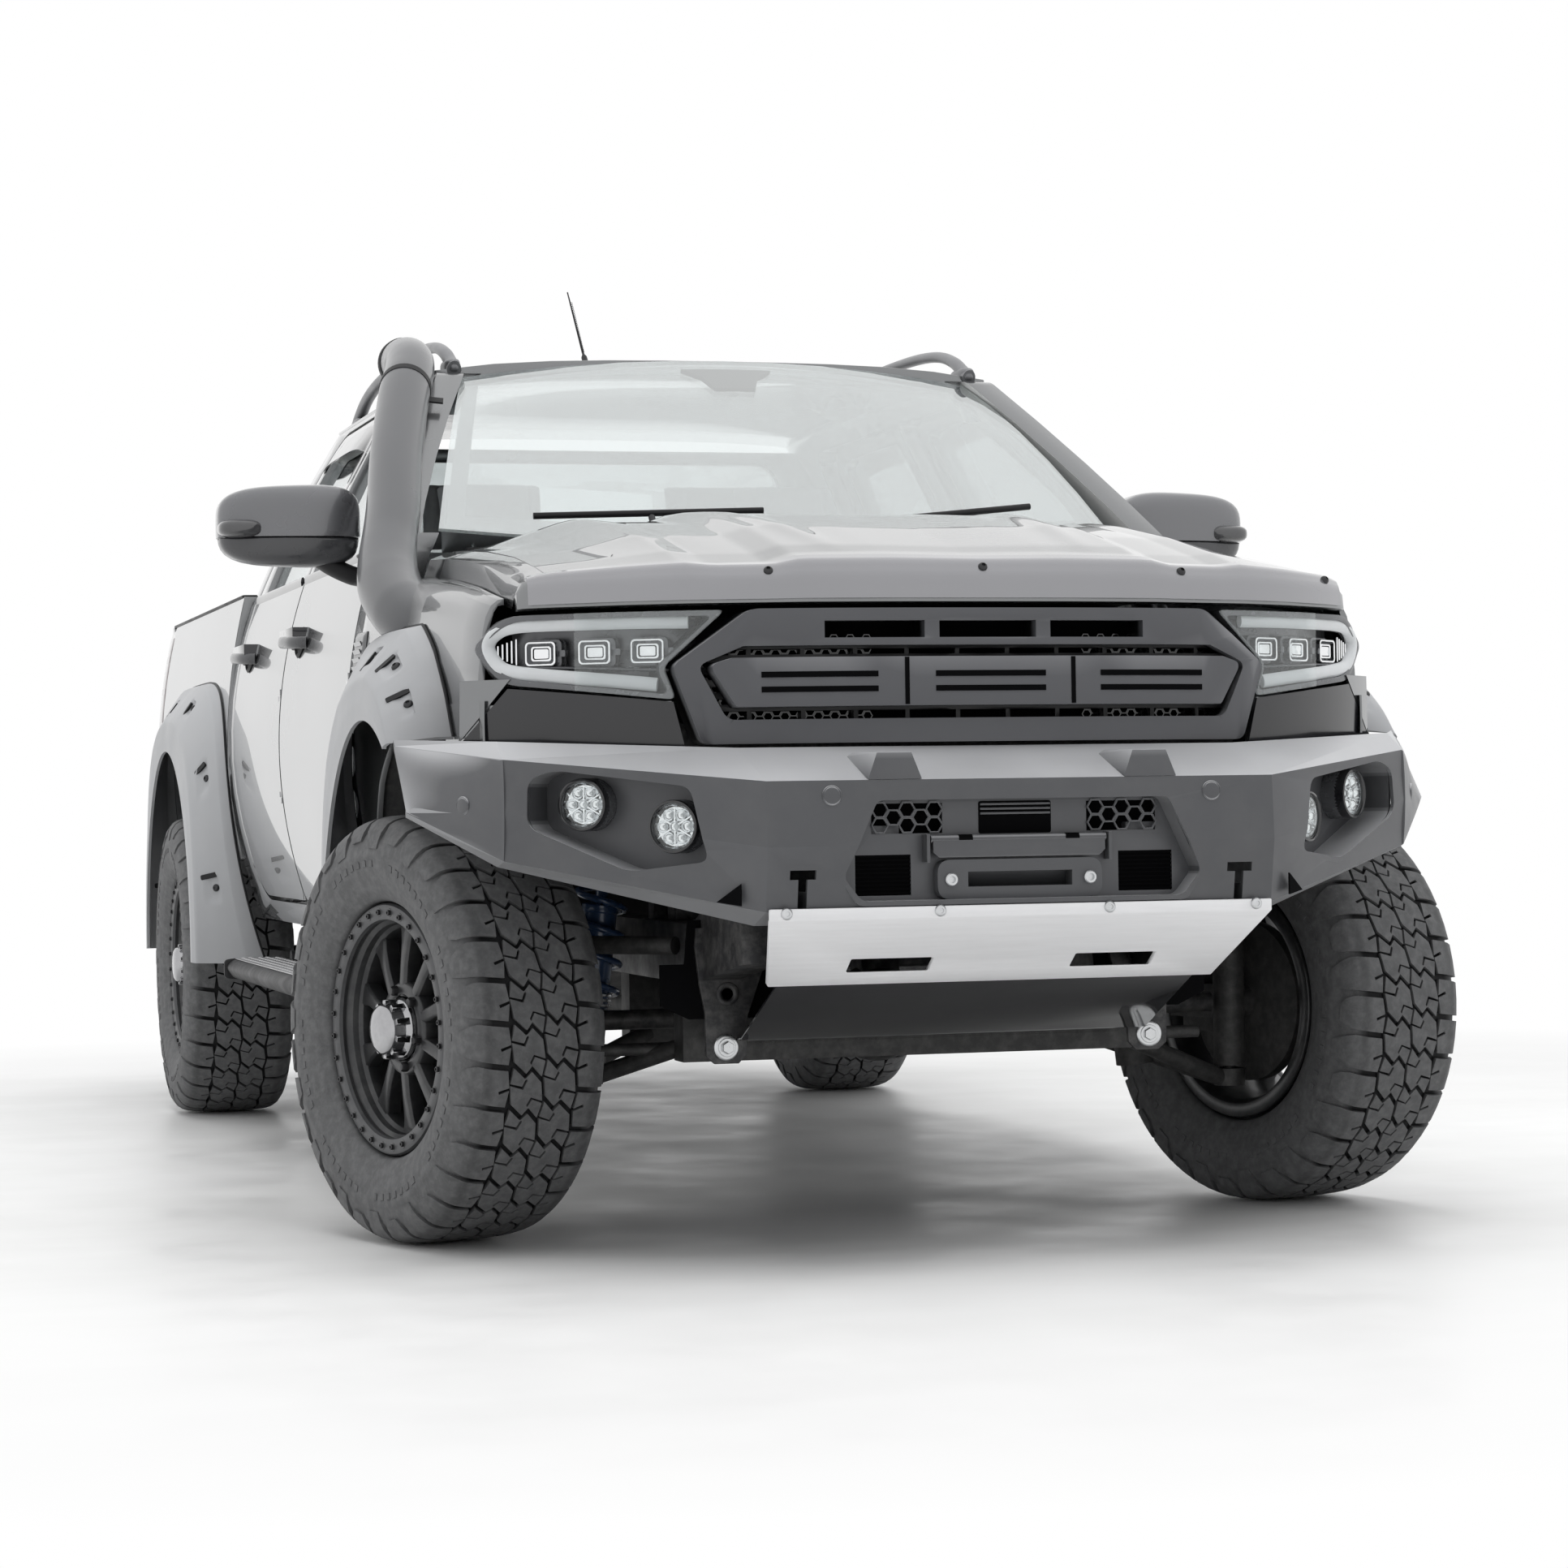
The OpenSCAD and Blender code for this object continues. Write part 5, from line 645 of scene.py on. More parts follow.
def tyre_mesh():
    """Tread blocks, carcass and sidewall teeth of one tyre, in the wheel frame."""
    count = 32
    pitch = 2 * math.pi * TYRE_R / count
    bm = bmesh.new()
    for outline in tread_blocks(pitch):
        low = [bm.verts.new((u, v, -1.0)) for u, v in outline]
        high = [bm.verts.new((u, v, 0.0)) for u, v in outline]
        n = len(outline)
        for i in range(n):
            bm.faces.new((low[i], low[(i + 1) % n], high[(i + 1) % n], high[i]))
        bm.faces.new(high)
    bmesh.ops.recalc_face_normals(bm, faces=bm.faces)
    tops = [f for f in bm.faces if all(abs(v.co.z) < 1e-9 for v in f.verts)]
    for f in tops:
        if f.normal.z < 0:
            f.normal_flip()
    bmesh.ops.triangulate(bm, faces=tops)
    long = [e for e in bm.edges if abs(e.verts[0].co.z - e.verts[1].co.z) < 1e-9 and e.calc_length() > 0.02]
    bmesh.ops.subdivide_edges(bm, edges=long, cuts=1, use_grid_fill=True)
    bmesh.ops.triangulate(bm, faces=bm.faces)
    bm.verts.index_update()
    flat = np.array([v.co for v in bm.verts])
    faces = [[v.index for v in f.verts] for f in bm.faces]
    bm.free()
    # the flat blocks, laid on the tyre's line and turned round it
    along, across, foot = flat[:, 0], np.abs(flat[:, 1]), flat[:, 2] < -0.5
    drop = np.interp(across, [0, 0.10, 0.135, 0.165, 0.19], [0.0115, 0.0115, 0.008, 0.0035, 0.002])
    height = np.where(foot, -drop, np.where(across > 0.15, 0.0016, 0.0))
    lateral, radius = along_line(flat[:, 1], height)
    build = Build()
    for k in range(count // 2):
        a = along / TYRE_R + k * 2 * pitch / TYRE_R
        build.put(np.stack([radius * np.cos(a), radius * np.sin(a), lateral], 1).tolist(), faces)
    # carcass under them, with two ribs on the sidewall
    s = np.linspace(0, tyre_arc[-1], 44)
    base = -np.interp(s, [0, 0.10, 0.135, 0.165, 0.185, 0.19], [0.011, 0.011, 0.0075, 0.003, 0.0005, 0.0])
    rib = np.where((np.abs(s - 0.196) < 0.004) | (np.abs(s - 0.262) < 0.003), 0.0014, 0.0)
    half = [(float(r), float(x)) for x, r in zip(*along_line(s, base + rib))]
    profile = [(r, -x) for r, x in half[::-1]] + half[1:] + [(0.2175, 0.093), (0.2175, -0.093)]
    build.lathe(profile, None, 128, closed=True)
    # small rim-protector teeth on the sidewall, in groups round it
    (xa, xb), (ra, rb) = along_line(np.array([0.204, 0.216]), 0.0)
    wide = 0.0065
    for side in (1, -1):
        for k, a in enumerate(around(72)):
            if k % 9 in (7, 8):
                continue
            verts = [(r * math.cos(a) - t * math.sin(a), r * math.sin(a) + t * math.cos(a), side * (x + h))
                     for h in (-0.001, 0.0016) for r, x in ((ra, xa), (rb, xb)) for t in (-wide, wide)]
            build.put(verts, [(4, 5, 7, 6), (0, 1, 5, 4), (2, 3, 7, 6), (0, 2, 6, 4), (1, 3, 7, 5)])
    return build.mesh("tyre")


def rim_builds():
    """Barrel and spokes, clamp ring, bolts, and hub cap, in the wheel frame."""
    dark, ring, bolts, cap = builds(4)
    dark.lathe([(0.231, -0.118), (0.2335, -0.112), (0.231, -0.107), (0.216, -0.104), (0.214, 0.0),
                (0.2145, 0.09),
                (0.228, 0.094), (0.228, 0.104), (0.207, 0.106), (0.205, 0.096), (0.197, 0.090),
                (0.196, 0.078), (0.189, 0.072), (0.188, 0.05), (0.190, 0.0), (0.196, -0.1),
                (0.205, -0.118)], None, 96, closed=True)
    ring.lathe([(0.2335, 0.095), (0.2348, 0.101), (0.2348, 0.110), (0.2315, 0.1155), (0.226, 0.1175),
                (0.211, 0.1175), (0.2045, 0.1145), (0.2025, 0.108), (0.2045, 0.100)], None, 128, closed=True)
    ring_r, ring_face = 0.2185, 0.1175
    for a in around(32, 0.5):
        m = axes_at((ring_r * math.cos(a), ring_r * math.sin(a), ring_face), (0, 0, 1))
        dark.lathe([(0.0085, 0.0), (0.0085, 0.0006), (0.0062, 0.0008), (0.0, 0.0007)], m, 14)
        bolts.lathe([(0.0052, -0.002), (0.0052, 0.0048), (0.0042, 0.0058), (0.0028, 0.0058), (0.0025, 0.003),
                     (0, 0.003)], m, 12)
    # ten spokes, wide at the rim, waisted by the hub, with drawn-in fronts
    rows = ((0.060, 0.0150, 0.083, 0.052), (0.085, 0.0125, 0.0845, 0.052), (0.125, 0.0130, 0.0815, 0.050),
            (0.165, 0.0165, 0.0765, 0.046), (0.182, 0.0215, 0.0745, 0.044), (0.196, 0.0265, 0.0735, 0.042))
    spoke = []
    for r, half, z1, z0 in rows:
        spoke += [(r, -half, z0), (r, -half, z1 - 0.005), (r, -half + 0.0045, z1), (r, half - 0.0045, z1),
                  (r, half, z1 - 0.005), (r, half, z0)]
    for a in around(10):
        dark.put(spoke, tube_faces(len(rows), 6), Matrix.Rotation(a, 4, "Z"))
    dark.lathe([(0.088, 0.052), (0.088, 0.078), (0.084, 0.084), (0.066, 0.086), (0.062, 0.082),
                (0.060, 0.07), (0.0, 0.07)], None, 60)
    dark.lathe([(0.088, 0.054), (0.082, 0.040), (0.07, 0.034), (0.0, 0.034)], None, 48)
    stud_r, stud_face = 0.0725, 0.0835
    for a in around(6, 0.25):
        m = axes_at((stud_r * math.cos(a), stud_r * math.sin(a), stud_face), (0, 0, 1))
        bolts.lathe([(0.0095, -0.006), (0.0095, 0.010), (0.0075, 0.0145), (0, 0.0155)], m, 6)
    # hub cap with a notched skirt and a flat domed end
    cap.lathe([(0.058, 0.070), (0.058, 0.092), (0.0535, 0.097), (0.049, 0.1), (0.0475, 0.122),
               (0.0445, 0.1295), (0.036, 0.1345), (0.020, 0.1368), (0.0, 0.1374)], None, 60)
    for a in around(10):
        cap.prism([(0.046, -0.0075), (0.0560, -0.0068), (0.0560, 0.0068), (0.046, 0.0075)], 0.094, 0.1215,
                  Matrix.Rotation(a, 4, "Z"), 0.0022)
    return dark, ring, bolts, cap


def make_wheels():
    """Four wheels that share their meshes."""
    tyre = tyre_mesh()
    names = ("rim", "clamp_ring", "wheel_bolts", "hub_cap")
    dark, ring, bolts, cap = (build.mesh(name) for build, name in zip(rim_builds(), names))
    for place, (centre, out) in wheel_places.items():
        m = axes_at(centre, out, (0, 0, 1))
        body = "wheel_" + place
        piece("tyre_tread_" + place, tyre, body, rubber, matrix=m,
              stands_for=["tyre_" + place],
              degrees=24)
        piece("wheel_spokes_" + place, dark, body, rim_black, 0.0012, 34, ["rim_" + place], m,
              1)
        piece("clamp_ring_" + place, ring, body, ring_grey, matrix=m, degrees=20)
        piece("wheel_bolts_" + place, bolts, body, dark_bolt, matrix=m)
        piece("hub_cap_" + place, cap, body, cap_chrome, 0.0008, 34, matrix=m, segments=1)


# Forms shared with the solids
def nose(x):
    """Front of the nose, which is curved in plan."""
    return -2.5 + 0.3 * (abs(x) / 0.86) ** 3


def side_x(z):
    """Half-width of the cab's side at a height."""
    if z <= BELT:
        return HALF_WIDTH - 0.080 * ((z - WAIST) / 0.42) ** 2
    s = (z - BELT) / 0.435
    return 0.859 - 0.219 * s + 0.048 * s * (1 - s)


def wing_x(y, z):
    """Half-width of the front wing."""
    return side_x(min(z, BELT)) - 0.070 * max(0.0, (-1.155 - y) / 1.03) ** 2


def bed_x(z):
    """Half-width of the bed's side."""
    return HALF_WIDTH - 0.055 * ((z - WAIST) / 0.42) ** 2


def screen(u, v):
    """Point of the windscreen, u from side to side and v upward."""
    return Vector((u * (0.735 - 0.152 * v), -1.310 + 0.130 * u * u * (1 - v) + 0.610 * v + 0.050 * u * u * v,
                   1.347 + 0.040 * u * u * (1 - v) + 0.455 * v - 0.040 * u * u * v + 0.1 * v * (1 - v)))


grille_out = 0.014
# the bonnet's drop in millimetres at shares of its half-width
bonnet_drop = [(0, 3.1), (0.2, 0), (0.41, 1.6), (0.47, 17.9), (0.6, 18.7), (0.66, 10.1), (0.78, 17.2),
               (0.94, 29.6), (0.985, 43.7), (1, 78)]
# its rows from the lip back: shares of its length, of the lip's height, of the rise behind it, of the drop
bonnet_rows = [(0, 0, 0, 0.02), (0.006, 0.55, 0, 0.25), (0.02, 0.86, 0, 0.55), (0.05, 1, 0, 0.8),
               (0.15, 1, 0.22, 0.95), (0.35, 1, 0.52, 1), (0.6, 1, 0.76, 1), (0.8, 1, 0.9, 1), (1, 1, 1, 1)]


def bonnet_at(c, t):
    """Point of the bonnet at share c of its half-width and row t, counted from the lip."""
    r = [np.interp(t, range(len(bonnet_rows)), [row[k] for row in bonnet_rows]) for k in range(4)]
    drop = np.interp(abs(c), [p for p, _ in bonnet_drop], [d for _, d in bonnet_drop]) * 0.001
    x = c * BONNET_HALF
    y0, y1 = nose(x), -1.378 + 0.040 * c * c
    return Vector((x, y0 + (y1 - y0) * r[0], 1.162 + 0.082 * r[1] + 0.111 * r[2] - drop * r[3]))


def slab(at, us, vs, out, thick):
    """A sheet over the surface at(u, v), raised by out and thick deep, closed all round."""
    outer, inner = [], []
    for u in us:
        for v in vs:
            p = at(u, v)
            du = at(min(u + 0.004, us[-1]), v) - at(max(u - 0.004, us[0]), v)
            dv = at(u, min(v + 0.02, vs[-1])) - at(u, max(v - 0.02, vs[0]))
            n = du.cross(dv).normalized()
            outer.append(p + n * out)
            inner.append(p + n * (out - thick))
    return Build().put(outer + inner, sheet_faces(len(us), len(vs)))


def rounded(x0, x1, y0, y1, r, steps=4):
    """Outline of a rectangle with round corners."""
    pts = []
    for cx, cy, a0 in ((x1 - r, y1 - r, 0), (x0 + r, y1 - r, 90), (x0 + r, y0 + r, 180),
                       (x1 - r, y0 + r, 270)):
        for degrees in spaced(steps, a0, 90):
            a = math.radians(degrees)
            pts.append((cx + r * math.cos(a), cy + r * math.sin(a)))
    return pts


def frame_ring(build, outer, inner, z0, z1, m=None):
    """A flat frame between two outlines with the same number of points."""
    n = len(outer)
    verts = [(x, y, z) for z in (z0, z1) for o in (outer, inner) for x, y in o]
    faces = []
    for i in range(n):
        j = (i + 1) % n
        faces += [[2 * n + i, 2 * n + j, 3 * n + j, 3 * n + i], [i, n + i, n + j, j],
                  [i, j, 2 * n + j, 2 * n + i],
                  [n + i, 3 * n + i, 3 * n + j, n + j]]
    return build.put(verts, faces, m)


def swept(points, radius_y, radius_z, segs=16, roll=(1, 0, 0)):
    """A tube of oval section along points; radii may change along it."""
    pts = [Vector(p) for p in points]
    n = len(pts)
    ry, rz = (r if isinstance(r, list) else [r] * n for r in (radius_y, radius_z))
    verts = []
    for i, p in enumerate(pts):
        d = (pts[min(i + 1, n - 1)] - pts[max(i - 1, 0)]).normalized()
        side = Vector(roll)
        side = (side - d * side.dot(d)).normalized()
        up = d.cross(side)
        verts += [p + side * ry[i] * math.cos(t) + up * rz[i] * math.sin(t) for t in around(segs)]
    return Build().put(verts, tube_faces(n, segs))


def smooth_path(points, steps=8):
    """Points of a Catmull-Rom curve through the given ones."""
    p = [Vector(q) for q in points]
    p = [p[0] * 2 - p[1]] + p + [p[-1] * 2 - p[-2]]
    out = []
    for i in range(1, len(p) - 2):
        for k in range(steps):
            t = k / steps
            a, b, c, d = p[i - 1:i + 3]
            out.append(0.5 * (2 * b + (c - a) * t + (2 * a - 5 * b + 4 * c - d) * t * t
                              + (3 * b - a - 3 * c + d) * t ** 3))
    return out + [p[-2]]


# Pieces, from the front to the rear
def make_bonnet_guard():
    """Guard along the bonnet's lip, with its bolts."""
    lift, bolt_row = 0.0065, 1.55
    guard = slab(bonnet_at, spaced(80, -0.975, 1.95), spaced(14, 0.12, 2.75), lift, 0.005)
    piece("bonnet_guard", guard, "bonnet", guard_grey, degrees=30)
    bolts = Build()
    for x in (-0.386, 0.0, 0.386, 0.735):
        c = x / BONNET_HALF
        across = bonnet_at(c + 0.01, bolt_row) - bonnet_at(c - 0.01, bolt_row)
        back = bonnet_at(c, bolt_row + 0.1) - bonnet_at(c, bolt_row - 0.1)
        n = across.cross(back).normalized()
        bolts.bolt(bonnet_at(c, bolt_row) + n * lift, n, 0.0085, 0.007)
    piece("bonnet_guard_bolts", bolts, "bonnet", dark_bolt)


def make_bonnet_skin():
    """Painted skin with the raised middle and its creases, over the solid bonnet."""
    def at(c, t):
        p = bonnet_at(c, t)
        back = max(0.0, min(1.0, (p.y + 2.38) / 0.86))
        wide = 1 - max(0.0, min(1.0, (abs(c) - 0.50 - 0.12 * back) / 0.30))
        end = min(1.0, (-1.392 - p.y) / 0.075)
        rise = 0.044 * math.sin(math.pi / 2 * back) * wide * wide * (3 - 2 * wide)
        ridge = 0.007 * math.exp(-((abs(c) - 0.30 - 0.10 * back) / 0.035) ** 2) * math.sin(math.pi * back)
        return p + Vector((0, 0, (rise + ridge) * (0.45 + 0.55 * end)))
    us = spaced(180, -0.93, 1.86)
    vs = spaced(60, 2.95, 4.98)
    piece("bonnet_skin", slab(at, us, vs, 0.0012, 0.010), "bonnet", paint, degrees=40)


def make_headlamps():
    """Light bars, framed optics and dark backs in the headlamps."""
    bars, frames, optics, back = builds(4)
    unit_z, rib_z = 1.081, 1.088
    for s in (-1, 1):
        def at(x, z, depth):
            return Vector((s * x, nose(x) + depth, z))
        line = [at(x, z, 0.022) for x, z in ((0.520, 1.131), (0.60, 1.132), (0.70, 1.132), (0.79, 1.131),
                                             (0.823, 1.120), (0.836, 1.096),
                                             (0.822, 1.064), (0.796, 1.049), (0.72, 1.038), (0.64, 1.029),
                                             (0.572, 1.021))]
        path = smooth_path(line, 6)
        bar = swept(path, 0.0065, 0.0125, 14, roll=(0, 1, 0))
        bars.add(bar)
        inner = smooth_path([p + Vector((0, 0.012, 0)) for p in line], 6)
        bar = swept(inner, 0.004, 0.013, 8, roll=(0, 1, 0))
        back.add(bar)
        for x in (0.584, 0.668, 0.752):
            slope = math.atan2(nose(x + 0.01) - nose(x - 0.01), 0.02)
            out = Vector((s * math.sin(slope), -math.cos(slope), 0))
            m = axes_at(at(x, unit_z, 0.034), out, (s * math.cos(slope), math.sin(slope), 0))
            frame_ring(frames, rounded(-0.030, 0.030, -0.0215, 0.0215, 0.008),
                       rounded(-0.0265, 0.0265, -0.018, 0.018, 0.006), -0.012, 0.008, m)
            frame_ring(frames, rounded(-0.020, 0.020, -0.0135, 0.0135, 0.005),
                       rounded(-0.0165, 0.0165, -0.010, 0.010, 0.004), -0.012, 0.004, m)
            optics.prism(rounded(-0.017, 0.017, -0.0105, 0.0105, 0.004), -0.012, 0.003, m, 0.003)
            back.prism(rounded(-0.034, 0.034, -0.026, 0.026, 0.010), -0.030, -0.010, m)
            back.prism(rounded(-0.046, -0.036, -0.006, 0.006, 0.002), -0.012, 0.0, m)
        # stepped reflector ribs at the outer end and a shelf below the units
        for k in range(6):
            x = 0.792 + 0.007 * k
            tall = 0.026 - 0.0035 * k
            optics.tube([at(x, rib_z - tall, 0.030), at(x, rib_z + tall * 0.8, 0.030)], 0.0022, 6)
        shelf = [at(x, 1.058 - 0.012 * (0.79 - x) / 0.25, 0.036) for x in np.linspace(0.54, 0.79, 12)]
        bar = swept(shelf, 0.010, 0.0035, 8, roll=(0, 1, 0))
        back.add(bar)
    piece("headlamp_light_bars", bars, "truck", lamp_light)
    piece("headlamp_frames", frames, "truck", chrome, 0.0006, 30, segments=1)
    piece("headlamp_optics", optics, "truck", chrome, 0.0008, 30)
    piece("headlamp_backs", back, "truck", lamp_black, 0.001, 30)


def wing_axes(s, along, depth, z):
    """Frame on the swept-back face of the bumper's wing, z outward."""
    a = math.radians(38)
    x = Vector((s * math.cos(a), math.sin(a), 0))
    out = Vector((s * math.sin(a), -math.cos(a), 0))
    origin = Vector((s * 0.460, BUMPER_FACE, 0)) + x * along - out * depth
    origin.z = z
    return axes_at(origin, out, x)


def make_driving_lamps():
    """Two round lamps in each wing of the bumper."""
    bezels, bowls, chips, lenses = builds(4)
    for s in (-1, 1):
        for along, z in ((0.190, 0.772), (0.362, 0.812)):
            m = wing_axes(s, along, 0.040, z)
            bezels.lathe([(0.0455, -0.02), (0.0465, 0.004), (0.0450, 0.0085), (0.0415, 0.0095),
                          (0.0385, 0.006), (0.0375, -0.008)], m, 48)
            bowls.lathe([(0.0380, 0.001), (0.0370, -0.004), (0.0340, -0.008), (0.0, -0.010)], m, 48)
            for k in range(6):
                a = math.pi / 3 * k
                q = m @ Matrix.Translation((0.0225 * math.cos(a), 0.0225 * math.sin(a), -0.008))
                bowls.lathe([(0.0108, 0.0075), (0.0100, 0.0045), (0.0075, 0.0012), (0.0038, -0.0004),
                             (0.0, -0.0008)],
                            q, 20)
                chips.lathe([(0.0030, 0.0), (0.0028, 0.0020), (0.0016, 0.0032), (0, 0.0036)], q, 10)
                bowls.prism([(0.008, -0.0016), (0.034, -0.0010), (0.034, 0.0010), (0.008, 0.0016)], -0.009,
                            -0.001,
                            m @ Matrix.Rotation(a + math.pi / 6, 4, "Z"))
            bowls.lathe([(0.0105, 0.000), (0.0095, -0.003), (0.006, -0.0065), (0.0, -0.0075)], m, 24)
            chips.lathe([(0.0040, -0.008), (0.0036, -0.0045), (0.0, -0.0028)], m, 12)
            lenses.lathe([(0.0380, 0.0055), (0.0300, 0.0085), (0.0150, 0.0102), (0.0, 0.0106), (0.0, 0.0086),
                          (0.0150, 0.0082), (0.0300, 0.0065), (0.0378, 0.0035)], m, 48)
    piece("driving_lamp_bezels", bezels, "truck", gloss_black)
    piece("driving_lamp_bowls", bowls, "truck", chrome)
    piece("driving_lamp_leds", chips, "truck", lamp_light)
    piece("driving_lamp_lenses", lenses, "truck", lens_glass)


def hex_cells(build, cells, r_out, r_in, y_of, high):
    """Ribs of a honeycomb: a six-sided ring for each cell centre (x, z), standing off y_of(x)."""
    faces = [[i * 6 + k, i * 6 + (k + 1) % 6, (i + 1) % 4 * 6 + (k + 1) % 6, (i + 1) % 4 * 6 + k]
             for i in range(4) for k in range(6)]
    for x, z in cells:
        verts = []
        for r, d in ((r_out, 0.0), (r_out, high), (r_in, high), (r_in, 0.0)):
            corners = [(x + r * math.cos(a), z + r * math.sin(a)) for a in around(6)]
            verts += [(px, y_of(px) - d, pz) for px, pz in corners]
        build.put(verts, faces)


def front_plate(build, outline, y0, y1):
    """A plate seen from the front: outline of (x, z), from y0 back to y1."""
    return build.prism(outline, y0, y1, UPRIGHT)


def wing_end(u, v):
    """Outer end of the bumper's left wing: u from its fold to the tip, v upward, bulged over the facets."""
    fold = ((-2.3878, 0.7149), (-2.3994, 0.8000), (-2.3923, 0.8921))
    tip = ((-2.1859, 0.8020), (-2.1260, 0.8647), (-2.0698, 0.9233))
    shares = ((1 - v) * (1 - 2 * v), 4 * v * (1 - v), v * (2 * v - 1))
    y, z = (sum(w * ((1 - u) * a[i] + u * b[i]) for w, a, b in zip(shares, fold, tip)) for i in (0, 1))
    swell = 0.0088 * 4 * u * (1 - u) * (1 - (2 * v - 1) ** 4)
    return Vector((0.850 + 0.135 * u + 0.885 * swell, y - 0.46 * swell, z))


def make_bumper_details():
    """Skins, honeycomb, vents, sensors, tabs, flap and bolts of the bumper."""
    ends = Build()
    ends.pair(slab(wing_end, spaced(30), spaced(20, 0.01, 0.98), 0.0014, 0.010))
    piece("bumper_wing_skins", ends, "truck", bar_grey, degrees=30)
    ribs, dark, grey, bolts = builds(4)
    floor_y = -2.6415

    def sensor(m, root):
        grey.lathe([(0.0175, -root), (0.0175, 0.0008), (0.0160, 0.0016), (0.0150, 0.0004), (0.0140, 0.0014),
                    (0.0, 0.0022)], m, 32)

    for s in (-1, 1):
        x0, z0 = s * 0.1965, 0.782
        cells = []
        for i in range(-2, 3):
            for z in ((-0.0135, 0.0135) if i % 2 == 0 else (0.0,)):
                cells.append((x0 + i * 0.0245, z0 + z))
        hex_cells(ribs, cells, 0.0162, 0.0130, lambda x: floor_y, 0.005)
        # black plates of painted shade behind the honeycomb and the lower vent, whose bars are black too
        front_plate(dark, rounded(x0 - 0.070, x0 + 0.070, z0 - 0.032, z0 + 0.032, 0.006), floor_y + 0.030,
                    floor_y + 0.034)
        front_plate(dark, rounded(*sorted((s * 0.184, s * 0.296)), 0.642, 0.724, 0.006), floor_y + 0.006,
                    floor_y + 0.010)
        for k in range(10):
            z = 0.6515 + 0.0072 * k
            dark.tube([(s * 0.188, floor_y + 0.004, z), (s * 0.292, floor_y + 0.004, z)], 0.0017, 6)
        # small three-cornered openings by the skid plate's ends, as black plates of painted shade
        m = wing_axes(s, 0.0, -0.0006, 0.0)
        m = Matrix((m.col[0], (0, 0, 1, 0), m.col[2], m.col[3])).transposed()
        dark.prism([(0.050, 0.636), (0.096, 0.643), (0.050, 0.674)], -0.002, 0.0012, m)
        # sensors on the upper face and near the wing's end
        m = axes_at((s * 0.345, -2.6948, 0.821), (0, -1, 0.07))
        sensor(m, 0.002)
        seat = wing_end(0.36, 0.43)
        m = axes_at((s * (seat.x + 0.0012), seat.y - 0.0006, seat.z), (s * 0.885, -0.46, 0.0))
        sensor(m, 0.006)
        # wedge-shaped tabs on the upper bevel
        x = s * 0.232
        front = [(x - 0.048, -2.6935, 0.8475), (x + 0.048, -2.6935, 0.8475), (x + 0.031, -2.6900, 0.8935),
                 (x - 0.031, -2.6900, 0.8935)]
        rear = [(x - 0.048, -2.560, 0.8880), (x + 0.048, -2.560, 0.8880), (x + 0.031, -2.552, 0.8960),
                (x - 0.031, -2.552, 0.8960)]
        grey.put(front + rear, [(0, 1, 2, 3), (7, 6, 5, 4), (0, 4, 5, 1), (1, 5, 6, 2), (2, 6, 7, 3),
                                (3, 7, 4, 0)])
    # louvred opening above the fairlead: a black plate of painted shade behind grey louvres
    front_plate(dark, rounded(-0.066, 0.066, 0.752, 0.808, 0.004), floor_y - 0.0012, floor_y + 0.002)
    for z in (0.8035, 0.7955, 0.7875):
        front_plate(grey, [(-0.064, z - 0.0026), (0.064, z - 0.0026), (0.064, z + 0.0010),
                           (-0.064, z + 0.0010)],
                    floor_y - 0.0045, floor_y)
    # hinged flap over the fairlead, with its pins
    flap = [(-0.146, 0.712), (0.146, 0.712), (0.157, 0.722), (0.157, 0.742), (-0.157, 0.742),
            (-0.157, 0.722)]
    front_plate(grey, flap, floor_y - 0.0250, floor_y - 0.0190)
    pin_y, pin_z = floor_y - 0.018, 0.744
    grey.tube([(-0.160, pin_y, pin_z), (0.160, pin_y, pin_z)], 0.0065, 12)
    for s in (-1, 1):
        front_plate(grey, [(s * 0.163, 0.704), (s * 0.169, 0.704), (s * 0.169, 0.752), (s * 0.163, 0.752)],
                    floor_y - 0.027, floor_y)
        dark.tube([(s * 0.110, pin_y, pin_z), (s * 0.085, pin_y, pin_z)], 0.0075, 12)
        bolts.bolt((s * 0.1265, -2.6674, 0.674), (0, -1, 0), 0.0115, 0.009, "cap")
        for x in (0.427, 0.154):
            bolts.bolt((s * x, -2.6922, 0.622), (0, -1, 0), 0.0105, 0.006)
    piece("bumper_honeycomb", ribs, "truck", bar_grey, 0.0005, 30, segments=1)
    piece("bumper_vent_shade_and_pins", dark, "truck", painted_shade_black, degrees=30)
    piece("bumper_sensors_and_tabs", grey, "truck", bar_grey, 0.0012, 30)
    piece("bumper_bolts", bolts, "truck", zinc)


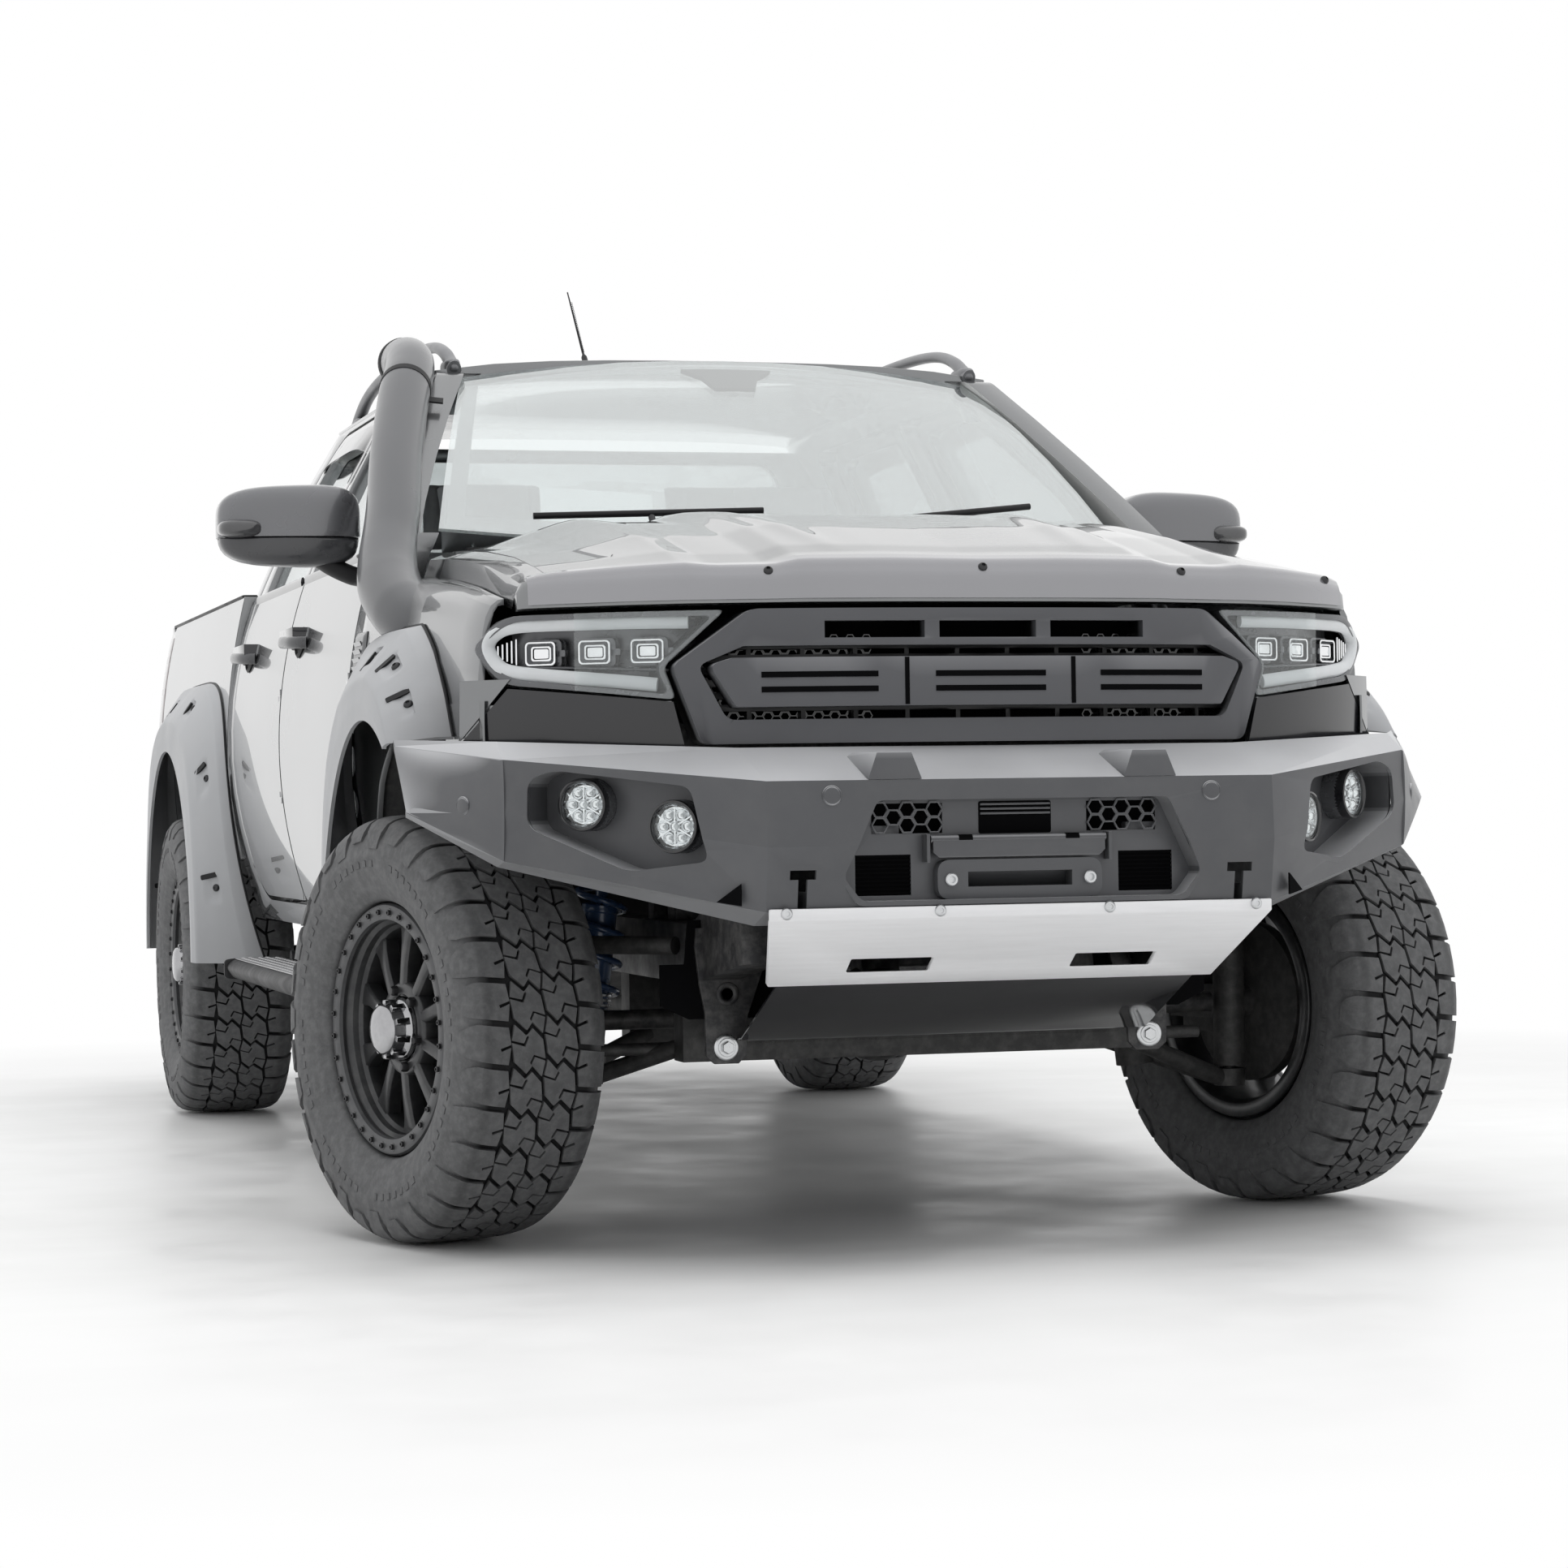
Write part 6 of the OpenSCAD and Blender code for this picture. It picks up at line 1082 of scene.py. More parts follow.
def make_front_brackets():
    """Pierced plates and pivot bolts by the ends of the skid plate, with black sheets of painted shade
    behind them.
    """
    plates, shields, bolts = builds(3)
    plate_y = -2.206
    edge = [(0.461, 0.586), (0.464, 0.552), (0.457, 0.483), (0.447, 0.430), (0.446, 0.352), (0.430, 0.338),
            (0.385, 0.338), (0.370, 0.354), (0.367, 0.424), (0.336, 0.511), (0.3335, 0.588)]
    shade_sheet_edge = [(0.475, 0.60), (0.482, 0.52), (0.528, 0.52), (0.528, 0.445), (0.475, 0.42), (0.315, 0.42),
                   (0.300, 0.60)]
    for s in (-1, 1):
        front_plate(plates, [(s * x, z) for x, z in edge], plate_y, plate_y + 0.010)
        for x, z, r in ((0.428, 0.560, 0.013), (0.395, 0.545, 0.009), (0.380, 0.515, 0.009),
                        (0.405, 0.465, 0.021)):
            m = axes_at((s * x, plate_y, z), (0, -1, 0))
            plates.lathe([(r, -0.002), (r, 0.003), (r * 0.8, 0.004), (r * 0.62, 0.004), (r * 0.55, 0.0),
                          (0.0, 0.0)],
                         m, 28)
        m = axes_at((s * 0.410, plate_y, 0.368), (-s * 0.12, -1, 0))
        bolts.lathe([(0.024, -0.002), (0.024, 0.005), (0.021, 0.007), (0.014, 0.007), (0.0, 0.007)], m, 40)
        bolts.bolt(m @ Vector((0, 0, 0.007)), m.col[2].to_3d(), 0.0125, 0.010, "hex")
        # black sheet of painted shade behind the plate, filling the gap
        front_plate(shields, [(s * x, z) for x, z in shade_sheet_edge], plate_y + 0.0105, plate_y + 0.0165)
    piece("front_bracket_plates", plates, "truck", black_steel, 0.0008, 30, segments=1)
    piece("front_bracket_shade_sheets", shields, "truck", painted_shade_black, 0.001, 30)
    piece("front_bracket_bolts", bolts, "truck", zinc, 0.0006, 30, segments=1)


def grille_front(x):
    """Front of the grille's middle bar."""
    return nose(x) - 2 * grille_out


def make_grille_details():
    """Honeycomb in the grille's corners behind the bars, black strips of painted shade for slots on the
    middle bar, and a black sheet of painted shade that hides the carrier.
    """
    def inside(x, z, g):
        if not 0.914 + g < z < 1.150 - g:
            return False
        edge = 0.508 + 0.048 * (z - 0.914) / 0.138 if z < 1.052 else 0.556 - 0.131 * (z - 1.052) / 0.098
        return abs(x) < edge - g * 1.1
    cells = []
    r = 0.0098
    for i in range(-34, 35):
        for k in range(-9, 10):
            x = i * 1.5 * r
            z = 1.03 + k * math.sqrt(3) * r + (math.sqrt(3) / 2 * r if i % 2 else 0)
            if inside(x, z, 0.048) and abs(x) > 0.20:
                cells.append((x, z))
    mesh = Build()
    hex_cells(mesh, cells, r * 0.98, r * 0.76, lambda x: nose(x) + 0.050, 0.006)
    piece("grille_honeycomb", mesh, "truck", gloss_black, degrees=30)
    # black strips on the middle bar: painted shade standing for its slots
    bar = Build()
    for x0, x1 in ((-0.452, -0.166), (-0.143, 0.143), (0.166, 0.452)):
        us = spaced(14, x0, x1 - x0)
        for z0, z1 in ((1.003, 1.013), (1.029, 1.039)):
            part = slab(lambda u, v: Vector((u, grille_front(u), z0 + (z1 - z0) * v)), us[2:-2], [0, 0.5, 1],
                        0.001,
                        0.003)
            bar.add(part)
    for x in (-0.1545, 0.1545):
        part = slab(lambda u, v: Vector((x + 0.004 * u, grille_front(x), 0.980 + 0.083 * v)), [-1, 0, 1],
                    [0, 0.5, 1],
                    0.001, 0.003)
        bar.add(part)
    piece("grille_bar_slot_shade", bar, "truck", painted_shade_black, degrees=30)
    sheet = slab(lambda u, v: Vector((u * 0.50, nose(u * 0.50) + 0.058, 0.93 + 0.21 * v)),
                 spaced(20, -1, 2),
                 spaced(4), 0.0, 0.002)
    piece("grille_shade_sheet", sheet, "truck", painted_shade_black)


flare_line = [(0, 0), (0.02, 0.22), (0.3, 0.62), (0.55, 0.95), (0.8, 1), (1, 1)]


def flare_point(axle, a, t, lip, front):
    """Point of a wheel flare at angle a and share t from its outer edge in to the arch."""
    reach = 1 / ((abs(math.cos(a)) / 0.640) ** 4 + (abs(math.sin(a)) / 0.712) ** 4) ** 0.25
    if front:
        reach = min(reach, np.interp(math.degrees(a), [50, 64, 76, 88, 100, 110, 117],
                                     [0.80, 0.785, 0.757, 0.722, 0.665, 0.607, 0.556]))
    arch_r, arch_z = 0.532, 0.445
    r = reach + (arch_r - reach) * t
    y, z = axle + r * math.cos(a), arch_z + r * math.sin(a)
    x = (wing_x(y, z) if front else bed_x(z)) + 0.0015
    out = np.interp(t, [p for p, _ in flare_line], [q for _, q in flare_line])
    return Vector((x + (lip - x) * out, y, z))


def make_flares():
    """Flares with bolt pockets pressed into their faces."""
    skins, bolts, seals, dark = builds(4)
    na, nt, bolt_t, thick = 150, 30, 0.30, 0.0075
    for axle, a0, a1, lip, front, spots in (
            (FRONT_AXLE, 4, 117, 1.003, True, (28, 56, 82, 97, 109)),
            (REAR_AXLE, -2, 182, 1.018, False, (18, 48, 82, 112, 140, 164))):
        sweep = [math.radians(a) for a in spaced(na, a0, a1 - a0)]
        for s in (-1, 1):
            def at(a, t):
                p = flare_point(axle, a, t, lip, front)
                dent = 0.0
                for spot in spots:
                    da, dt = (a - math.radians(spot)) / 0.055, (t - bolt_t) / 0.10
                    q = (da ** 4 + dt ** 4) ** 0.25
                    dent = max(dent, 0.011 * max(0.0, min(1.0, (1.0 - q) / 0.28)))
                return Vector((s * (p.x - dent), p.y, p.z))
            outer, inner = [], []
            for a in sweep:
                for t in spaced(nt):
                    p = at(a, t)
                    outer.append(p)
                    drawn_in = 0.006 * (1 - min(1.0, t / 0.5))
                    inner.append(p - Vector((s * thick * min(1.0, t / 0.25), math.cos(a) * drawn_in,
                                             math.sin(a) * drawn_in)))
            skins.put(outer + inner, sheet_faces(na + 1, nt + 1))
            for spot in spots:
                a = math.radians(spot)
                along = at(a + 0.01, bolt_t) - at(a - 0.01, bolt_t)
                inward = at(a, bolt_t + 0.03) - at(a, bolt_t - 0.03)
                nrm = along.cross(inward)
                nrm = nrm.normalized() * (1 if nrm.x * s > 0 else -1)
                bolts.bolt(at(a, bolt_t), nrm, 0.0095, 0.006)
                q = at(a - 0.050, 0.34)
                way = at(a - 0.050, 0.40) - at(a - 0.050, 0.28)
                dark.prism(rounded(-0.024, 0.024, -0.0065, 0.0065, 0.004), -0.004, 0.0022,
                           axes_at(q, nrm, way))
            edge = [at(a, 0.0) + Vector((s * 0.001, 0, 0)) for a in sweep]
            seals.tube(edge, 0.0032, 6)
    piece("wheel_flare_skins", skins, "truck", flare_grey, degrees=40,
          stands_for=["wheel_flares"])
    piece("wheel_flare_bolts", bolts, "truck", dark_bolt)
    piece("wheel_flare_seals", seals, "truck", black_plastic)
    piece("wheel_flare_slots", dark, "truck", black_plastic, degrees=30)


def make_snorkel():
    """Air intake along the right pillar, with its collars."""
    pts = [(-0.838, -1.655, 1.158), (-0.866, -1.600, 1.178), (-0.882, -1.520, 1.214),
           (-0.884, -1.440, 1.258), (-0.870, -1.350, 1.322),
           (-0.838, -1.230, 1.416), (-0.800, -1.060, 1.548), (-0.750, -0.870, 1.690),
           (-0.722, -0.778, 1.748),
           (-0.708, -0.715, 1.778), (-0.700, -0.655, 1.793), (-0.695, -0.595, 1.801),
           (-0.693, -0.548, 1.803)]
    path = smooth_path(pts, 7)
    n = len(path)
    wide = [float(np.interp(i / (n - 1), [0, 0.12, 0.24, 0.36, 0.8, 0.95, 1],
                            [0.050, 0.064, 0.064, 0.056, 0.053, 0.054, 0.053])) for i in range(n)]
    tube = swept(path, wide, wide, 36)
    # its inner side is flat where the bonnet's edge runs past it
    tube.v = [(min(x, float(np.interp(y, [-1.297, -1.02, -0.80], [-0.8035, -0.700, -0.600]))), y, z) for x,
              y,
              z in tube.v]
    piece("snorkel_tube", tube, "truck", snorkel_grey, degrees=50, stands_for=["snorkel"])
    collar = Build()
    m = axes_at(path[-1], (path[-1] - path[-3]).normalized())
    collar.lathe([(0.0545, -0.016), (0.0565, -0.012), (0.0565, 0.010), (0.052, 0.013), (0.045, 0.012),
                  (0.044, 0.002), (0, 0.002)], m, 44)
    for k in range(-3, 4):
        x = k * 0.011
        h = math.sqrt(max(0.0, 0.043 ** 2 - x * x))
        collar.prism([(x - 0.0015, -h), (x + 0.0015, -h), (x + 0.0015, h), (x - 0.0015, h)], 0.0, 0.009, m)
    i = int(n * 0.60)
    d = (path[i + 1] - path[i - 1]).normalized()
    collar.lathe([(0.0535, -0.011), (0.0558, -0.009), (0.0558, 0.009), (0.0535, 0.011)], axes_at(path[i], d),
                 40)
    collar.prism([(-0.01, -0.011), (0.040, -0.011), (0.040, 0.011), (-0.01, 0.011)], -0.002, 0.002,
                 axes_at(path[i] + Vector((0.045, 0.02, -0.02)), (0, -0.55, 0.83), (1, 0, -0.35)))
    piece("snorkel_collars", collar, "truck", black_plastic, degrees=30)


def rounded_box(centre, radii, power=4.0, nu=48, nv=28, limit=None):
    """A box with fully rounded sides; limit(p) may flatten it."""
    verts = []
    for v in spaced(nv, -math.pi / 2, math.pi):
        for u in around(nu):
            d = Vector((math.cos(v) * math.cos(u), math.cos(v) * math.sin(u), math.sin(v)))
            k = (abs(d.x) ** power + abs(d.y) ** power + abs(d.z) ** power) ** (-1 / power)
            p = Vector((d.x * k * radii[0], d.y * k * radii[1], d.z * k * radii[2])) + Vector(centre)
            verts.append(limit(p) if limit else p)
    return Build().put(verts, tube_faces(nv + 1, nu, caps=False))


def make_mirrors():
    """Shells, glass, indicators and stalks of the mirrors."""
    for s, side in ((-1, "right"), (1, "left")):
        centre = (s * 1.006, -0.905, 1.411)

        def shape(p, low, high):
            t = max(0.0, min(1.0, (s * p.x - 0.857) / 0.298))
            p.z = 1.411 + (p.z - 1.411) * (1 - 0.16 * t ** 3)
            p.y = -0.905 + (p.y + 0.905) * (1 - 0.25 * t ** 2) + 0.02 * t * t
            p.y = min(p.y, -0.856)
            p.z = min(max(p.z, low), high)
            return p
        upper = rounded_box(centre, (0.1490, 0.070, 0.087), 4.2, limit=lambda p: shape(p, 1.386, 2))
        lower = rounded_box(centre, (0.1460, 0.067, 0.087), 4.2, limit=lambda p: shape(p, 0, 1.3845))
        body = "door_front_" + side
        piece("mirror_cap_" + side, upper, body, mirror_grey, degrees=40)
        piece("mirror_base_" + side, lower, body, dark_handle, degrees=40,
              stands_for=["mirror_" + side])
        lamp = rounded_box((s * 1.110, -0.924, 1.403), (0.0465, 0.044, 0.0200), 3.0, 28, 16)
        piece("mirror_indicator_" + side, lamp, body, smoke_lens, degrees=50)
        face = Build()
        front_plate(face, [(s * x, z) for x, z in rounded(0.880, 1.128, 1.338, 1.480, 0.03, 6)], -0.8572,
                    -0.8535)
        piece("mirror_glass_" + side, face, body, chrome, 0.001)
        stalk = swept(smooth_path([(s * 0.852, -0.92, 1.300), (s * 0.880, -0.92, 1.308),
                                   (s * 0.915, -0.915, 1.325),
                                   (s * 0.945, -0.91, 1.345)], 4),
                      0.032, 0.020, 18, roll=(0, 1, 0))
        piece("mirror_stalk_" + side, stalk, body, black_plastic, degrees=40)


def make_facia():
    """Dark panels between the headlamps and the bumper."""
    def at(u, v):
        inner, outer = 0.53 + 0.02 * v, 0.882 - 0.072 * v
        low, high = 0.9065 + 0.018 * u, 0.990 + 0.030 * u
        x = inner + (outer - inner) * u
        return Vector((x, nose(x) + 0.0095 - 0.004 * v, low + (high - low) * v))
    panels = Build()
    panels.pair(slab(at, spaced(24), spaced(8), 0.0015, 0.004))
    piece("facia_panels", panels, "truck", facia_black, degrees=30)

    def skirt(u, v):
        z = 0.928 + 0.072 * v
        y = -2.215 + 0.215 * u
        return Vector((wing_x(y, z), y, z))
    skirts = Build()
    skirts.pair(slab(skirt, spaced(20), spaced(6), 0.0005, 0.004))

    def corner(u, v):
        z = 0.925 + 0.112 * v
        x = 0.886 - 0.080 * v + (0.078 * v - 0.002) * u
        return Vector((x, nose(x) + 0.0085, z))
    skirts.pair(slab(corner, spaced(12), spaced(8), 0.0005, 0.004))
    piece("wing_skirts", skirts, "truck", paint, degrees=30)


def make_roof_rails():
    """Rails on the roof, and the aerial."""
    line = [(-0.650, 1.779), (-0.612, 1.797), (-0.545, 1.827), (-0.44, 1.852), (-0.28, 1.866),
            (-0.05, 1.8705), (0.2, 1.868), (0.4, 1.857), (0.54, 1.838), (0.64, 1.810), (0.705, 1.783)]
    path = smooth_path([(0.598, y, z) for y, z in line], 6)
    n = len(path)
    tall = [0.0125 + 0.008 * abs(2 * i / (n - 1) - 1) ** 5 for i in range(n)]
    rails, mast = builds(2)
    rails.pair(swept(path, 0.0155, tall, 20))
    for y in (-0.600, 0.645):
        rails.pair(rounded_box((0.598, y, 1.788), (0.0168, 0.055, 0.018), 3.5, 32, 18))
    piece("roof_rail_bars", rails, "truck", rail_grey, degrees=50, stands_for=["roof_rails"])
    foot, tip = Vector((-0.22, -0.30, 1.822)), Vector((-0.22, -0.105, 2.032))
    out = (tip - foot).normalized()
    mast.lathe([(0.028, -0.004), (0.027, 0.006), (0.018, 0.016), (0.010, 0.022), (0.0, 0.024)],
               axes_at(foot, (0, 0.12, 1)), 32)
    base = foot + Vector((0, 0.004, 0.014))
    mast.lathe([(0.0072, 0.0), (0.0068, 0.030), (0.0045, 0.036), (0.0030, 0.040),
                (0.0016, (tip - base).length),
                (0, (tip - base).length)],
               axes_at(base, tip - base), 14)
    for k in range(26):
        mast.lathe([(0.0030, -0.001), (0.0036, 0.0), (0.0030, 0.001)],
                   axes_at(base + out * (0.05 + 0.007 * k), out),
                   10)
    piece("aerial", mast, "truck", black_plastic, degrees=40)


def make_doors():
    """Handles with their cups, sills of the windows, and rain shields over them."""
    for s, side in ((-1, "right"), (1, "left")):
        for door, yh, y0, y1, r0, r1 in (("front", -0.36, -0.99, -0.166, -0.60, -0.175),
                                         ("rear", 0.50, -0.108, 0.668, -0.095, 0.56)):
            body = "door_%s_%s" % (door, side)
            grip, cup, strip = builds(3)
            zh, sill_z = 1.190, 1.3415
            arc = [(-0.100, 0.004), (-0.092, 0.020), (-0.066, 0.034), (-0.02, 0.040), (0.03, 0.0405),
                   (0.07, 0.035), (0.093, 0.020), (0.100, 0.004)]
            path = smooth_path([(s * (side_x(zh) + d), yh + dy, zh + 0.004 * dy / 0.1) for dy, d in arc], 5)
            bar = swept(path, 0.0135, 0.0085, 16, roll=(0, 0, 1))
            grip.add(bar)
            lock = axes_at((s * (side_x(zh - 0.001) + 0.001), yh + 0.118, zh), (s, 0, 0.05))
            grip.lathe([(0.0125, -0.004), (0.0125, 0.003), (0.0105, 0.0055), (0.004, 0.0055),
                        (0.0035, 0.003), (0, 0.003)], lock, 24)

            def dish(u, v):
                a = 2 * math.pi * u
                c, d = math.cos(a), math.sin(a)
                y = yh + 0.064 * v * math.copysign(abs(c) ** 1.35, c)
                z = zh + 0.034 * v * math.copysign(abs(d) ** 1.35, d)
                return Vector((side_x(z) + 0.0012 + 0.0042 * max(0.0, 1 - abs(v - 0.86) / 0.14), y, z))
            bowl = slab(dish, spaced(48), spaced(14, 0.04, 0.96), 0.0, 0.003)
            cup.put([(s * x, y, z) for x, y, z in bowl.v], bowl.f)
            rail = [(s * (side_x(sill_z) + 0.0035), y, sill_z) for y in spaced(16, y0, y1 - y0)]
            belt = swept(rail, 0.0125, 0.0050, 12, roll=(0, 0, 1))
            strip.add(belt)

            def shield(u, v):
                z = 1.668 + 0.058 * v
                y = r0 + (r1 - r0) * u
                end = min(1.0, min(u, 1 - u) / 0.12) ** 0.5
                return Vector((side_x(z) + 0.004 + 0.011 * (1 - v) * end, y, z - 0.018 * (2 * u - 1) ** 4))
            visor = slab(shield, spaced(30), spaced(6), 0.0, 0.0035)
            strip.put([(s * x, y, z) for x, y, z in visor.v], visor.f)
            piece("handle_%s_%s" % (door, side), grip, body, dark_handle, degrees=40)
            piece("handle_cup_%s_%s" % (door, side), cup, body, black_plastic, degrees=40)
            piece("window_trim_%s_%s" % (door, side), strip, body, gloss_black, degrees=40)


def reach(name, axis, place, x_of):
    """Lowest and highest point of a node's outer skin where axis = place, along the other flat axis."""
    mesh = nodes[name].data
    co = np.empty(len(mesh.vertices) * 3)
    mesh.vertices.foreach_get("co", co)
    co = co.reshape(-1, 3)
    ends = np.empty(len(mesh.edges) * 2, dtype=np.int64)
    mesh.edges.foreach_get("vertices", ends)
    a, b = co[ends[0::2]], co[ends[1::2]]
    cross = (a[:, axis] - place) * (b[:, axis] - place) < 0
    a, b = a[cross], b[cross]
    t = ((place - a[:, axis]) / (b[:, axis] - a[:, axis]))[:, None]
    p = a + (b - a) * t
    skin = p[np.abs(p[:, 0] - np.array([x_of(z) for z in p[:, 2]])) < 0.003]
    other = skin[:, 3 - axis]
    return float(other.min()), float(other.max())


def make_panel_skins():
    """Painted skins that round off the facets of the doors and the bed's sides."""
    edge, lift, thick, belt = 0.002, 0.0010, 0.0016, 1.334
    for door in ("front", "rear"):
        left = "door_%s_left" % door
        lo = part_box(left)[0]
        low = lo[2] + edge
        rows = spaced(60, low, belt - low)
        ends = [reach(left, 2, z + 0.0003, side_x)[1] - edge for z in rows]

        def at(u, v):
            z = low + (belt - low) * v
            corner = 0.030 - math.sqrt(0.030 ** 2 - max(0.0, 0.030 - (z - low)) ** 2)
            y0, y1 = lo[1] + edge + corner, float(np.interp(z, rows, ends))
            return Vector((side_x(z), y0 + (y1 - y0) * u, z))
        sheet = slab(at, spaced(30), spaced(60), lift, thick)
        piece("door_skin_%s_left" % door, sheet, left, paint, degrees=30)
        piece("door_skin_%s_right" % door, Build().add(sheet, MIRROR), "door_%s_right" % door, paint,
              degrees=30)
    lo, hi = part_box("load_bed")
    y0, y1 = lo[1] + edge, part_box("tail_lamps")[0][1] - edge
    stations = spaced(80, y0, y1 - y0)
    floors = [reach("load_bed", 1, y + 0.0003, bed_x)[0] + edge for y in stations]

    def bed(u, v):
        y = y0 + (y1 - y0) * u
        z0 = float(np.interp(y, stations, floors))
        z = z0 + (hi[2] - edge - z0) * v
        return Vector((bed_x(z), y, z))
    skins = Build()
    skins.pair(slab(bed, spaced(80), spaced(30), lift, thick))
    piece("bed_skins", skins, "truck", paint, degrees=30)


def make_wing_vents():
    """Blank vent on each front wing, behind the flare."""
    plate, fins = builds(2)

    def at(u, v):
        z = 1.072 + 0.098 * v
        y = -1.325 + 0.030 * v + 0.118 * u
        edge = min(1.0, min(u, 1 - u) / 0.10, min(v, 1 - v) / 0.10)
        return Vector((wing_x(y, z) + 0.0008 + 0.005 * edge, y, z))
    plate.pair(slab(at, spaced(28), spaced(20), 0.0, 0.0045))
    for k in range(4):
        v0 = 0.20 + 0.17 * k

        def fin(u, v):
            p = at(0.16 + 0.66 * u, v0 + 0.085 * v)
            return p + Vector((0.0012 + 0.0045 * v, 0, 0))
        fins.pair(slab(fin, spaced(10), spaced(3), 0.0, 0.003))
    piece("wing_vent_plates", plate, "truck", dark_handle, degrees=40)
    piece("wing_vent_fins", fins, "truck", chrome_dark, degrees=40)


def make_steps():
    """Studded tread plates and end caps on the side steps."""
    plate, caps = builds(2)
    x0, x1, y0, y1, z = 0.822, 0.938, -1.068, 0.622, 0.4418
    for s in (-1, 1):
        plate.prism(rounded(*sorted((s * x0, s * x1)), y0, y1, 0.012), z, z + 0.0022)
        for i in range(5):
            for k in range(84):
                x, y = x0 + 0.016 + 0.021 * i, y0 + 0.018 + 0.0200 * k + (0.010 if i % 2 else 0)
                if y > y1 - 0.012:
                    continue
                long, wide = (0.0072, 0.0026) if (i + k) % 2 else (0.0026, 0.0072)
                plate.prism([(s * x - long, y), (s * x, y - wide), (s * x + long, y), (s * x, y + wide)],
                            z + 0.0021,
                            z + 0.0046, None, 0.0012)
        for y in (y0 - 0.006, y1 + 0.006):
            box = rounded_box((s * 0.881, y, 0.417), (0.0835, 0.010, 0.0262), 7, 40, 18)
            caps.add(box)
    piece("step_treads", plate, "truck", tread_plate, 0.0004, 30, segments=1)
    piece("step_end_caps", caps, "truck", black_plastic, degrees=40)


def pad(build, m, w, l, h, crown=0.012, bolster=0.0, across=(), along=(), n=72):
    """A stuffed pad on the plane z = 0 of m: crowned, sides drawn in, with sewn channels."""
    t = [math.sin(math.pi / 2 * (2 * k / n - 1)) for k in range(n + 1)]
    top, low = [], []
    for u in t:
        for v in t:
            x, y = u * w / 2 * (1 - 0.03 * (1 - v * v)), v * l / 2 * (1 - 0.03 * (1 - u * u))
            z = h * ((1 - abs(u) ** 7) * (1 - abs(v) ** 7)) ** 0.36
            inner = (1 - u * u) * (1 - v * v)
            rise = max(0.0, min(1.0, (abs(u) - 0.58) / 0.26))
            z += crown * inner + bolster * rise * rise * (3 - 2 * rise) * (1 - abs(u) ** 10) * (1 - v ** 6)
            if abs(u) < 0.66 or not bolster:
                z -= 0.009 * sum(math.exp(-((y - c) / 0.0075) ** 2) for c in across) * min(1.0, z / h)
            z -= 0.009 * sum(math.exp(-((abs(x) - c) / 0.0075) ** 2) for c in along) * min(1.0, z / h)
            top.append((x, y, max(z, 0.0)))
            low.append((x, y, 0.0))
    return build.put(top + low, sheet_faces(n + 1, n + 1, sides=False), m)


def make_seats():
    """Padded seats with their headrests."""
    plinths, posts = builds(2)
    rows = [("right", -0.37, -0.585, 0.5, 18, (0,), True), ("left", 0.37, -0.585, 0.5, 18, (0,), True),
            ("rear", 0.0, 0.065, 1.28, 7, (-0.32, 0.32), False)]
    for name, x, y, wide, lean, heads, bucket in rows:
        a = math.radians(lean)
        up, deep = Vector((0, math.sin(a), math.cos(a))), Vector((0, math.cos(a), -math.sin(a)))
        seat, back = builds(2)
        thirds = (0.155,) if bucket else (0.115, 0.32, 0.525)
        pad(seat, axes_at((x, y + 0.25, 0.812), (0, 0, 1), (1, 0, 0)), wide, 0.50, 0.102, 0.010,
            0.020 if bucket else 0.0,
            (-0.13, -0.03, 0.07), thirds)
        root = Vector((x, y + 0.39, 0.865))
        pad(back, axes_at(root + up * 0.31 + deep * 0.108, -deep, (1, 0, 0)), wide, 0.618, 0.100, 0.010,
            0.022 if bucket else 0.0,
            (-0.16, -0.05, 0.06, 0.17), thirds)
        for h in heads:
            rest = Build()
            pad(rest, axes_at(root + Vector((h, 0, 0)) + up * 0.705 + deep * 0.100, -deep, (1, 0, 0)), 0.25,
                0.165,
                0.070, 0.006, 0, (), (0.085,), 40)
            obj = piece("headrest_%s_%d" % (name, 0 if h <= 0 else 1), rest, "truck", seat_cloth,
                        degrees=60)
            for d in (-0.055, 0.055):
                low = root + Vector((h + d, 0, 0)) + up * 0.59 + deep * 0.058
                posts.tube([low, low + up * 0.06], 0.006, 12)
            plinths.box((x + h - 0.138, y + 0.064, 0.582), (x + h + 0.138, y + 0.436, 0.811))
        obj = piece("seat_cushion_" + name, seat, "truck", seat_cloth, degrees=60,
                    stands_for=["seats"] if name == "rear" else ())
        obj = piece("seat_back_" + name, back, "truck", seat_cloth, degrees=60)
    piece("seat_plinths", plinths, "truck", black_plastic, 0.012, 30, segments=3)
    piece("headrest_posts", posts, "truck", chrome)


def make_screen_details():
    """Printed border and camera pod behind the windscreen."""
    band, pod, lens = builds(3)
    wide = spaced(60, -0.985, 1.97)
    tall = spaced(20, 0.03, 0.95)
    for us, vs in ((wide, [0.03, 0.05, 0.075, 0.09]), (wide, [0.945, 0.96, 0.98]),
                   ([0.935, 0.96, 0.985], tall),
                   ([-0.985, -0.96, -0.935], tall)):
        part = slab(screen, us, vs, -0.012, 0.0012)
        band.add(part)
    part = slab(lambda u,
                v: screen(u * (0.13 - 0.055 * v) if v > 0.35 else u * (0.175 - 0.11 * v / 0.35 * 0.5),
                                    0.945 - 0.135 * v),
                spaced(24, -1, 2), spaced(10), 0.013, 0.010)
    pod.add(part)
    eye = screen(0.0, 0.845)
    lens.lathe([(0.016, 0.0), (0.015, 0.006), (0.010, 0.004), (0.0, 0.003)],
               axes_at(eye + Vector((0, 0.022, -0.03)), (0, -0.6, 0.8)), 24)
    piece("screen_border", band, "truck", frit, degrees=30)
    piece("screen_camera_pod", pod, "truck", black_plastic, degrees=30)
    piece("screen_camera_lens", lens, "truck", chrome_dark, degrees=30)


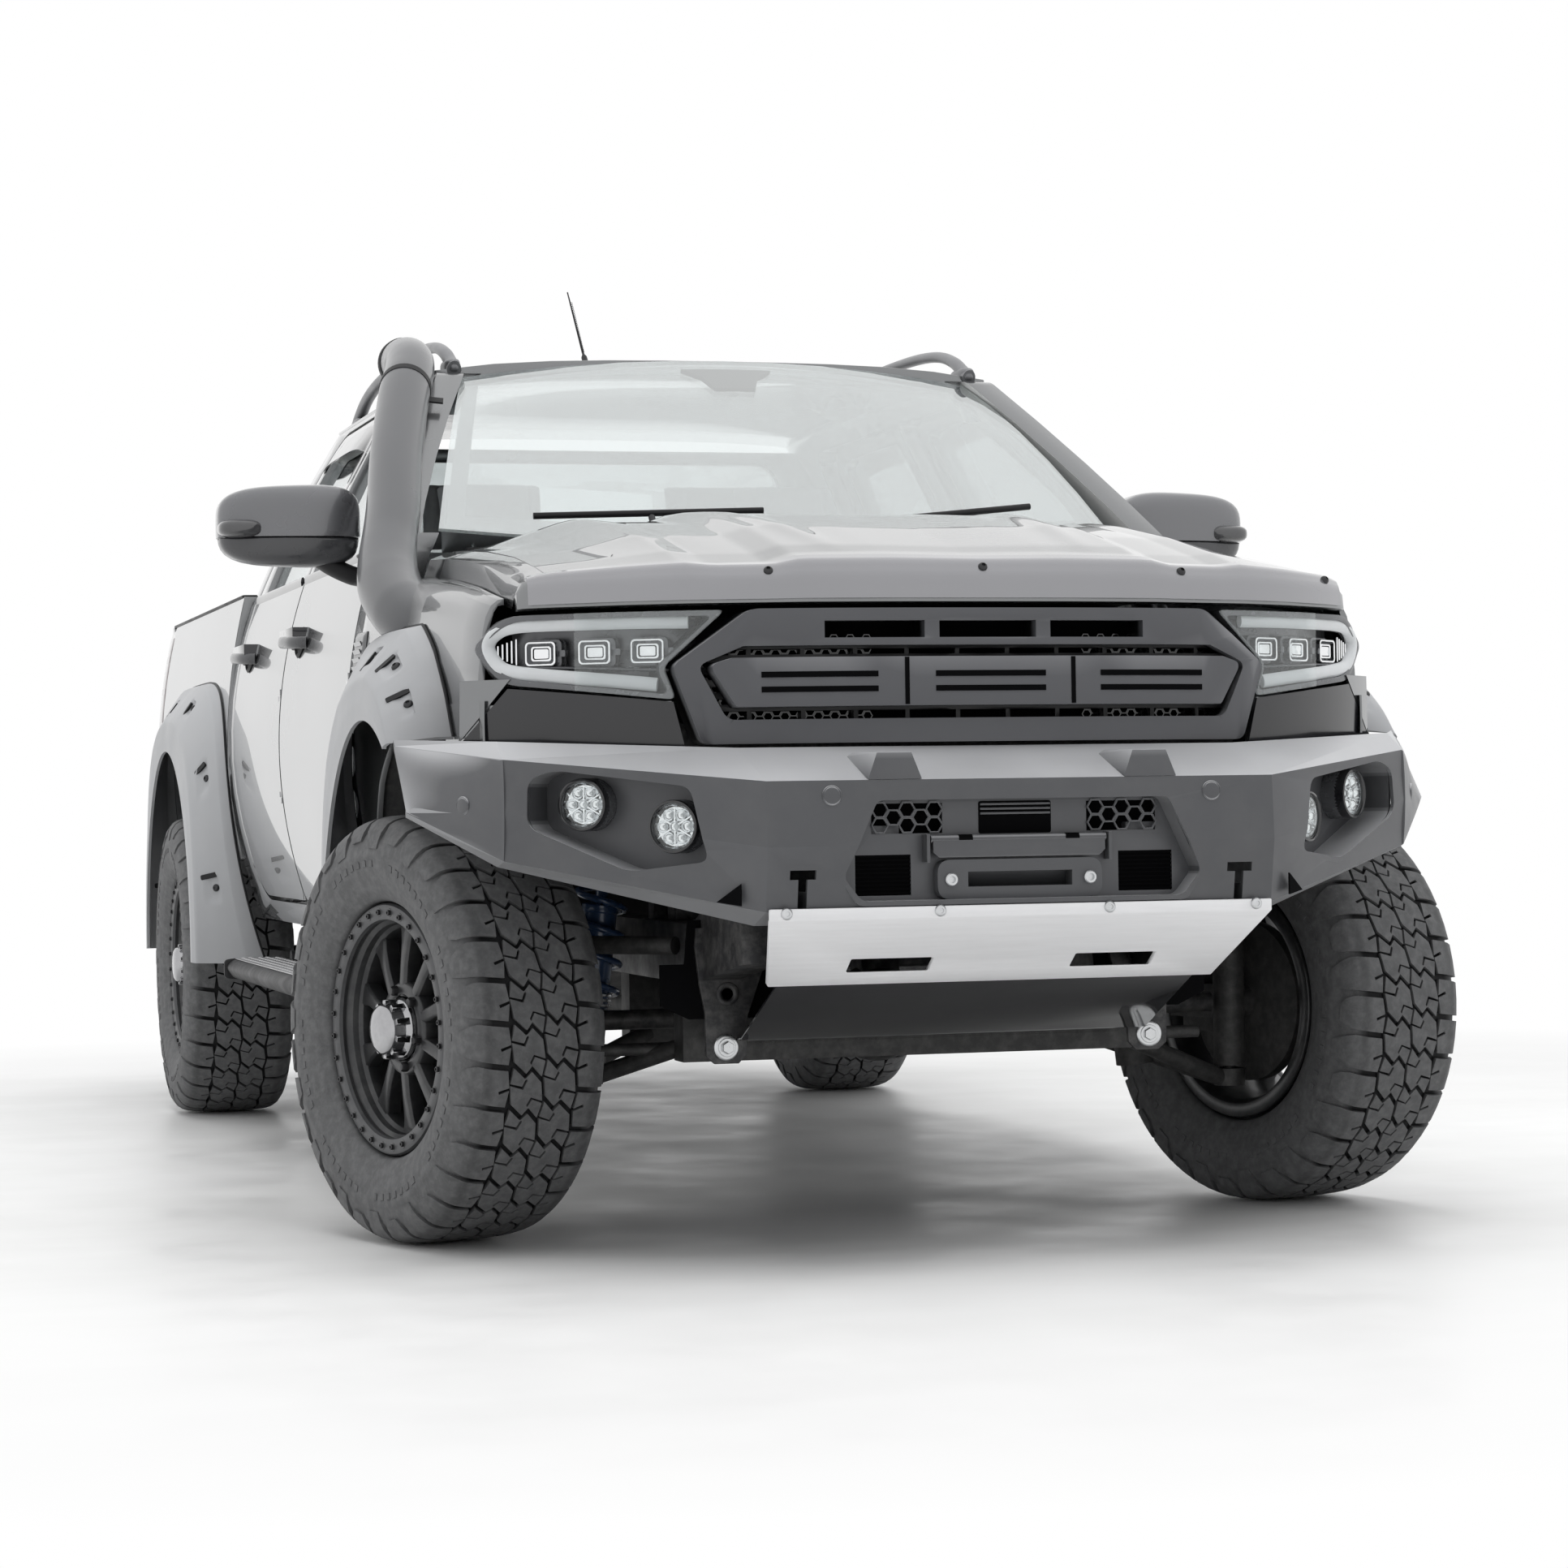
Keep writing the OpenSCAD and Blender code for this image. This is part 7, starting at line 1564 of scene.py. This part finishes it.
def make_dampers():
    """Coil-over units in front and slim dampers behind."""
    body, coil, ends = builds(3)
    low, top = Vector((0.560, -1.722, 0.345)), Vector((0.498, -1.722, 0.878))
    d = (top - low).normalized()
    long = (top - low).length
    m = axes_at(low, d)
    body.pair(Build().lathe([(0.0, 0.0), (0.030, 0.0), (0.033, 0.008), (0.033, 0.26), (0.036, 0.262),
                             (0.036, 0.275), (0.020, 0.28), (0.012, 0.285),
                (0.012, long - 0.02), (0.0, long - 0.02)], m, 36))
    cups = Build()
    cups.lathe([(0.030, 0.060), (0.0535, 0.064), (0.0535, 0.074), (0.030, 0.078)], m, 36, closed=True)
    cups.lathe([(0.0, long - 0.045), (0.0535, long - 0.045), (0.0535, long - 0.030), (0.040, long - 0.004),
                (0.0, long)], m, 36)
    for k in range(3):
        z = 0.080 + 0.010 * k
        cups.lathe([(0.030, z), (0.0385, z + 0.001), (0.0385, z + 0.006), (0.030, z + 0.007)], m, 24,
                   closed=True)
    ends.pair(cups)
    turns = 7.5
    path = []
    for t in spaced(180):
        a = 2 * math.pi * turns * t
        path.append(m @ Vector((0.0465 * math.cos(a), 0.0465 * math.sin(a), 0.082 + (long - 0.135) * t)))
    coil.pair(Build().tube(path, 0.0068, 10))
    foot, head = Vector((RAIL_SIDE + 0.026, 1.342, 0.36)), Vector((RAIL_SIDE + 0.026, 1.150, 0.64))
    m = axes_at(foot, head - foot)
    long = (head - foot).length
    body.pair(Build().lathe([(0.0, 0.0), (0.016, 0.0), (0.0225, 0.012), (0.0225, long * 0.55),
                             (0.012, long * 0.57),
                             (0.012, long * 0.62), (0.023, long * 0.62),
                (0.023, long - 0.006), (0.0, long)], m, 28))
    ends.pair(Build().lathe([(0.0, 0.0), (0.012, 0.0), (0.012, 0.022), (0.016, 0.024), (0.016, 0.032),
                             (0.0, 0.034)],
                            axes_at((RAIL_SIDE, 1.150, 0.64), (1, 0, 0)), 20))
    piece("damper_tubes", body, "truck", damper_blue, 0.0008, 30, stands_for=["dampers"],
          segments=1)
    piece("coil_springs", coil, "truck", damper_blue, degrees=60)
    piece("spring_seats", ends, "truck", zinc, 0.0008, 30, segments=1)


def make_tail():
    """Rail caps, tailgate press and handle, lamp strips and bumper pads."""
    bed_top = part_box("load_bed")[1][2]
    caps, press, grip, strips, pads = builds(5)
    for s in (-1, 1):
        caps.prism(rounded(*sorted((s * 0.806, s * 0.879)), 0.830, 2.405, 0.012), bed_top - 0.002,
                   bed_top + 0.006)
    glo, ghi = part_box("tailgate")
    y = ghi[1]
    outer = rounded(-0.60, 0.60, glo[2] + 0.07, ghi[2] - 0.245, 0.05, 6)
    inner = rounded(-0.575, 0.575, glo[2] + 0.095, ghi[2] - 0.270, 0.035, 6)
    frame_ring(press, outer, inner, y - 0.002, y + 0.0045, UPRIGHT)
    box = rounded_box((0, y - 0.010, ghi[2] - 0.175), (0.112, 0.0085, 0.030), 6, 48, 20)
    grip.add(box)
    tlo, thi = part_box("tail_lamps")
    for k in range(3):
        z = tlo[2] + (thi[2] - tlo[2]) * (0.2 + 0.3 * k)

        def strip(u, v):
            q = z + 0.018 * (v - 0.5)
            return Vector((bed_x(q) + 0.0016, tlo[1] + (thi[1] - tlo[1]) * (0.14 + 0.72 * u), q))
        strips.pair(slab(strip, spaced(12), spaced(4), 0.001, 0.002))
    pad_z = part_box("rear_bumper")[1][2]
    for s in (-1, 1):
        for k in range(12):
            x = s * (0.40 + 0.034 * k)
            pads.prism(rounded(x - 0.013, x + 0.013, 2.545, 2.620, 0.006), pad_z - 0.001, pad_z + 0.005)
    piece("bed_rail_caps", caps, "truck", black_plastic, 0.003, 30)
    piece("tailgate_press", press, "tailgate", paint, 0.0018, 30)
    piece("tailgate_handle", grip, "tailgate", black_plastic, degrees=40)
    piece("tail_lamp_strips", strips, "truck", lamp_red, degrees=40)
    piece("rear_bumper_pads", pads, "truck", black_plastic, 0.0015, 30)


# Studio: pale floor that fades to white, white world for the camera, soft light for the truck
def seen_rays(tree):
    """1 for rays that show the backdrop: from the camera, mirrored, or through glass."""
    path = linked(tree, "ShaderNodeLightPath").outputs
    direct = math_node(tree, "MAXIMUM", path["Is Camera Ray"], path["Is Glossy Ray"])
    return math_node(tree, "MAXIMUM", direct, path["Is Transmission Ray"])


def make_floor():
    """Pale floor, white where it is far."""
    far = 60
    corners = [(-far, -far, 0), (far, -far, 0), (far, far, 0), (-far, far, 0)]
    data = Build().put(corners, [(0, 1, 2, 3)]).mesh("floor")
    mat, tree, out = blank_material("studio_floor")
    tone = ramp(tree, noise(tree, 0.7, 6.0, 0.6, (0.35, 1.6, 1)),
                [(0.3, (0.74, 0.74, 0.73)), (0.7, (0.82, 0.82, 0.815))])
    gloss = to_range(tree, noise(tree, 3.0, 6.0), 0.28, 0.5)
    body = linked(tree, "ShaderNodeBsdfPrincipled", {"Base Color": tone, "Roughness": gloss},
                  **{"Specular IOR Level": 0.35})
    glow = linked(tree, "ShaderNodeEmission", Strength=1.0, Color=(1, 1, 1, 1))
    fade = to_range(tree, length(tree, coordinate(tree, "Object")), 0.0, 1.0, 2.3, 4.8)
    mixed(tree, math_node(tree, "MULTIPLY", seen_rays(tree), fade), body, glow, out)
    data.materials.append(mat)
    obj = bpy.data.objects.new("studio_floor", data)
    scene.collection.objects.link(obj)


def make_world():
    """White behind the truck, soft light on it."""
    world = bpy.data.worlds.new("studio")
    scene.world = world
    world.use_nodes = True
    tree = world.node_tree
    tree.nodes.clear()
    out = linked(tree, "ShaderNodeOutputWorld")
    soft = linked(tree, "ShaderNodeBackground", Strength=0.5, Color=(0.97, 0.98, 1, 1))
    white = linked(tree, "ShaderNodeBackground", Strength=1.0, Color=(1, 1, 1, 1))
    mixed(tree, seen_rays(tree), soft, white, out)


def make_light(name, place, target, size, power):
    """A soft rectangle of light that no surface mirrors."""
    data = bpy.data.lights.new(name, "AREA")
    data.shape, data.size, data.size_y, data.energy = "RECTANGLE", size[0], size[1], power
    obj = bpy.data.objects.new(name, data)
    obj.visible_glossy = False
    aim = (Vector(target) - Vector(place)).to_track_quat("-Z", "Y")
    obj.matrix_world = Matrix.Translation(place) @ aim.to_matrix().to_4x4()
    scene.collection.objects.link(obj)


make_camera()
make_floor()
make_world()
make_light("roof_light", (0, -0.6, 5.2), (0, -0.6, 0), (5.5, 8.0), 350)
make_light("side_light", (-6.0, 0.4, 2.6), (0, 0.2, 0.8), (7.0, 3.6), 110)
make_light("fill_light", (5.5, -2.5, 2.6), (0, -1.0, 0.7), (4.0, 3.0), 65)

# Finishes of the solids' own nodes
finishes = {
    black_steel: "chassis engine rear_axle leaf_springs driveline", trim_grey: "winch",
    cast_grey: "front_suspension underbody knuckle_right knuckle_left",
    dash_grey: "cab_floor dashboard",
    cab_paint: "cab_sides cab_roof cab_back door_front_right door_front_left door_rear_right door_rear_left",
    paint: "front_wings load_bed bonnet tailgate",
    black_plastic: "bulkhead wipers side_steps",
    clear_glass: "screens glass_front_right glass_front_left glass_rear_right glass_rear_left",
    liner: "arch_liners", grille_grey: "grille", lamp_black: "front_lamps", lens_glass: "lamp_lenses",
    bar_grey: "front_bumper rear_bumper", alu: "skid_plate", gloss_black: "under_guard",
    lamp_red: "tail_lamps",
}
edge_width = 0.0025
usual_angle, plate_angle = 30, 7  # the small bends of folded plate count as edges too
for material, names in finishes.items():
    for name in names.split():
        dress(name, material, 0.0 if material in (clear_glass, lens_glass) else edge_width,
              plate_angle if material == bar_grey else usual_angle, material not in (paint, cab_paint))

for make in (make_wheels, make_bonnet_guard, make_bonnet_skin, make_headlamps, make_driving_lamps,
             make_bumper_details, make_front_brackets, make_grille_details, make_flares, make_snorkel,
             make_mirrors,
             make_facia, make_roof_rails, make_doors, make_panel_skins, make_wing_vents, make_steps,
             make_seats,
             make_screen_details, make_dampers, make_tail):
    make()
